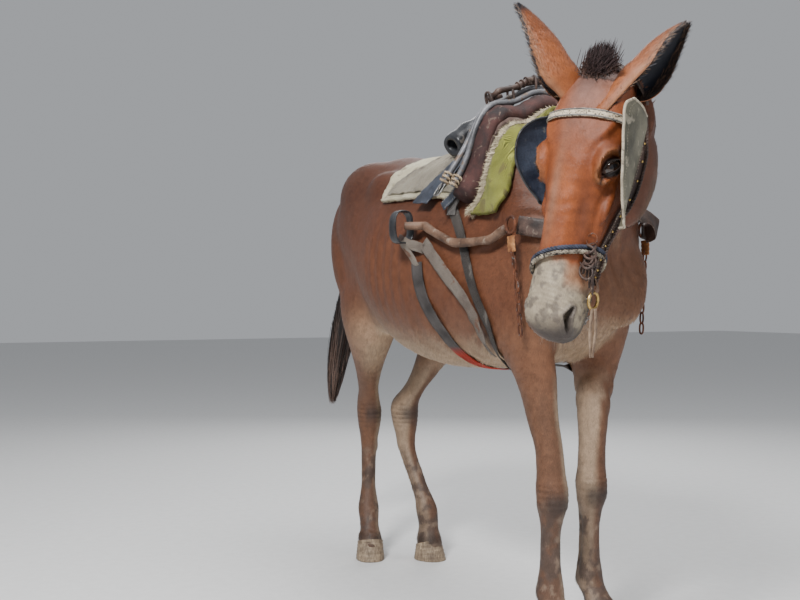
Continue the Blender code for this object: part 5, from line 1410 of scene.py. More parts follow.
def woven_look(name, dark, light, thread=900, rough=0.9, patches=(), patch_scale=10, height=0.0008):
    """Cloth or webbing: crossing threads over stained patches."""
    look = Look(name, rough, 0.2)
    vector = look.coords()
    across = look.wave(look.coords((1, 1, 1), (0, 0, 0.2)), thread, "DIAGONAL", 1.5)
    upright = look.wave(vector, thread * 0.8, "Z", 1.5)
    broad = look.noise(vector, patch_scale, 7, 0.6)
    fuzz = look.noise(vector, 500, 3)
    tone = look.ramp(broad, ((0.30, dark), (0.70, light)))
    spots = look.noise(look.coords(), patch_scale * 2.2, 8, 0.5)
    for at, colour in patches:
        share = look.ramp(spots, ((at, (0, 0, 0)), (min(at + 0.08, 1), (1, 1, 1))))
        tone = look.mix(tone, colour, share)
    threads = look.mix(look.ramp(across, ((0, (0.80,) * 3), (1, (1.14,) * 3))),
                       look.ramp(upright, ((0, (0.84,) * 3), (1, (1.10,) * 3))), 1.0, "MULTIPLY")
    tone = look.mix(tone, threads, 1.0, "MULTIPLY")
    look.colour(look.mix(tone, look.ramp(fuzz, ((0.3, (0.85,) * 3), (0.7, (1.12,) * 3))), 1.0,
                         "MULTIPLY"))
    first = look.bump(across, height, 0.7)
    second = look.bump(upright, height, 0.7, first)
    look.bump(fuzz, height, 0.5, second)
    socket(look.shader, "Sheen Weight", 0.15)
    return look.material


def wear(item, material, smooth=True):
    """Give an object one material, smooth unless it is to stay faceted."""
    item.data.materials.clear()
    item.data.materials.append(material)
    item.data.polygons.foreach_set("use_smooth", np.full(len(item.data.polygons), smooth))
    return item


def roughen(item, height, scale, seed=0, sideways=0.0):
    """Push the surface in and out by smooth noise, so that edges and faces are not perfect."""
    mesh = item.data
    place, normal = places_of(mesh), normals_of(mesh)
    push = (cloud(place, scale, seed) - 0.5) * 2 * height
    place = place + push[:, None] * normal
    if sideways:
        drift = np.stack([cloud(place, scale * 0.7, seed + 5 + k) - 0.5 for k in range(3)], axis=1)
        place = place + drift * 2 * sideways
    put_places(mesh, place)
    return item


def ribbons(name, lines, width, facing, colour, root_normal, collection):
    """Long tapering hairs along given lines, as one mesh with colours and root unwraps."""
    count, steps = lines.shape[:2]
    ahead = np.gradient(lines, axis=1)
    side = np.cross(ahead, facing[:, None, :])
    side = side / np.maximum(np.linalg.norm(side, axis=2, keepdims=True), 1e-9)
    t = np.linspace(0, 1, steps)[None, :, None]
    half = side * (width[:, None, None] * 0.5 * (1 - 0.55 * t))
    pairs = np.stack((lines - half, lines + half), axis=2)[:, :-1].reshape(count, -1, 3)
    vertices = np.concatenate((pairs, lines[:, -1:]), axis=1)
    each = vertices.shape[1]
    faces = []
    for k in range(steps - 2):
        a = 2 * k
        faces += [(a, a + 1, a + 3), (a, a + 3, a + 2)]
    faces.append((each - 3, each - 2, each - 1))
    faces = (np.arange(count)[:, None, None] * each + np.array(faces)[None]).reshape(-1, 3)
    if colour.ndim == 2:
        colour = np.repeat(colour[:, None], steps, axis=1)
    doubled = np.repeat(colour, 2, axis=1)[:, :-1].reshape(-1, 3)
    across = np.tile(np.array([(k % 2 - 0.5) for k in range(each - 1)] + [0.0]), count)
    return paint_mesh(name, vertices.reshape(-1, 3), faces, doubled,
                      np.repeat(patch(lines[:, 0], root_normal), each, axis=0), collection, across)


def table_at(table, t):
    """Rows of a table at an array of places, straight between its stations."""
    stations = np.array([row[0] for row in table])
    smooth = np.array(smooth_rows(table, np.linspace(stations[0], stations[-1], 80)))
    at = np.linspace(stations[0], stations[-1], 80)
    return np.stack([np.interp(t, at, smooth[:, k]) for k in range(smooth.shape[1])], axis=-1)


def tail_hair(mule):
    """Hair of the tail in clumps, black above and faded at the ends."""
    random = np.random.default_rng(SEED + 1)
    count, steps, clumps = TAIL_HAIRS, 11, TAIL_CLUMPS
    clump = random.integers(0, clumps, count)
    clump_angle = random.random(clumps) * 2 * math.pi
    clump_far = np.sqrt(random.random(clumps)) * 0.9
    angle = random.random(count) * 2 * math.pi
    far = np.sqrt(random.random(count)) * 0.95
    low = 0.62 * random.random(count) ** 1.2
    high = np.clip(0.70 + 0.30 * random.random(count) ** 0.6, low + 0.25, 1.0)
    u = np.linspace(0, 1, steps)[None]
    t = low[:, None] + (high - low)[:, None] * u
    rows = table_at(TAIL, t)
    pull = 0.85 * u ** 0.8
    aside = (np.cos(angle)[:, None] * far[:, None] * (1 - pull)
             + (np.cos(clump_angle) * clump_far)[clump][:, None] * pull)
    ahead = (np.sin(angle)[:, None] * far[:, None] * (1 - pull)
             + (np.sin(clump_angle) * clump_far)[clump][:, None] * pull)
    swing = np.sin(u * 5 + clump[:, None] * 1.7) * 0.10 * u
    lines = rows[:, :, :3].copy()
    lines[:, :, 0] += (aside + swing) * rows[:, :, 3]
    lines[:, :, 1] += (ahead + 0.5 * swing) * rows[:, :, 4]
    lines += (random.random((count, 1, 3)) - 0.5) * 0.006 * u[:, :, None]
    out = np.stack((np.cos(angle), np.sin(angle), 0 * angle), axis=1)
    shade = np.array((0.016, 0.012, 0.011)) * (0.6 + 0.9 * random.random((count, 1, 1)))
    faded = np.array((0.170, 0.105, 0.080)) * (0.5 + 0.8 * random.random((count, 1, 1)))
    share = np.clip((t - 0.50) / 0.5, 0, 1)[:, :, None] * (random.random((count, 1, 1)) > 0.35)
    colour = shade * (1 - share) + faded * share
    return ribbons("tail_hair", lines, 0.0022 + 0.0022 * random.random(count), out, colour, out, mule)


def dock(mule):
    """Fleshy root of the tail, under its hair."""
    ts = np.linspace(0, 0.46, 20)
    rows = table_at(TAIL, ts)
    rings = []
    for i, (x, y, z, wide, fore) in enumerate(rows):
        ahead = Vector(rows[min(i + 1, 19)][:3] - rows[max(i - 1, 0)][:3]).normalized()
        side = (Vector((1, 0, 0)) - ahead * ahead.x).normalized()
        share = 0.72 * math.sqrt(max(1 - ts[i] / 0.48, 0.01))
        rings.append(ring((x, y, z), side, ahead.cross(side), wide * share, fore * share,
                          fore * share, points=24))
    return loft("tail_dock", rings, mule)


def mane_hair(mule):
    """Clipped upright hair along the crest, uneven in length."""
    random = np.random.default_rng(SEED + 2)
    count, steps = MANE_HAIRS, 5
    table = [(i, *crest) for i, (crest, _, _) in enumerate(NECK)]
    place = 1.35 + (len(NECK) - 1.25 - 1.35) * random.random(count)
    root = table_at(table, place)
    ahead = unit(table_at(table, np.clip(place + 0.1, 0, len(NECK) - 1)) - table_at(table, place - 0.1))
    side = unit(np.cross(ahead, np.array((0.0, 0.0, 1.0))))
    rise = np.cross(side, ahead)
    across = random.normal(0, 0.35, count)
    root = root + side * (across * MANE_HALF)[:, None] + rise * 0.002
    tuft = grain(root, 70, 61)
    long = MANE_HEIGHT * (0.40 + 0.52 * tuft + 0.22 * random.random(count))
    long = long * (1 - 0.35 * np.abs(across))
    lean = (across * 0.35 + 0.5 * (grain(root, 45, 63) - 0.5))[:, None] * side
    lean = lean - 0.25 * ahead + (random.random((count, 3)) - 0.5) * 0.25
    u = np.linspace(0, 1, steps)[None, :, None]
    lines = root[:, None] + long[:, None, None] * (rise[:, None] * u + lean[:, None] * u * u * 0.8)
    shade = np.array((0.020, 0.014, 0.012)) * (0.5 + 1.2 * random.random((count, 1, 1)))
    tips = np.array((0.110, 0.070, 0.050)) * (0.5 + random.random((count, 1, 1)))
    colour = shade + (tips - shade) * u ** 2
    return ribbons("mane_hair", lines, 0.0014 + 0.0010 * random.random(count), side, colour, rise, mule)


def forelock_hair(mule):
    """Tuft between the ears, spreading and falling a little forward."""
    random = np.random.default_rng(SEED + 3)
    count, steps = FORELOCK_HAIRS, 7
    along, out, left = (np.array(axis) for axis in head_axes())
    root, middle, tip = (np.array(head_point(s, n, l)) for s, n, l in FORELOCK)
    apart = random.normal(0, 1, (count, 3))
    offset = along * (apart[:, :1] * 0.006) + left * (apart[:, 1:2] * 0.015)
    clump = random.integers(0, 14, count)
    throw = random.normal(0, 1, (14, 3))[clump]
    u = np.linspace(0, 1, steps)[None, :, None]
    reach = 0.30 + 0.34 * random.random((count, 1, 1)) + 0.10 * throw[:, None, :1]
    reach = np.clip(reach, 0.22, 0.80)
    centre = root + (middle - root) * np.minimum(u * 2, 1) + (tip - middle) * np.clip(u * 2 - 1, 0, 1)
    spread = offset[:, None] + (left * throw[:, :1] * 0.016 + along * throw[:, 1:2] * 0.012
                                + out * throw[:, 2:] * 0.006)[:, None] * u ** 1.4
    lines = root + (centre - root) * reach + spread
    shade = np.array((0.024, 0.015, 0.015)) * (0.4 + 1.3 * random.random((count, 1, 1)))
    pale = np.array((0.110, 0.064, 0.050)) * (0.6 + 0.8 * random.random((count, 1, 1)))
    shade = pale + (shade - pale) * np.clip(u * 1.8 - 0.2, 0, 1)
    facing = np.tile(out, (count, 1))
    return ribbons("forelock_hair", lines, 0.0016 + 0.0012 * random.random(count), facing, shade,
                   facing, mule)


def tip_fade(item, tips, share):
    """Lighten the tip of every tuft."""
    data = item.data.attributes["Coat"].data
    colour = np.empty(len(data) * 4)
    data.foreach_get("color", colour)
    colour = colour.reshape(-1, 5, 4)
    colour[:, 4, :3] += (np.array(tips) - colour[:, 4, :3]) * share
    data.foreach_set("color", colour.ravel())
    return item


def fur(skin, mule):
    """Short coat over the whole skin, in pieces by region."""
    sampler = Sampler(skin, SEED)
    pieces = []
    regions = (
        ("coat_face", TUFTS, 0.0060, 0.0011, 0.20, lambda p: head_share(p)),
        ("coat_front", TUFTS, 0.0110, 0.0018, 0.16,
         lambda p: (1 - head_share(p)) * (p[:, 1] < -0.10) * (p[:, 2] > 0.60)),
        ("coat_rear", TUFTS, 0.0115, 0.0019, 0.16,
         lambda p: (p[:, 1] >= -0.10) * (p[:, 2] > 0.60)),
        ("coat_legs", TUFTS, 0.0090, 0.0014, 0.20, lambda p: (p[:, 2] <= 0.60) * 1.0),
    )
    for name, count, long, wide, lift, density in regions:
        root, normal = sampler.roots(count, density)
        chance = sampler.random.random(count)
        s, n, l = head_coords(root)
        head = head_share(root)
        keep = np.ones(count, bool)
        for sign in (1, -1):
            centre = np.array(eye_frame(sign)[0])
            keep &= np.linalg.norm(root - centre, axis=1) > 0.0275
        flat = np.stack((s, n, np.abs(l)), axis=1)
        far, _ = line_distance(flat, NOSTRIL_SLIT)
        keep &= ~((far < 0.012) & (head > 0.5))
        far, _ = line_distance(flat, MOUTH_CURVE)
        keep &= ~((far < 0.005) & (head > 0.5))
        keep &= root[:, 2] > 0.055
        root, normal, chance = root[keep], normal[keep], chance[keep]
        s, n, l, head = s[keep], n[keep], l[keep], head[keep]
        length = long * (0.7 + 0.6 * chance)
        muzzle = ramp(s, 0.40, 0.46) * head
        length = length * (1 - 0.45 * muzzle)
        jaw = head * ramp(-n, 0.16, 0.20)
        length = length * (1 + 0.8 * jaw)
        belly = (1 - head) * ramp(-normal[:, 2], 0.4, 0.9) * ramp(root[:, 2], 0.56, 0.62)
        length = length * (1 + 0.6 * belly)
        heel = bell(root[:, 2] - 0.115, 0.03) * ramp(normal[:, 1], 0.3, 0.9)
        length = length * (1 + 1.6 * heel)
        cuff = bell(root[:, 2] - 0.075, 0.014)
        length = length * (1 + 0.7 * cuff)
        width = np.full(len(root), wide) * (0.7 + 0.6 * sampler.random.random(len(root)))
        way = lie(root, normal)
        side = np.cross(normal, way)
        way = unit(way + side * (sampler.random.normal(0, 0.16, len(root)))[:, None])
        rise = lift * (0.6 + 0.9 * sampler.random.random(len(root))) + 0.2 * belly + 0.25 * heel
        colour = coat_colour(root, normal) * (0.78 + 0.44 * sampler.random.random((len(root), 1)))
        item = blades(name, root - normal * 0.0006, normal, way, length, width, rise, colour, mule)
        pieces.append(tip_fade(item, (0.40, 0.22, 0.12), 0.08))
    return pieces


def whiskers(mule, skin):
    """Long stiff hairs of chin and lips, and the lashes."""
    random = np.random.default_rng(SEED + 4)
    tree = skin_tree([skin])
    along = head_axes()[0]
    lines, widths, colours, ups = [], [], [], []
    for k in range(WHISKERS):
        sign = 1 if k % 2 else -1
        s = 0.50 + 0.09 * random.random()
        n = -0.150 + 0.05 * random.random()
        start = head_point(s, n, sign * (0.005 + 0.045 * random.random()))
        near, normal = tree.find_nearest(start)[:2]
        way = (normal + along * 0.35 * random.random() - Vector((0, 0, 0.5)) * random.random()).normalized()
        long = 0.014 + 0.030 * random.random() ** 2
        droop = Vector((0, 0, -1)) * long * 0.3
        lines.append([near + way * long * u + droop * u * u for u in np.linspace(0, 1, 6)])
        widths.append(0.0005)
        colours.append((0.10, 0.08, 0.07) if k % 3 else (0.45, 0.38, 0.30))
        ups.append(normal)
    for sign in (1, -1):
        centre, gaze, length, above = eye_frame(sign)
        for k in range(LASHES):
            u = -0.019 + 0.038 * random.random()
            v = 0.0118 * max(1 - (u / 0.0215) ** 2, 0.02) ** 0.62 + 0.001
            w = math.sqrt(max((EYE_RADIUS + 0.0022) ** 2 - u * u - v * v, 0))
            root = centre + length * u + above * v + gaze * w
            way = (gaze * 0.9 + above * (0.10 + 0.2 * random.random()) + length * u * 14).normalized()
            long = 0.008 + 0.007 * random.random()
            fall = (above * -0.35 + Vector((0, 0, -0.2))) * long
            lines.append([root + way * long * t + fall * t * t for t in np.linspace(0, 1, 6)])
            widths.append(0.0006)
            colours.append((0.02, 0.016, 0.014))
            ups.append(above)
    return ribbons("whiskers", np.array(lines), np.array(widths), np.array(ups), np.array(colours),
                   np.array(ups), mule)


# Ears, eyes and hooves

def fine_ear(sign, mule):
    """Curled ear with a rounded rim, its colours and the ridges inside."""
    key = "l" if sign > 0 else "r"
    base, grow, opening, wide = ear_axes(sign)
    rows, columns = 40, 29
    ts = np.linspace(0, 1, rows)
    sections = smooth_rows(EAR_SHAPE, ts)
    inner, outer = [], []
    for t, (radius, spread) in zip(ts, sections):
        radius = radius * EAR_BREADTH[key] * (0.66 + 0.34 * ramp(t, 0.0, 0.24))
        sunk = 0.20 * max(0, 0.15 - t) / 0.15
        centre = (base + grow * (EAR_LENGTH * (t - 0.08 - sunk))
                  + opening * radius * EAR_SHIFT[key] * min(1, t * 3))
        low, high = [], []
        for angle in np.radians(np.linspace(-spread, spread, columns)):
            offset = wide * math.sin(angle) - opening * math.cos(angle)
            edge = 1 - (abs(angle) / math.radians(spread)) ** 6
            thick = EAR_SKIN * 0.5 * max(0.35, edge) * (1.3 - 0.5 * t)
            ridge = 0.0009 * math.cos(angle * 9) * (1 - t) * edge
            low.append(centre + offset * (radius - thick - ridge))
            high.append(centre + offset * (radius + thick))
        inner.append(low)
        outer.append(high)
    item = grid_solid("ear_skin_" + key, inner, outer, mule)
    place = places_of(item.data)
    base_at, grow_by = np.array(base), np.array(grow)
    count = rows * columns
    inside = np.zeros(len(place))
    inside[:count] = 1
    t = np.clip((place - base_at) @ grow_by / EAR_LENGTH + 0.08, 0, 1)
    index = np.arange(len(place)) % columns
    rim = ramp(np.abs(index / (columns - 1) * 2 - 1), 0.74, 0.97)
    colour = np.tile(np.array((0.235, 0.070, 0.021)), (len(place), 1))
    colour = mix_in(colour, (0.150, 0.046, 0.018), (1 - inside) * ramp(t, 0.35, 0.85) * 0.55)
    colour = mix_in(colour, (0.008, 0.009, 0.016), inside * ramp(-rim, -1.0, -0.5))
    colour = mix_in(colour, (0.330, 0.170, 0.095), rim * 0.6 * (1 - inside))
    colour = mix_in(colour, (0.012, 0.010, 0.014), ramp(t + 0.10 * rim, 0.84, 0.95))
    colour = colour * (0.8 + 0.4 * cloud(place, 60, 71))[:, None]
    shade = item.data.attributes.new("Coat", "FLOAT_COLOR", "POINT")
    rgba = np.ones((len(place), 4))
    rgba[:, :3] = colour
    shade.data.foreach_set("color", rgba.ravel())
    return item, (grow, opening, inner, outer)


def ear_hair(key, shape, mule):
    """Short coat on the ear's back, a fringe along its rims and longer hair inside."""
    random = np.random.default_rng(SEED + (5 if key == "l" else 6))
    grow, opening, inner, outer = shape
    inner, outer = np.array(inner), np.array(outer)
    rows, columns = inner.shape[:2]
    grow, opening = np.array(grow), np.array(opening)

    def sample(grid, i, j):
        """Places between the grid's rows and columns."""
        a, b = np.floor(i).astype(int), np.floor(j).astype(int)
        a, b = np.clip(a, 0, rows - 2), np.clip(b, 0, columns - 2)
        fi, fj = (i - a)[:, None], (j - b)[:, None]
        return ((grid[a, b] * (1 - fi) + grid[a + 1, b] * fi) * (1 - fj)
                + (grid[a, b + 1] * (1 - fi) + grid[a + 1, b + 1] * fi) * fj)

    parts = []
    i = random.random(EAR_TUFTS) * (rows - 1.5)
    j = random.random(EAR_TUFTS) * (columns - 1)
    out = unit(sample(outer, i, j) - sample(inner, i, j))
    root = sample(outer, i, j)
    t = i / (rows - 1)
    rim = ramp(np.abs(j / (columns - 1) * 2 - 1), 0.80, 0.98)
    colour = np.tile(np.array((0.235, 0.070, 0.021)), (len(root), 1))
    colour = mix_in(colour, (0.150, 0.046, 0.018), ramp(t, 0.35, 0.85) * 0.55)
    colour = mix_in(colour, (0.300, 0.150, 0.080), rim * 0.5)
    colour = mix_in(colour, (0.012, 0.010, 0.014), ramp(t, 0.84, 0.94))
    colour = colour * (0.7 + 0.6 * random.random((len(root), 1)))
    way = unit(np.tile(grow, (len(root), 1)) - out * (out @ grow)[:, None]
               + random.normal(0, 0.12, (len(root), 3)))
    parts.append(blades("ear_coat_" + key, root, out, way, 0.006 + 0.003 * random.random(len(root)),
                        np.full(len(root), 0.0011), np.full(len(root), 0.16), colour, mule))
    i = random.random(EAR_FRINGE) ** 0.8 * (rows - 2)
    edge = random.random(EAR_FRINGE) > 0.5
    j = np.where(edge, 0.0, columns - 1.0) + np.where(edge, 1, -1) * random.random(EAR_FRINGE) * 3.5
    root = sample(inner, i, j)
    out = unit(sample(inner, i, j) - sample(outer, i, j))
    middle = sample(inner, i, np.full(len(i), (columns - 1) / 2))
    way = unit(0.55 * unit(middle - root) + 0.55 * opening + 0.8 * grow
               + random.normal(0, 0.25, (len(root), 3)))
    long = 0.008 + 0.016 * random.random(len(root)) * (1 - 0.5 * i / rows)
    u = np.linspace(0, 1, 5)[None, :, None]
    lines = root[:, None] + (way * long[:, None])[:, None] * u + (grow * long[:, None] * 0.3)[:, None] * u * u
    colour = np.where(random.random((len(root), 1)) > 0.70, np.array((0.200, 0.120, 0.075)),
                      np.array((0.014, 0.012, 0.016))) * (0.6 + 0.8 * random.random((len(root), 1)))
    parts.append(ribbons("ear_fringe_" + key, lines, np.full(len(root), 0.0009), out, colour, out, mule))
    return parts


def fine_hoof(name, mule):
    """Horn with growth rings and an uneven ground edge, its top on the coronet's slope."""
    ahead, side = foot_axes(name)
    centre = Vector((*LIMBS[name][0], 0))
    point, normal = coronet_plane(name, -GAP)
    width, front, back = HOOF_WIDTH / 2, HOOF_LENGTH * 0.54, HOOF_LENGTH * 0.46
    table = ((0.0, 0.985, 0.0), (0.06, 1.0, 0.002), (0.5, 0.955, 0.010), (0.86, 0.915, 0.017),
             (1.0, 0.90, 0.018))
    levels = np.linspace(0, 1, 22)
    rings = []
    for t, (swell, lean) in zip(levels, smooth_rows(table, levels)):
        points = []
        wave = 0.0007 * math.sin(t * 34) + 0.0005 * math.sin(t * 71 + 1)
        for i in range(FINE_RING):
            angle = 2 * math.pi * i / FINE_RING
            forward, aside = math.cos(angle), math.sin(angle)
            notch = 1 - 0.20 * math.exp(-((i - FINE_RING // 2) / 2.4) ** 2)
            chip = 0.0012 * math.sin(i * 1.9) * math.sin(i * 0.7) * math.exp(-t * 16)
            reach = front * swell - lean if forward > 0 else (back * swell - lean * 0.1) * notch
            aside = math.copysign(abs(aside) ** 0.85, aside)
            foot = (centre + ahead * forward * (reach + wave - abs(chip))
                    + side * aside * (width * swell + wave - abs(chip)))
            top = point.z - ((foot - point).to_2d().dot(normal.to_2d())) / normal.z
            points.append((foot.x, foot.y, top * t))
        rings.append(points)
    return loft("hoof_horn_" + name, rings, mule)


def eyeball(sign, mule):
    """Eye with a slightly bulging cornea."""
    centre, gaze, length, above = eye_frame(sign)
    item = ball("eyeball_" + ("l" if sign > 0 else "r"), centre, EYE_RADIUS - 0.0004, mule, segments=48)
    place = places_of(item.data)
    offset = place - np.array(centre)
    facing = offset @ np.array(gaze) / EYE_RADIUS
    bulge = 1 + 0.035 * ramp(facing, 0.62, 0.88)
    put_places(item.data, np.array(centre) + offset * bulge[:, None])
    shade = item.data.attributes.new("Coat", "FLOAT_COLOR", "POINT")
    u, v = offset @ np.array(length), offset @ np.array(above)
    iris = 1 - ramp(np.hypot(u, v * 1.15), 0.0125, 0.0150)
    pupil = 1 - ramp(np.hypot(u * 0.62, v * 1.25), 0.0052, 0.0066)
    colour = np.tile(np.array((0.035, 0.022, 0.018)), (len(place), 1))
    colour = mix_in(colour, (0.030, 0.013, 0.006), iris)
    colour = mix_in(colour, (0.004, 0.004, 0.006), pupil)
    white = ramp(np.abs(u), 0.0150, 0.0190)
    colour = mix_in(colour, (0.090, 0.060, 0.050), white)
    rgba = np.ones((len(place), 4))
    rgba[:, :3] = colour
    shade.data.foreach_set("color", rgba.ravel())
    return item


# Harness pieces

def merge(name, items, collection):
    """Join several meshes into one object."""
    bm = bmesh.new()
    for item in items:
        bm.from_mesh(item.data)
    discard(items)
    return mesh_object(name, bm, collection)


def oval_link(centre, long_way, short_way, wire, collection, squareness=1.0, steps=28, sides=8):
    """Round wire bent into an oval or, with less than full squareness, a rounded rectangle."""
    centre, long_way, short_way = Vector(centre), Vector(long_way), Vector(short_way)
    axis = long_way.cross(short_way).normalized()
    rows = []
    for i in range(steps):
        angle = 2 * math.pi * i / steps
        c, s = math.cos(angle), math.sin(angle)
        c, s = (math.copysign(abs(v) ** squareness, v) for v in (c, s))
        spot = centre + long_way * c + short_way * s
        way = (long_way.normalized() * c + short_way.normalized() * s).normalized()
        rows.append([spot + (way * math.cos(turn) + axis * math.sin(turn)) * wire
                     for turn in (2 * math.pi * j / sides for j in range(sides))])
    bm = bmesh.new()
    loops = [[bm.verts.new(point) for point in row] for row in rows]
    for i in range(steps):
        first, second = loops[i], loops[(i + 1) % steps]
        for j in range(sides):
            k = (j + 1) % sides
            bm.faces.new((first[j], second[j], second[k], first[k]))
    item = mesh_object("link", bm, collection)
    face_out(item)
    return item


def even_line(points, step):
    """Points at even distances along a line."""
    points = [Vector(point) for point in points]
    far = [0.0]
    for first, second in zip(points, points[1:]):
        far.append(far[-1] + (second - first).length)
    count = max(int(round(far[-1] / step)), 2)
    at = np.linspace(0, far[-1], count + 1)
    table = np.array(points)
    return [Vector([np.interp(d, far, table[:, k]) for k in range(3)]) for d in at]


def line_frames(line, up):
    """Ahead, side and rise at each point, turning as little as possible."""
    frames, side = [], None
    for i in range(len(line)):
        ahead = (line[min(i + 1, len(line) - 1)] - line[max(i - 1, 0)]).normalized()
        if side is None:
            side = Vector(up).cross(ahead)
        side = (side - ahead * side.dot(ahead)).normalized()
        frames.append((ahead, side, ahead.cross(side)))
    return frames


def chain(name, line, length, width, wire, collection):
    """Linked chain along a line, each link turned a quarter from the last."""
    line = even_line(line, length - 2.2 * wire)
    items = []
    for i, (spot, (ahead, side, rise)) in enumerate(zip(line, line_frames(line, (1, 0.2, 0)))):
        way = side if i % 2 else rise
        items.append(oval_link(spot, ahead * (length / 2 - wire), way * (width / 2 - wire), wire,
                               collection, 0.85, 20, 7))
    return merge(name, items, collection)


def twisted(name, line, radius, strand, pitch, up, collection, phase=0.0, sides=8, wobble=0.0):
    """One strand wound round a line."""
    line = even_line(line, pitch / 9)
    points = []
    for i, (spot, (_, side, rise)) in enumerate(zip(line, line_frames(line, up))):
        angle = phase + 2 * math.pi * i / 9
        drift = wobble * math.sin(i * 0.37 + phase)
        points.append(spot + (side * math.cos(angle) + rise * math.sin(angle)) * (radius + drift))
    return tube(name, points, [strand] * len(points), collection, sides=sides, up=up)


def rope(name, line, radius, up, collection, strands=3, pitch=None):
    """Laid rope of a few strands."""
    pitch = pitch or radius * 7
    return merge(name, [twisted("strand", line, radius * 0.52, radius * 0.52, pitch, up, collection,
                                2 * math.pi * k / strands, 7) for k in range(strands)], collection)


def stitches(name, paths, step, long, thick, collection):
    """Short raised stitches along paths of points and normals."""
    vertices, faces = [], []
    for path in paths:
        spots = even_line([point for point, _ in path], step)
        normals = np.array([normal for _, normal in path])
        at = np.linspace(0, len(path) - 1, len(spots))
        for i, spot in enumerate(spots[:-1]):
            ahead = (spots[i + 1] - spot).normalized()
            normal = Vector([np.interp(at[i], range(len(path)), normals[:, k]) for k in range(3)])
            side = ahead.cross(normal).normalized()
            start = len(vertices)
            vertices += [spot - ahead * long / 2, spot + ahead * long / 2, spot + side * thick,
                         spot - side * thick, spot + normal * thick, spot - normal * thick]
            for a, b in ((2, 4), (4, 3), (3, 5), (5, 2)):
                faces += [(start, start + a, start + b), (start + 1, start + b, start + a)]
    mesh = bpy.data.meshes.new(name)
    mesh.from_pydata(vertices, [], faces)
    item = bpy.data.objects.new(name, mesh)
    collection.objects.link(item)
    face_out(item)
    return item


def fine_strap(name, guide, width, thickness, skin, collection, lift=0.003, steps=90, columns=7,
               ragged=0.0006, crown=0.25, closed=False, seed=0):
    """Band along the skin with worn edges, and the paths of its two edges."""
    coarse = strap("guide", guide, width, thickness, skin, collection, lift, CAD_STEPS.get(name, 16), closed)
    inner_line = [vertex.co.copy() for vertex in coarse.data.vertices]
    discard([coarse])
    count = CAD_STEPS.get(name, 16) + 1
    lows = [(inner_line[2 * i], inner_line[2 * i + 1]) for i in range(count)]
    highs = [(inner_line[2 * (count + i)], inner_line[2 * (count + i) + 1]) for i in range(count)]
    rails = [smooth_line([pair[k] for pair in source], steps + 1)
             for source in (lows, highs) for k in (0, 1)]
    inner, outer, edges = [], [], [[], []]
    for i in range(steps + 1):
        low_a, low_b, high_a, high_b = (rail[i] for rail in rails)
        normal = (high_a - low_a + high_b - low_b).normalized()
        side = (low_b - low_a).normalized()
        low, high = [], []
        for k in np.linspace(0, 1, columns):
            edge = abs(2 * k - 1) ** 5
            jag = ragged * math.sin(i * 1.7 + 9 * k + seed) * math.sin(i * 0.61 + seed) * edge
            base = low_a.lerp(low_b, k) + side * (jag if k > 0.5 else -jag)
            low.append(base + normal * thickness * crown * edge)
            high.append(base + normal * thickness * (1 - crown * edge))
        inner.append(low)
        outer.append(high)
        for path, k in zip(edges, (0.13, 0.87)):
            path.append((high_a.lerp(high_b, k) + normal * thickness * 0.02, normal))
    item = grid_solid(name + "_band", inner, outer, collection, closed)
    return roughen(item, 0.0004, 70, seed), edges


def fine_panel(name, table, steps, thickness, skin, collection, lift, wrinkle=0.0, scale=18,
               ragged=0.0, seed=0):
    """Flat thing round the barrel, wrinkled and with an uneven edge."""
    item = panel(name, table, steps, thickness, skin, collection, lift)
    mesh = item.data
    place = places_of(mesh)
    columns = steps[1] + 1
    index = np.arange(len(place)) % ((steps[0] + 1) * columns)
    row, column = index // columns, index % columns
    rim = np.maximum(np.abs(row / steps[0] * 2 - 1), np.abs(column / steps[1] * 2 - 1)) ** 8
    centre = np.stack((place[:, 0] * 0, place[:, 1], np.full(len(place), BARREL_AXIS)), axis=1)
    way = unit(place - centre)
    push = wrinkle * (np.sin((place[:, 1] * 0.9 + place[:, 0] * 0.35) * scale * 6
                             + 5 * cloud(place, scale * 0.5, seed)) * 0.5
                      + 1.6 * (cloud(place, scale, seed + 3) - 0.5))
    jag = ragged * rim * 2 * (cloud(place, 95, seed + 7) - 0.6)
    place = place + way * np.maximum(push, -0.6 * wrinkle)[:, None]
    place[:, 1] += jag * np.sign(column / steps[1] - 0.5)
    place[:, 2] += 0.7 * jag
    put_places(mesh, place)
    return item


def hollow_roll(mule, skin):
    """Leather roll over the back, open at both ends with its hollow showing."""
    angles = np.linspace(SADDLE_ROLL[0][0], SADDLE_ROLL[-1][0], ROLL_STEPS)
    rows = smooth_rows(SADDLE_ROLL, angles)
    centres = []
    for phi, (y,) in zip(angles, rows):
        hit, way = on_barrel(skin, phi, y)
        centres.append((hit + way * (0.028 + ROLL_HALF[1]), way))

    def section(i, share, swirl):
        """Ring of the roll with shallow creases."""
        spot, way = centres[i]
        long, tall = (half * share for half in ROLL_HALF)
        points = ring(spot, Vector((0, 1, 0)), way, long, tall, tall, points=ROLL_POINTS)
        turn = np.arange(ROLL_POINTS) / ROLL_POINTS
        crease = 1 + 0.018 * np.sin(turn * 2 * math.pi * 5 + i * 0.25 + swirl)
        return np.array(spot) + (points - np.array(spot)) * crease[:, None]

    depth = 7
    last = ROLL_STEPS - 1
    rings = [section(depth - k, 0.60, 2) for k in range(depth + 1)]
    rings += [section(0, 0.80, 0)]
    rings += [section(i, 0.965 + 0.03 * math.sin(i * 0.8), 0) for i in range(ROLL_STEPS)]
    rings += [section(last, 0.80, 0)]
    rings += [section(last - k, 0.60, 2) for k in range(depth + 1)]
    return loft("saddle_roll_leather", rings, mule)


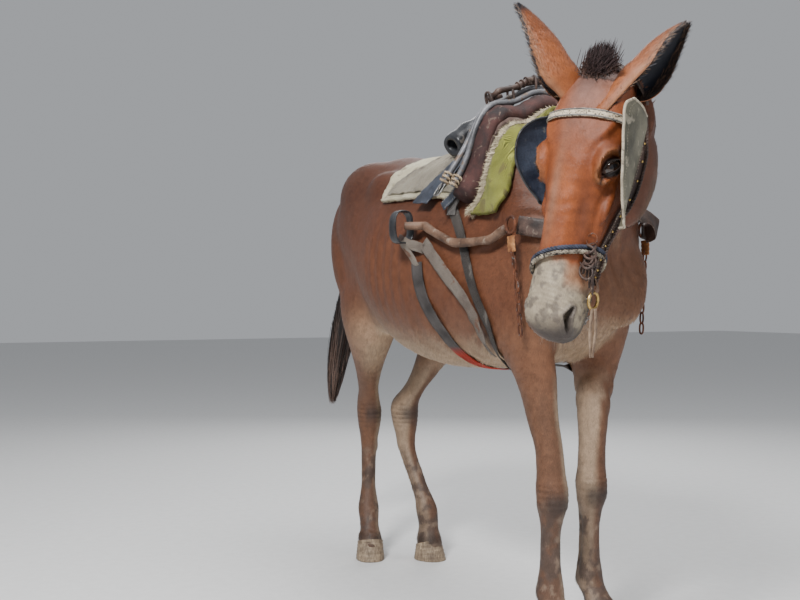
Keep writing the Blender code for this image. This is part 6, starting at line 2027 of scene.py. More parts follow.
def saddle(skin, mule):
    """Cloths, roll, flaps and tug loops."""
    low = fine_panel("saddle_cloth_low", SADDLE_PAD, (110, 60), 0.009, skin, mule, 0.0065, 0.0030, 16,
                     0.0050, 1)
    add(low, LOOKS_OF["cream_cloth"], "saddle_pad", padded=0.35)
    table = ((-47, -0.215, 0.120), (-34, -0.220, 0.100), (-18, -0.228, 0.040), (0, -0.232, 0.030),
             (18, -0.228, 0.040), (34, -0.220, 0.100), (47, -0.215, 0.120))
    top = fine_panel("saddle_cloth_top", table, (110, 50), 0.0030, skin, mule, 0.0175, 0.0030, 26,
                     0.0060, 5)
    add(top, LOOKS_OF["grey_cloth"])
    add(hollow_roll(mule, skin), LOOKS_OF["black_leather"], "saddle_roll")
    for sign, key in ((-1, "r"), (1, "l")):
        flap = [((phi - 3) * sign, first + 0.014, last + 0.020) for phi, first, last in SADDLE_FLAP]
        item = fine_panel("flap_leather_" + key, flap[::sign], (60, 30), 0.0035, skin, mule, 0.0270,
                          0.0016, 22, 0.0045, 9 + sign)
        add(item, LOOKS_OF["flap_leather"], "saddle_flap_" + key)
        guide = [on_barrel(skin, phi * sign, y)[0] for phi, y in SECOND_STRIP]
        band, edges = fine_strap("second_strip_" + key, guide, 0.030, 0.0032, skin, mule, 0.0250, 60,
                                 ragged=0.0016, seed=31)
        add(band, LOOKS_OF["flap_leather"])
        add(stitches("second_stitches_" + key, edges, 0.0075, 0.0055, 0.0008, mule), LOOKS_OF["cream_thread"])
        for name, line, radii in (("side", TUG_TO_SIDE, 0.0170), ("belly", TUG_TO_BELLY, 0.0150)):
            line = smooth_line(mirrored(line, sign), 24)
            item = tube("tug_strap_%s_%s" % (name, key), line, [radii] * 24, mule, sides=22, flat=0.14,
                        up=(1, 0, 0))
            add(roughen(item, 0.0005, 90, 33), LOOKS_OF["stained_webbing"])
        tug(sign, mule)


def tug(sign, mule):
    """Leather loop of two layers, with stitches round its edges."""
    half, tall, deep, thick = TUG_SIZE
    key = "l" if sign > 0 else "r"
    centre = mirrored([TUG_PLACE], sign)[0]
    inner, outer, edges = [], [], [[], []]
    for i in range(FINE_RING):
        angle = 2 * math.pi * i / FINE_RING
        x = math.copysign(abs(math.cos(angle)) ** 0.7, math.cos(angle))
        z = math.copysign(abs(math.sin(angle)) ** 0.7, math.sin(angle))
        way = Vector((x, 0, z)).normalized()
        low, high = [], []
        for k in np.linspace(-1, 1, 9):
            edge = abs(k) ** 6
            bend = 0.0010 * math.sin(k * 2.2 + i * 0.15)
            y = deep / 2 * k
            low.append(centre + Vector((x * (half + thick * 0.2 * edge + bend), y,
                                        z * (tall + thick * 0.2 * edge))))
            high.append(centre + Vector((x * (half + thick * (1 - 0.2 * edge) + bend), y,
                                         z * (tall + thick * (1 - 0.2 * edge)))))
        inner.append(low)
        outer.append(high)
        for path, k in zip(edges, (1, 7)):
            path.append((high[k], way))
    item = grid_solid("tug_leather_" + key, inner, outer, mule, closed=True)
    add(roughen(item, 0.0006, 60, 3), LOOKS_OF["black_leather"], "tug_loop_" + key)
    add(stitches("tug_stitches_" + key, edges, *SMALL_STITCH, mule), LOOKS_OF["thread"])


def collar(skin, mule):
    """Felt, leather roll, hames, their buckles and knots."""
    felt = fine_panel("collar_felt_pad", FELT, (120, 26), 0.012, skin, mule, 0.0100, 0.0014, 30, 0.0050, 13)
    add(felt, LOOKS_OF["felt"], "collar_felt", padded=0.5)
    random = np.random.default_rng(SEED + 9)
    place, normal = places_of(felt.data), normals_of(felt.data)
    columns = 27
    index = np.arange(len(place)) % (121 * columns)
    rear = place[(index % columns >= columns - 3)]
    out = normal[(index % columns >= columns - 3)]
    count = FLEECE_TUFTS
    pick = random.integers(0, len(rear), count)
    root = rear[pick] + random.normal(0, 0.0022, (count, 3))
    way = unit(np.array((0.0, 1.0, -0.15)) + out[pick] * 0.5 + random.normal(0, 0.45, (count, 3)))
    tone = np.array((0.560, 0.480, 0.340)) * (0.55 + 0.6 * random.random((count, 1)))
    fleece = blades("felt_fleece", root, out[pick], way, 0.007 + 0.009 * random.random(count),
                    np.full(count, 0.0013), np.full(count, 0.25), tone, mule, curl=0.25, tiers=3)
    add(fleece, LOOKS_OF["fleece"])
    roll = arch("collar_leather", COLLAR, 0.040, 0.055, skin, mule, 0.013, steps=90, sides=44)
    place = places_of(roll.data)
    ripple = np.sin(place[:, 0] * 230 + 4 * cloud(place, 30, 2))
    put_places(roll.data, place + (0.0012 * ripple)[:, None] * normals_of(roll.data))
    add(roughen(roll, 0.0014, 38, 15), LOOKS_OF["burgundy"], "collar_roll")
    for shift, tall, name in ((-0.030, 0.020, "front"), (0.032, 0.018, "rear")):
        table = [(phi * 0.97, y + shift) for phi, y in COLLAR]
        lining = arch("collar_lining_" + name, table, 0.011, tall, skin, mule, 0.014, steps=70, sides=16)
        add(roughen(lining, 0.0016, 60, 17), LOOKS_OF["lining"])
    for name, (shift, lift) in HAMES.items():
        table = [(phi, y + shift) for phi, y in COLLAR]
        angles = np.linspace(table[0][0], table[-1][0], 64)
        line = []
        for phi, (y,) in zip(angles, smooth_rows(table, angles)):
            hit, way = on_barrel(skin, phi, y)
            line.append(hit + way * (lift + 0.009))
        for _ in range(3):
            line = [line[0]] + [(line[i - 1] + line[i] * 2 + line[i + 1]) / 4
                                for i in range(1, len(line) - 1)] + [line[-1]]
        radii = [0.0055] + [0.0078] * (len(line) - 2) + [0.0055]
        item = tube("hame_tube_" + name, line, radii, mule, sides=20, up=(0, 1, 0))
        add(item, LOOKS_OF["hame"], "hame_" + name)
        for end, key in ((0, "r"), (-1, "l")):
            hame_fittings(line, end, key, name, mule)
    line = []
    for phi, y, height in COLLAR_LOOP:
        hit, way = on_barrel(skin, phi, y)
        line.append(hit + way * (height - 0.008))
    line = smooth_line(line, LOOP_STEPS)
    radii = [0.0078 + 0.0007 * math.sin(i * 0.5) for i in range(LOOP_STEPS)]
    parts = [tube("roll", line, radii, mule, sides=18)]
    for i in (12, 15, 40, 43, 46, 70):
        ahead = (line[i + 1] - line[i - 1]).normalized()
        side = ahead.orthogonal().normalized()
        over = ahead.cross(side)
        circle = [line[i] + (side * math.cos(a) + over * math.sin(a)) * 0.0100
                  for a in np.linspace(0, 2 * math.pi, 22)]
        parts.append(tube("wrap", circle, [0.0022] * 22, mule, sides=8))
    for phi, y in ((-19, -0.312), (-11, -0.322), (-2, -0.326)):
        hit, way = on_barrel(skin, phi, y)
        parts.append(oval_link(hit + way * 0.094, way * 0.024, Vector((0.25, 1, 0)).normalized() * 0.022,
                               0.0036, mule, 0.8, 34, 10))
    add(roughen(merge("collar_roll_loops", parts, mule), 0.0009, 80, 21), LOOKS_OF["dark_leather"],
        "collar_loops")


def hame_fittings(line, end, key, name, mule):
    """Rope knots round the lower end of a hame, and a buckle on the rear one."""
    tip = line[end]
    inward = (line[2 if end == 0 else -3] - tip).normalized()
    side = inward.cross(Vector((0, 1, 0))).normalized()
    turns = []
    for k in range(3):
        centre = tip + inward * (0.006 + 0.0095 * k)
        circle = [centre + (side * math.cos(a) + Vector((0, 1, 0)) * math.sin(a)) * 0.0115
                  + inward * 0.003 * math.sin(a + k) for a in np.linspace(0, 2 * math.pi, 26)]
        turns.append(rope("turn", circle, 0.0034, inward, mule, 2))
    add(merge("hame_rope_%s_%s" % (name, key), turns, mule), LOOKS_OF["rope"])
    if name == "rear":
        centre = tip - inward * 0.018
        items = [oval_link(centre, inward * 0.018, Vector((0, 1, 0)) * 0.015, 0.0023, mule, 0.45, 40, 9),
                 tube("tongue", [centre - inward * 0.016, centre + inward * 0.017 + side * 0.002],
                      [0.0018, 0.0014], mule, sides=8)]
        add(merge("hame_buckle_" + key, items, mule), LOOKS_OF["steel"])


def girths(skin, mule):
    """Straps round the chest and belly, traces, rings, tabs and chains."""
    right, other = mirrored(FRONT_STRAP, -1), mirrored(FRONT_STRAP, 1)
    band, edges = fine_strap("strap_front", right + other[::-1], 0.030, 0.003, skin, mule, 0.0045, 220)
    add(band, LOOKS_OF["dark_webbing"], "strap_front")
    for sign, key in ((-1, "r"), (1, "l")):
        guide = [on_barrel(skin, phi * sign, y)[0] for phi, y in STRAP_TOP]
        band, edges = fine_strap("strap_top_" + key, guide, 0.032, 0.0032, skin, mule, 0.0235, 80, seed=12)
        place = places_of(band.data)
        down = np.clip((1.135 - place[:, 2]) / 0.050, 0, 1)
        middle = np.stack((place[:, 0] * 0, place[:, 1], np.full(len(place), BARREL_AXIS)), axis=1)
        put_places(band.data, place - unit(place - middle) * (0.0155 * down)[:, None])
        add(band, LOOKS_OF["grey_webbing"])
    right, other = mirrored(BELLY_BAND, -1), mirrored(BELLY_BAND, 1)
    band, edges = fine_strap("belly_band", right + other[::-1], BAND_WIDTH, STRAP_THICK,
                             skin, mule, STRAP_LIFT, 200, seed=2)
    add(band, LOOKS_OF["girth"], "belly_band")
    right, other = mirrored(BREAST_STRAP, -1), mirrored(BREAST_STRAP, 1)
    band, edges = fine_strap("breast_strap", right + other[::-1], BAND_WIDTH, 0.005, skin, mule, 0.016,
                             150, seed=3)
    add(band, LOOKS_OF["dark_leather"], "breast_strap")
    add(stitches("breast_stitches", edges, 0.008, 0.0055, 0.0006, mule), LOOKS_OF["thread"])
    for sign, key in ((-1, "r"), (1, "l")):
        band, edges = fine_strap("strap_side_" + key, mirrored(SIDE_STRAP, sign), 0.036, 0.003, skin,
                                 mule, 0.0105, 110, seed=4)
        add(band, LOOKS_OF["stained_webbing"], "strap_side_" + key)
        band, edges = fine_strap("strap_thin_" + key, mirrored(THIN_STRAP, sign), 0.018, STRAP_THICK, skin,
                                 mule, STRAP_LIFT, 50, seed=5)
        add(band, LOOKS_OF["dark_leather"], "strap_thin_" + key)
        line = [skin.find_nearest(point) for point in smooth_line(mirrored(TRACE, sign), 14)]
        line = [near[0] + near[1] * 0.020 for near in line] + mirrored([TRACE_END], sign)
        line = even_line(smooth_line(line, 60), 0.003)
        radii = [0.0112 + 0.0005 * math.sin(i * 0.13) + 0.0003 * math.sin(i * 0.31) for i in range(len(line))]
        item = tube("trace_leather_" + key, line, radii, mule, sides=20)
        add(item, LOOKS_OF["brown_leather"], "trace_" + key)
        centre = mirrored([RING_PLACE], sign)[0]
        item = hoop("breast_ring_iron_" + key, centre, (0, 1, 0), (0, 0, 1), *RING_SIZE, mule, 48, 14)
        add(roughen(item, 0.0003, 160, 4), LOOKS_OF["rust"], "breast_ring_" + key)
        line = smooth_line(mirrored(BREAST_TAB, sign), 26)
        widths = [0.0155 + 0.0008 * math.sin(i * 0.9) for i in range(26)]
        item = tube("breast_tab_leather_" + key, line, widths, mule, sides=22, flat=0.25, up=(1, 0, 0))
        add(item, LOOKS_OF["tan_leather"], "breast_tab_" + key)
        item = chain("breast_links_" + key, mirrored(BREAST_CHAIN, sign), 0.0330, 0.0165, 0.0025, mule)
        add(item, LOOKS_OF["rust"], "breast_chain_" + key)


def fine_blinker(sign, skin, mule):
    """Cupped leather plate with a rolled rim and stitches."""
    left = head_axes()[2]
    key = "l" if sign > 0 else "r"
    table = BLINKER[key]
    places = np.linspace(table[0][0], table[-1][0], 44)
    inner, outer, rim, seam = [], [], [], []
    for s, (rear, front) in zip(places, smooth_rows(table, places)):
        low, high = [], []
        t = (s - places[0]) / (places[-1] - places[0])
        for k in np.linspace(0, 1, 22):
            n = rear + (front - rear) * k
            hit = skin.ray_cast(head_point(s, n, sign * 0.3), -left * sign)[0]
            face = (hit - head_point(0, 0, 0)).dot(left) * sign if hit else 0.05
            bow = math.sin(math.pi * min(max(t, 0.03), 0.97)) ** 0.6 if sign < 0 else 1.0
            stand = 0.100 + (BLINKER_FLARE[key] - 0.100) * math.sin(k * math.pi / 2) * bow
            stand = max(stand * (1 - 0.10 * t), face + 0.006)
            stand += 0.0007 * math.sin(s * 150) * math.sin(k * 9)
            low.append(head_point(s, n, sign * stand))
            high.append(head_point(s, n, sign * (stand + 0.0036)))
        inner.append(low)
        outer.append(high)
        rim.append(low[-1] + (high[-1] - low[-1]) / 2)
        seam.append((high[-4], left * sign))
    ends = [[(row[j] + other[j]) / 2 for j in range(22)]
            for row, other in ((inner[0], outer[0]), (inner[-1], outer[-1]))]
    item = grid_solid("blinker_leather_" + key, inner, outer, mule)
    look = LOOKS_OF["olive_leather" if key == "l" else "blue_leather"]
    add(item, look, "blinker_" + key)
    line = even_line(ends[0] + rim[1:-1] + ends[1][::-1], 0.004)
    item = tube("blinker_rim_" + key, line, [0.0029] * len(line), mule, sides=10)
    add(item, LOOKS_OF["pale_piping" if key == "l" else "black_leather"])
    add(stitches("blinker_stitches_" + key, [seam], 0.0060, 0.0042, 0.0006, mule),
        LOOKS_OF["cream_thread"])


def headstall(skin, mule):
    """Crownpiece, browband, cheekpieces, blinkers, noseband, bit and curb."""
    along, _, left = head_axes()
    band_of = lambda table: [on_head(skin, s, theta)[0] for s, theta in table]
    band, edges = fine_strap("crownpiece", band_of(CROWNPIECE), 0.024, STRAP_THICK,
                             skin, mule, STRAP_LIFT, 130, seed=6)
    add(band, LOOKS_OF["dark_leather"], "crownpiece")
    add(stitches("crown_stitches", edges, 0.0065, 0.0045, 0.0005, mule), LOOKS_OF["thread"])
    band, edges = fine_strap("browband", band_of(BROWBAND), 0.018, STRAP_THICK,
                             skin, mule, STRAP_LIFT, 150, seed=7)
    add(band, LOOKS_OF["browband"], "browband")
    for k, path in enumerate(edges):
        line = even_line([spot for spot, _ in path], 0.005)
        item = tube("brow_piping_%d" % k, line, [0.0016] * len(line), mule, sides=8)
        add(item, LOOKS_OF["grey_piping"])
    hits = []
    for theta in range(-180, 180, 6):
        s = NOSEBAND[0] - NOSEBAND_TILT * math.sin(math.radians(theta))
        hit, way = on_head(skin, s, theta)
        hits.append(hit + way * 0.0068)
    hits = [(hits[i - 1] + hits[i] * 2 + hits[(i + 1) % len(hits)]) / 4 for i in range(len(hits))]
    loop = hits + [hits[0]]
    for k, (look, lower) in enumerate((("blue_rope", -0.0050), ("cream_rope", 0.0052))):
        line = [spot + along * lower for spot in loop]
        item = rope("nose_cord_%d" % k, line, 0.0049, along, mule, 3, 0.022)
        add(roughen(item, 0.0003, 260, k), LOOKS_OF[look], *(["noseband"] if k == 0 else []))
    knots(skin, mule)
    for sign, key in ((-1, "r"), (1, "l")):
        line = band_of([(s, theta * sign) for s, theta in CHEEKPIECE])
        band, edges = fine_strap("cheekpiece_" + key, line, 0.020, STRAP_THICK,
                                 skin, mule, STRAP_LIFT, 110, seed=8)
        add(band, LOOKS_OF["dark_leather" if key == "l" else "pale_strap"], "cheekpiece_" + key)
        cord = even_line([spot + normal * 0.0035 for spot, normal in edges[0]], 0.004)
        add(rope("cheek_cord_" + key, cord, 0.0034, left, mule, 2, 0.014),
            LOOKS_OF["cream_rope" if key == "r" else "dark_leather"])
        add(stitches("cheek_stitches_" + key, edges, *SMALL_STITCH, mule),
            LOOKS_OF["cream_thread"])
        middle = [(a[0].lerp(b[0], 0.5), a[1]) for a, b in zip(*edges)]
        studs = [ball("stud", spot + normal * 0.0003, 0.0028, mule, 12) for spot, normal in middle[8:100:9]]
        add(merge("cheek_studs_" + key, studs, mule), LOOKS_OF["brass"])
        fine_blinker(sign, skin, mule)
        bit_side(sign, key, skin, mule)
    guide = [head_point(s, n, l) for s, n, l in CURB_GUIDE]
    line = [skin.find_nearest(point) for point in smooth_line(guide, 13)]
    line = smooth_line([near[0] + near[1] * 0.0075 for near in line], 60)
    add(chain("curb_chain", line, 0.0105, 0.0075, 0.0013, mule), LOOKS_OF["steel"], "curb_strap")


def knots(skin, mule):
    """Tangle of thongs where the noseband meets the left cheekpiece, with hanging ends."""
    random = np.random.default_rng(SEED + 21)
    along, _, left = head_axes()
    spot, way = on_head(skin, 0.395, 62)
    spot = spot + way * 0.012
    parts = []
    for k in range(7):
        turn = Vector(random.normal(0, 1, 3)).normalized()
        side = turn.orthogonal().normalized()
        over = turn.cross(side)
        middle = spot + along * float(random.normal(0.012, 0.014)) + left * float(random.normal(0, 0.004))
        size = 0.009 + 0.006 * random.random()
        circle = [middle + (side * math.cos(a) * 1.3 + over * math.sin(a)) * size
                  for a in np.linspace(0, 2 * math.pi, 24)]
        parts.append(tube("thong", circle, [0.0027] * 24, mule, sides=9))
    for k in range(4):
        start = spot + along * (0.004 + 0.008 * k) + left * 0.004 * (k - 1.5)
        ends = [start, start + Vector((0.004 * (k - 1), 0.002, -0.022)),
                start + Vector((0.006 * (k - 1.5), 0.004, -0.046 - 0.006 * k))]
        parts.append(tube("end", smooth_line(ends, 16), [0.0042] * 15 + [0.0020], mule, sides=10, flat=0.35,
                          up=left))
    add(roughen(merge("knot_bundle", parts, mule), 0.0005, 160, 41), LOOKS_OF["dark_leather"])
    ring_spot = on_head(skin, 0.372, 60)
    item = hoop("rust_ring", ring_spot[0] + ring_spot[1] * 0.010, along, left, 0.0125, 0.0018, mule, 40, 10)
    add(item, LOOKS_OF["rust"])


def bit_side(sign, key, skin, mule):
    """Ring of the bit, its mouthpiece end, the shank and the strap that holds it."""
    along, out, left = head_axes()
    s, n, l = BIT_PLACE
    hit = skin.find_nearest(head_point(s, n, l * sign))
    centre = hit[0] + left * sign * 0.012
    item = hoop("bit_brass_" + key, centre, along, out, *BIT_SIZE, mule, 48, 14)
    add(item, LOOKS_OF["brass"], "bit_ring_" + key)
    bar = tube("bit_bar_" + key, [centre - left * sign * 0.018 + out * 0.004, centre - left * sign * 0.004
                                  + out * 0.004], [0.0045, 0.0050], mule, sides=16)
    add(bar, LOOKS_OF["steel"])
    top = skin.find_nearest(head_point(0.445, -0.105, l * sign * 1.1))
    line = [top[0] + top[1] * 0.005, centre - along * 0.024 + left * sign * 0.004, centre - along * 0.015]
    line = smooth_line(line, 16)
    item = tube("bit_hanger_" + key, line, [0.0062] * 16, mule, sides=14, flat=0.3, up=left)
    add(item, LOOKS_OF["brown_leather"])
    if sign < 0:
        return
    ends = []
    for k in (-1, 1):
        low = centre + Vector((0.004 * k, -0.002, -0.016))
        line = smooth_line([low, low + Vector((0.003 * k, 0.003, -0.045)),
                            low + Vector((-0.002 * k, 0.008, -0.100))], 20)
        ends.append(tube("shank", line, [0.0048] * 20, mule, sides=12, flat=0.4, up=left))
    add(roughen(merge("bit_shank_" + key, ends, mule), 0.0004, 150, 43), LOOKS_OF["tan_strap"])


# Putting the scene together

def add(item, look, *nodes, padded=None):
    """Give a piece its look and remember which nodes it stands for."""
    wear(item, look)
    MADE.append((item, nodes, padded))
    return item


def all_looks():
    """Every material of the tack, by its name."""
    materials = [
        worn_look("black_leather", (0.008, 0.008, 0.010), (0.040, 0.042, 0.046), 0.36, 260, 0.0006,
                  patches=((0.64, (0.090, 0.080, 0.072)),), patch_scale=20),
        worn_look("flap_leather", (0.010, 0.011, 0.016), (0.070, 0.080, 0.105), 0.34, 240, 0.0008,
                  patches=((0.64, (0.150, 0.150, 0.150)),), patch_scale=16),
        worn_look("dark_leather", (0.018, 0.010, 0.008), (0.085, 0.050, 0.038), 0.55, 320, 0.0006,
                  patches=((0.60, (0.150, 0.110, 0.085)),), patch_scale=26),
        worn_look("brown_leather", (0.050, 0.024, 0.014), (0.190, 0.110, 0.070), 0.60, 300, 0.0006,
                  patches=((0.60, (0.260, 0.190, 0.140)),), patch_scale=24),
        worn_look("tan_leather", (0.170, 0.060, 0.020), (0.420, 0.190, 0.070), 0.62, 260, 0.0006,
                  patch_scale=30),
        worn_look("olive_leather", (0.060, 0.056, 0.040), (0.190, 0.175, 0.125), 0.52, 260, 0.0005,
                  patches=((0.60, (0.280, 0.250, 0.190)),), patch_scale=14),
        worn_look("blue_leather", (0.012, 0.015, 0.026), (0.070, 0.085, 0.120), 0.48, 260, 0.0005,
                  patches=((0.62, (0.170, 0.160, 0.150)),), patch_scale=14),
        worn_look("burgundy", (0.014, 0.007, 0.007), (0.070, 0.026, 0.022), 0.78, 420, 0.0016,
                  patches=((0.60, (0.110, 0.070, 0.055)),), patch_scale=22),
        woven_look("lining", (0.110, 0.060, 0.050), (0.270, 0.180, 0.150), 700, 0.92,
                   patches=((0.58, (0.380, 0.300, 0.250)),), patch_scale=18),
        worn_look("hame", (0.070, 0.070, 0.075), (0.240, 0.240, 0.255), 0.46, 180, 0.0003, 0.25,
                  patches=((0.58, (0.150, 0.110, 0.085)), (0.68, (0.110, 0.050, 0.025))), patch_scale=12,
                  stretch=(1, 0.5, 1)),
        worn_look("steel", (0.130, 0.125, 0.120), (0.420, 0.410, 0.400), 0.38, 260, 0.0002, 0.9,
                  patches=((0.60, (0.160, 0.070, 0.035)),), patch_scale=60),
        worn_look("rust", (0.040, 0.014, 0.008), (0.170, 0.058, 0.026), 0.72, 420, 0.0006, 0.35,
                  patches=((0.60, (0.130, 0.120, 0.115)),), patch_scale=55),
        worn_look("brass", (0.330, 0.200, 0.060), (0.620, 0.430, 0.160), 0.34, 300, 0.0002, 0.95,
                  patches=((0.62, (0.160, 0.100, 0.045)),), patch_scale=60),
        woven_look("felt", (0.170, 0.180, 0.026), (0.460, 0.460, 0.090), 420, 0.98,
                   patches=((0.58, (0.220, 0.190, 0.060)), (0.74, (0.420, 0.380, 0.240))), patch_scale=13,
                   height=0.0016),
        coat_look("fleece", 0.95, 0.3),
        woven_look("grey_cloth", (0.230, 0.200, 0.150), (0.430, 0.380, 0.290), 650, 0.95,
                   patches=((0.58, (0.160, 0.130, 0.100)), (0.68, (0.520, 0.480, 0.390))), patch_scale=9,
                   height=0.0009),
        woven_look("cream_cloth", (0.560, 0.480, 0.300), (0.800, 0.740, 0.550), 800, 0.92,
                   patches=((0.60, (0.400, 0.330, 0.210)),), patch_scale=9),
        woven_look("grey_webbing", (0.090, 0.080, 0.076), (0.260, 0.240, 0.225), 1100, 0.85,
                   patches=((0.56, (0.050, 0.032, 0.026)), (0.68, (0.330, 0.300, 0.270))), patch_scale=12),
        woven_look("dark_webbing", (0.022, 0.015, 0.012), (0.100, 0.082, 0.070), 1100, 0.85,
                   patches=((0.60, (0.170, 0.150, 0.130)),), patch_scale=12),
        woven_look("pale_strap", (0.300, 0.240, 0.170), (0.620, 0.540, 0.420), 1000, 0.85,
                   patches=((0.58, (0.120, 0.080, 0.060)),), patch_scale=24),
        worn_look("tan_strap", (0.130, 0.080, 0.052), (0.340, 0.240, 0.165), 0.7, 300, 0.0005,
                  patches=((0.60, (0.090, 0.060, 0.045)),), patch_scale=40),
        woven_look("stained_webbing", (0.160, 0.120, 0.095), (0.330, 0.280, 0.230), 1100, 0.85,
                   patches=((0.57, (0.200, 0.085, 0.040)),), patch_scale=16),
        girth_look(),
        browband_look(),
        worn_look("grey_piping", (0.090, 0.085, 0.080), (0.240, 0.225, 0.210), 0.6, 420, 0.0003,
                  patch_scale=60),
        worn_look("pale_piping", (0.260, 0.220, 0.160), (0.520, 0.460, 0.350), 0.62, 420, 0.0003,
                  patches=((0.60, (0.110, 0.085, 0.065)),), patch_scale=60),
        worn_look("thread", (0.050, 0.036, 0.028), (0.170, 0.130, 0.100), 0.8, 900, 0.0001,
                  patch_scale=50),
        worn_look("cream_thread", (0.330, 0.280, 0.200), (0.600, 0.530, 0.410), 0.8, 900, 0.0001,
                  patch_scale=50),
        worn_look("rope", (0.250, 0.180, 0.110), (0.520, 0.410, 0.280), 0.92, 700, 0.0006,
                  patches=((0.62, (0.160, 0.110, 0.070)),), patch_scale=60),
        worn_look("blue_rope", (0.010, 0.012, 0.022), (0.055, 0.062, 0.095), 0.8, 700, 0.0006,
                  patch_scale=50),
        worn_look("cream_rope", (0.060, 0.048, 0.038), (0.420, 0.360, 0.270), 0.88, 700, 0.0006,
                  patches=((0.52, (0.030, 0.024, 0.022)),), patch_scale=46),
    ]
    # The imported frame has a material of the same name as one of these, so that one ends in a number
    return {material.name.split(".")[0]: material for material in materials}


def girth_look():
    """Grey girth with a red lower stretch."""
    look = Look("girth", 0.82, 0.25)
    source = look.nodes.new("ShaderNodeTexCoord")
    parts = look.nodes.new("ShaderNodeSeparateXYZ")
    look.links.new(source.outputs["Object"], parts.inputs["Vector"])
    vector = look.coords()
    broad = look.noise(vector, 16, 6, 0.4)
    across = look.wave(vector, 1000, "Y", 1.0)
    upright = look.wave(vector, 900, "Z", 1.0)
    grey = look.ramp(broad, ((0.3, (0.035, 0.030, 0.030)), (0.7, (0.140, 0.125, 0.118))))
    red = look.ramp(broad, ((0.3, (0.360, 0.030, 0.014)), (0.7, (0.620, 0.055, 0.025))))
    height = look.nodes.new("ShaderNodeMapRange")
    height.inputs["From Min"].default_value = 0.725
    height.inputs["From Max"].default_value = 0.700
    look.links.new(parts.outputs["Z"], height.inputs["Value"])
    tone = look.mix(grey, red, height.outputs["Result"])
    threads = look.mix(look.ramp(across, ((0, (0.8,) * 3), (1, (1.12,) * 3))),
                       look.ramp(upright, ((0, (0.84,) * 3), (1, (1.10,) * 3))), 1.0, "MULTIPLY")
    look.colour(look.mix(tone, threads, 1.0, "MULTIPLY"))
    first = look.bump(across, 0.0006, 0.7)
    look.bump(upright, 0.0006, 0.7, first)
    return look.material


def browband_look():
    """Cream band with dark specks."""
    look = Look("browband", 0.75, 0.3)
    vector = look.coords()
    broad = look.noise(vector, 40, 6, 0.4)
    fine = look.noise(vector, 260, 3)
    tone = look.ramp(broad, ((0.3, (0.400, 0.320, 0.220)), (0.7, (0.680, 0.590, 0.440))))
    specks = look.ramp(fine, ((0.40, (0.10, 0.08, 0.07)), (0.47, (1.0, 1.0, 1.0))))
    look.colour(look.mix(tone, specks, 1.0, "MULTIPLY"))
    first = look.bump(broad, 0.0010, 0.6)
    look.bump(fine, 0.0006, 0.8, first)
    return look.material


def eye_look():
    """Wet, nearly black eye."""
    look = Look("eye", 0.06, 0.6)
    socket(look.shader, "Coat Weight", 0.35)
    socket(look.shader, "Coat Roughness", 0.02)
    fine = look.noise(look.coords(), 500, 3)
    tone = look.mix(look.attribute("Coat"), look.ramp(fine, ((0.3, (0.75,) * 3), (0.7, (1.3,) * 3))), 1.0,
                    "MULTIPLY")
    look.colour(tone)
    look.bump(fine, 0.00006, 0.15)
    return look.material


def horn_look():
    """Tan horn with streaks down the wall and rings round it."""
    look = Look("horn", 0.62, 0.4)
    streaks = look.noise(look.coords((1, 1, 0.10)), 260, 5, 0.3)
    rings = look.noise(look.coords((0.15, 0.15, 1)), 160, 4, 0.2)
    broad = look.noise(look.coords(), 34, 5, 0.3)
    tone = look.ramp(streaks, ((0.28, (0.150, 0.110, 0.080)), (0.72, (0.440, 0.350, 0.250))))
    tone = look.mix(tone, look.ramp(broad, ((0.35, (0.62, 0.58, 0.55)), (0.7, (1.12, 1.08, 1.0)))), 1.0,
                    "MULTIPLY")
    look.colour(look.mix(tone, look.ramp(rings, ((0.3, (0.80,) * 3), (0.7, (1.12,) * 3))), 1.0, "MULTIPLY"))
    first = look.bump(rings, 0.0012, 0.8)
    look.bump(streaks, 0.0004, 0.6, first)
    return look.material


def floor_and_light(shift):
    """Pale floor, soft lights and the camera at the photograph's place."""
    bpy.ops.mesh.primitive_plane_add(size=40, location=(0, 0, 0))
    floor = bpy.context.object
    floor.name = "floor"
    look = Look("floor", 0.9, 0.2)
    fine = look.noise(look.coords(), 30, 4)
    look.colour(look.ramp(fine, ((0.3, (0.66, 0.66, 0.655)), (0.7, (0.70, 0.70, 0.695)))))
    floor.data.materials.append(look.material)
    aim = Vector((0, 0, 0.9))
    right = Vector((0.8894, -0.4571, 0))
    lamps = (("key", PHOTO_CAMERA + shift - right * 1.1 + Vector((0, 0, 2.6)), 0.8, 235),
             ("fill", PHOTO_CAMERA + shift + right * 2.6 + Vector((0, 0, 0.8)), 2.6, 30),
             ("top", Vector((0.4, -0.4, 4.2)), 2.4, 105),
             ("back", Vector((1.8, 3.2, 2.6)), 2.2, 60))
    for name, place, size, power in lamps:
        lamp = bpy.data.lights.new(name, "AREA")
        lamp.energy = power
        lamp.size = size
        item = bpy.data.objects.new(name, lamp)
        item.location = place
        item.rotation_euler = (aim - Vector(place)).to_track_quat("-Z", "Y").to_euler()
        bpy.context.scene.collection.objects.link(item)
    world = bpy.data.worlds.new("studio")
    world.use_nodes = True
    background = world.node_tree.nodes["Background"]
    background.inputs["Color"].default_value = (0.92, 0.95, 1.0, 1)
    background.inputs["Strength"].default_value = 0.42
    bpy.context.scene.world = world
    lens = bpy.data.cameras.new("camera")
    lens.lens = PHOTO_LENS
    camera = bpy.data.objects.new("camera", lens)
    camera.location = PHOTO_CAMERA + shift
    camera.rotation_euler = PHOTO_AHEAD.to_track_quat("-Z", "Y").to_euler()
    bpy.context.scene.collection.objects.link(camera)
    bpy.context.scene.camera = camera


def frame_shift():
    """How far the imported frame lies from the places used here."""
    low, high = (Vector(corner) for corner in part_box("eye_l"))
    return (low + high) / 2 - head_point(*EYE_PLACE)


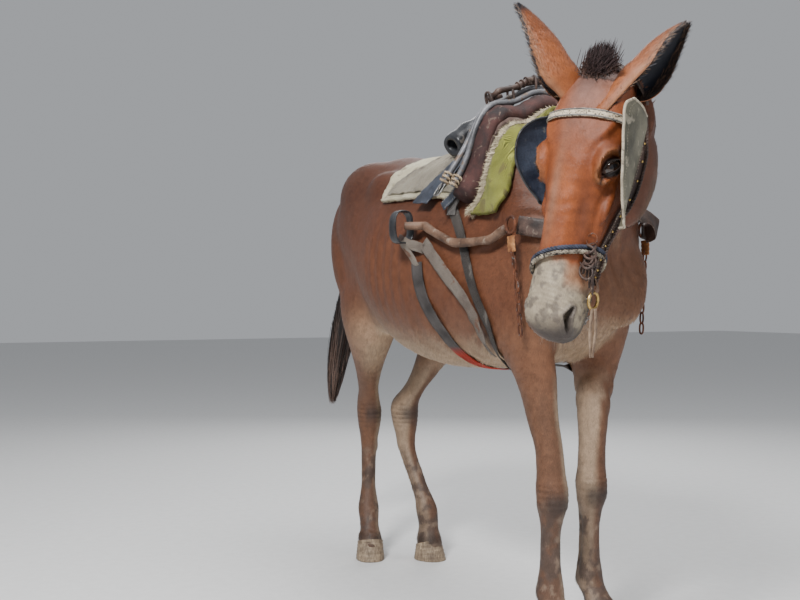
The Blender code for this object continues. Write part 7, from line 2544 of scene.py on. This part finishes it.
def near_copy(names, shift):
    """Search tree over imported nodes, moved to the places used here."""
    items = []
    for name in names:
        twin = bpy.data.objects.new("near_" + name, bpy.data.objects[name].data.copy())
        twin.data.transform(Matrix.Translation(-shift))
        items.append(twin)
    tree = skin_tree(items)
    discard(items)
    return tree


def main():
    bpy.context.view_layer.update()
    shift = frame_shift()
    mule = bpy.data.collections.new("mule_looks")
    work = bpy.data.collections.new("scene_work")
    for group in (mule, work):
        bpy.context.scene.collection.children.link(group)
    legs = ["leg_" + name for name in LIMBS]
    barrel = near_copy(["neck", "torso"] + legs, shift)
    face = near_copy(["head", "neck"], shift)
    LOOKS_OF.update(all_looks())
    skin_material = coat_look("skin", 0.55)
    hair_material = coat_look("short_hair", 0.48, 0.1)
    long_material = coat_look("long_hair", 0.45)
    skin = build_skin(work)
    place, normal = places_of(skin.data), normals_of(skin.data)
    rgba = np.ones((len(place), 4))
    rgba[:, :3] = coat_colour(place, normal)
    shade = skin.data.attributes.new("Coat", "FLOAT_COLOR", "POINT")
    shade.data.foreach_set("color", rgba.ravel())
    skin.name = "skin"
    mule.objects.link(skin)
    add(skin, skin_material, "head", "neck", "torso", *legs)
    for item in fur(skin, mule):
        add(item, hair_material)
    add(whiskers(mule, skin), long_material)
    for sign, key in ((1, "l"), (-1, "r")):
        add(eyeball(sign, mule), eye_look(), "eye_" + key)
        item, shape = fine_ear(sign, mule)
        add(item, skin_material, "ear_" + key)
        for part in ear_hair(key, shape, mule):
            add(part, hair_material)
    horn = horn_look()
    for name in LIMBS:
        add(fine_hoof(name, mule), horn, "hoof_" + name)
    add(dock(mule), LOOKS_OF["dark_leather"])
    add(tail_hair(mule), long_material, "tail")
    add(mane_hair(mule), long_material, "mane")
    add(forelock_hair(mule), long_material, "forelock")
    saddle(barrel, mule)
    collar(barrel, mule)
    girths(barrel, mule)
    headstall(face, mule)
    for item in list(work.objects):
        if item is not skin:
            bpy.data.objects.remove(item)
    work.objects.unlink(skin)
    bpy.data.collections.remove(work)
    for item, nodes, padded in MADE:
        item.data.transform(Matrix.Translation(shift))
        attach(item, "root")
        if nodes:
            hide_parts(*nodes)
    floor_and_light(shift)


main()
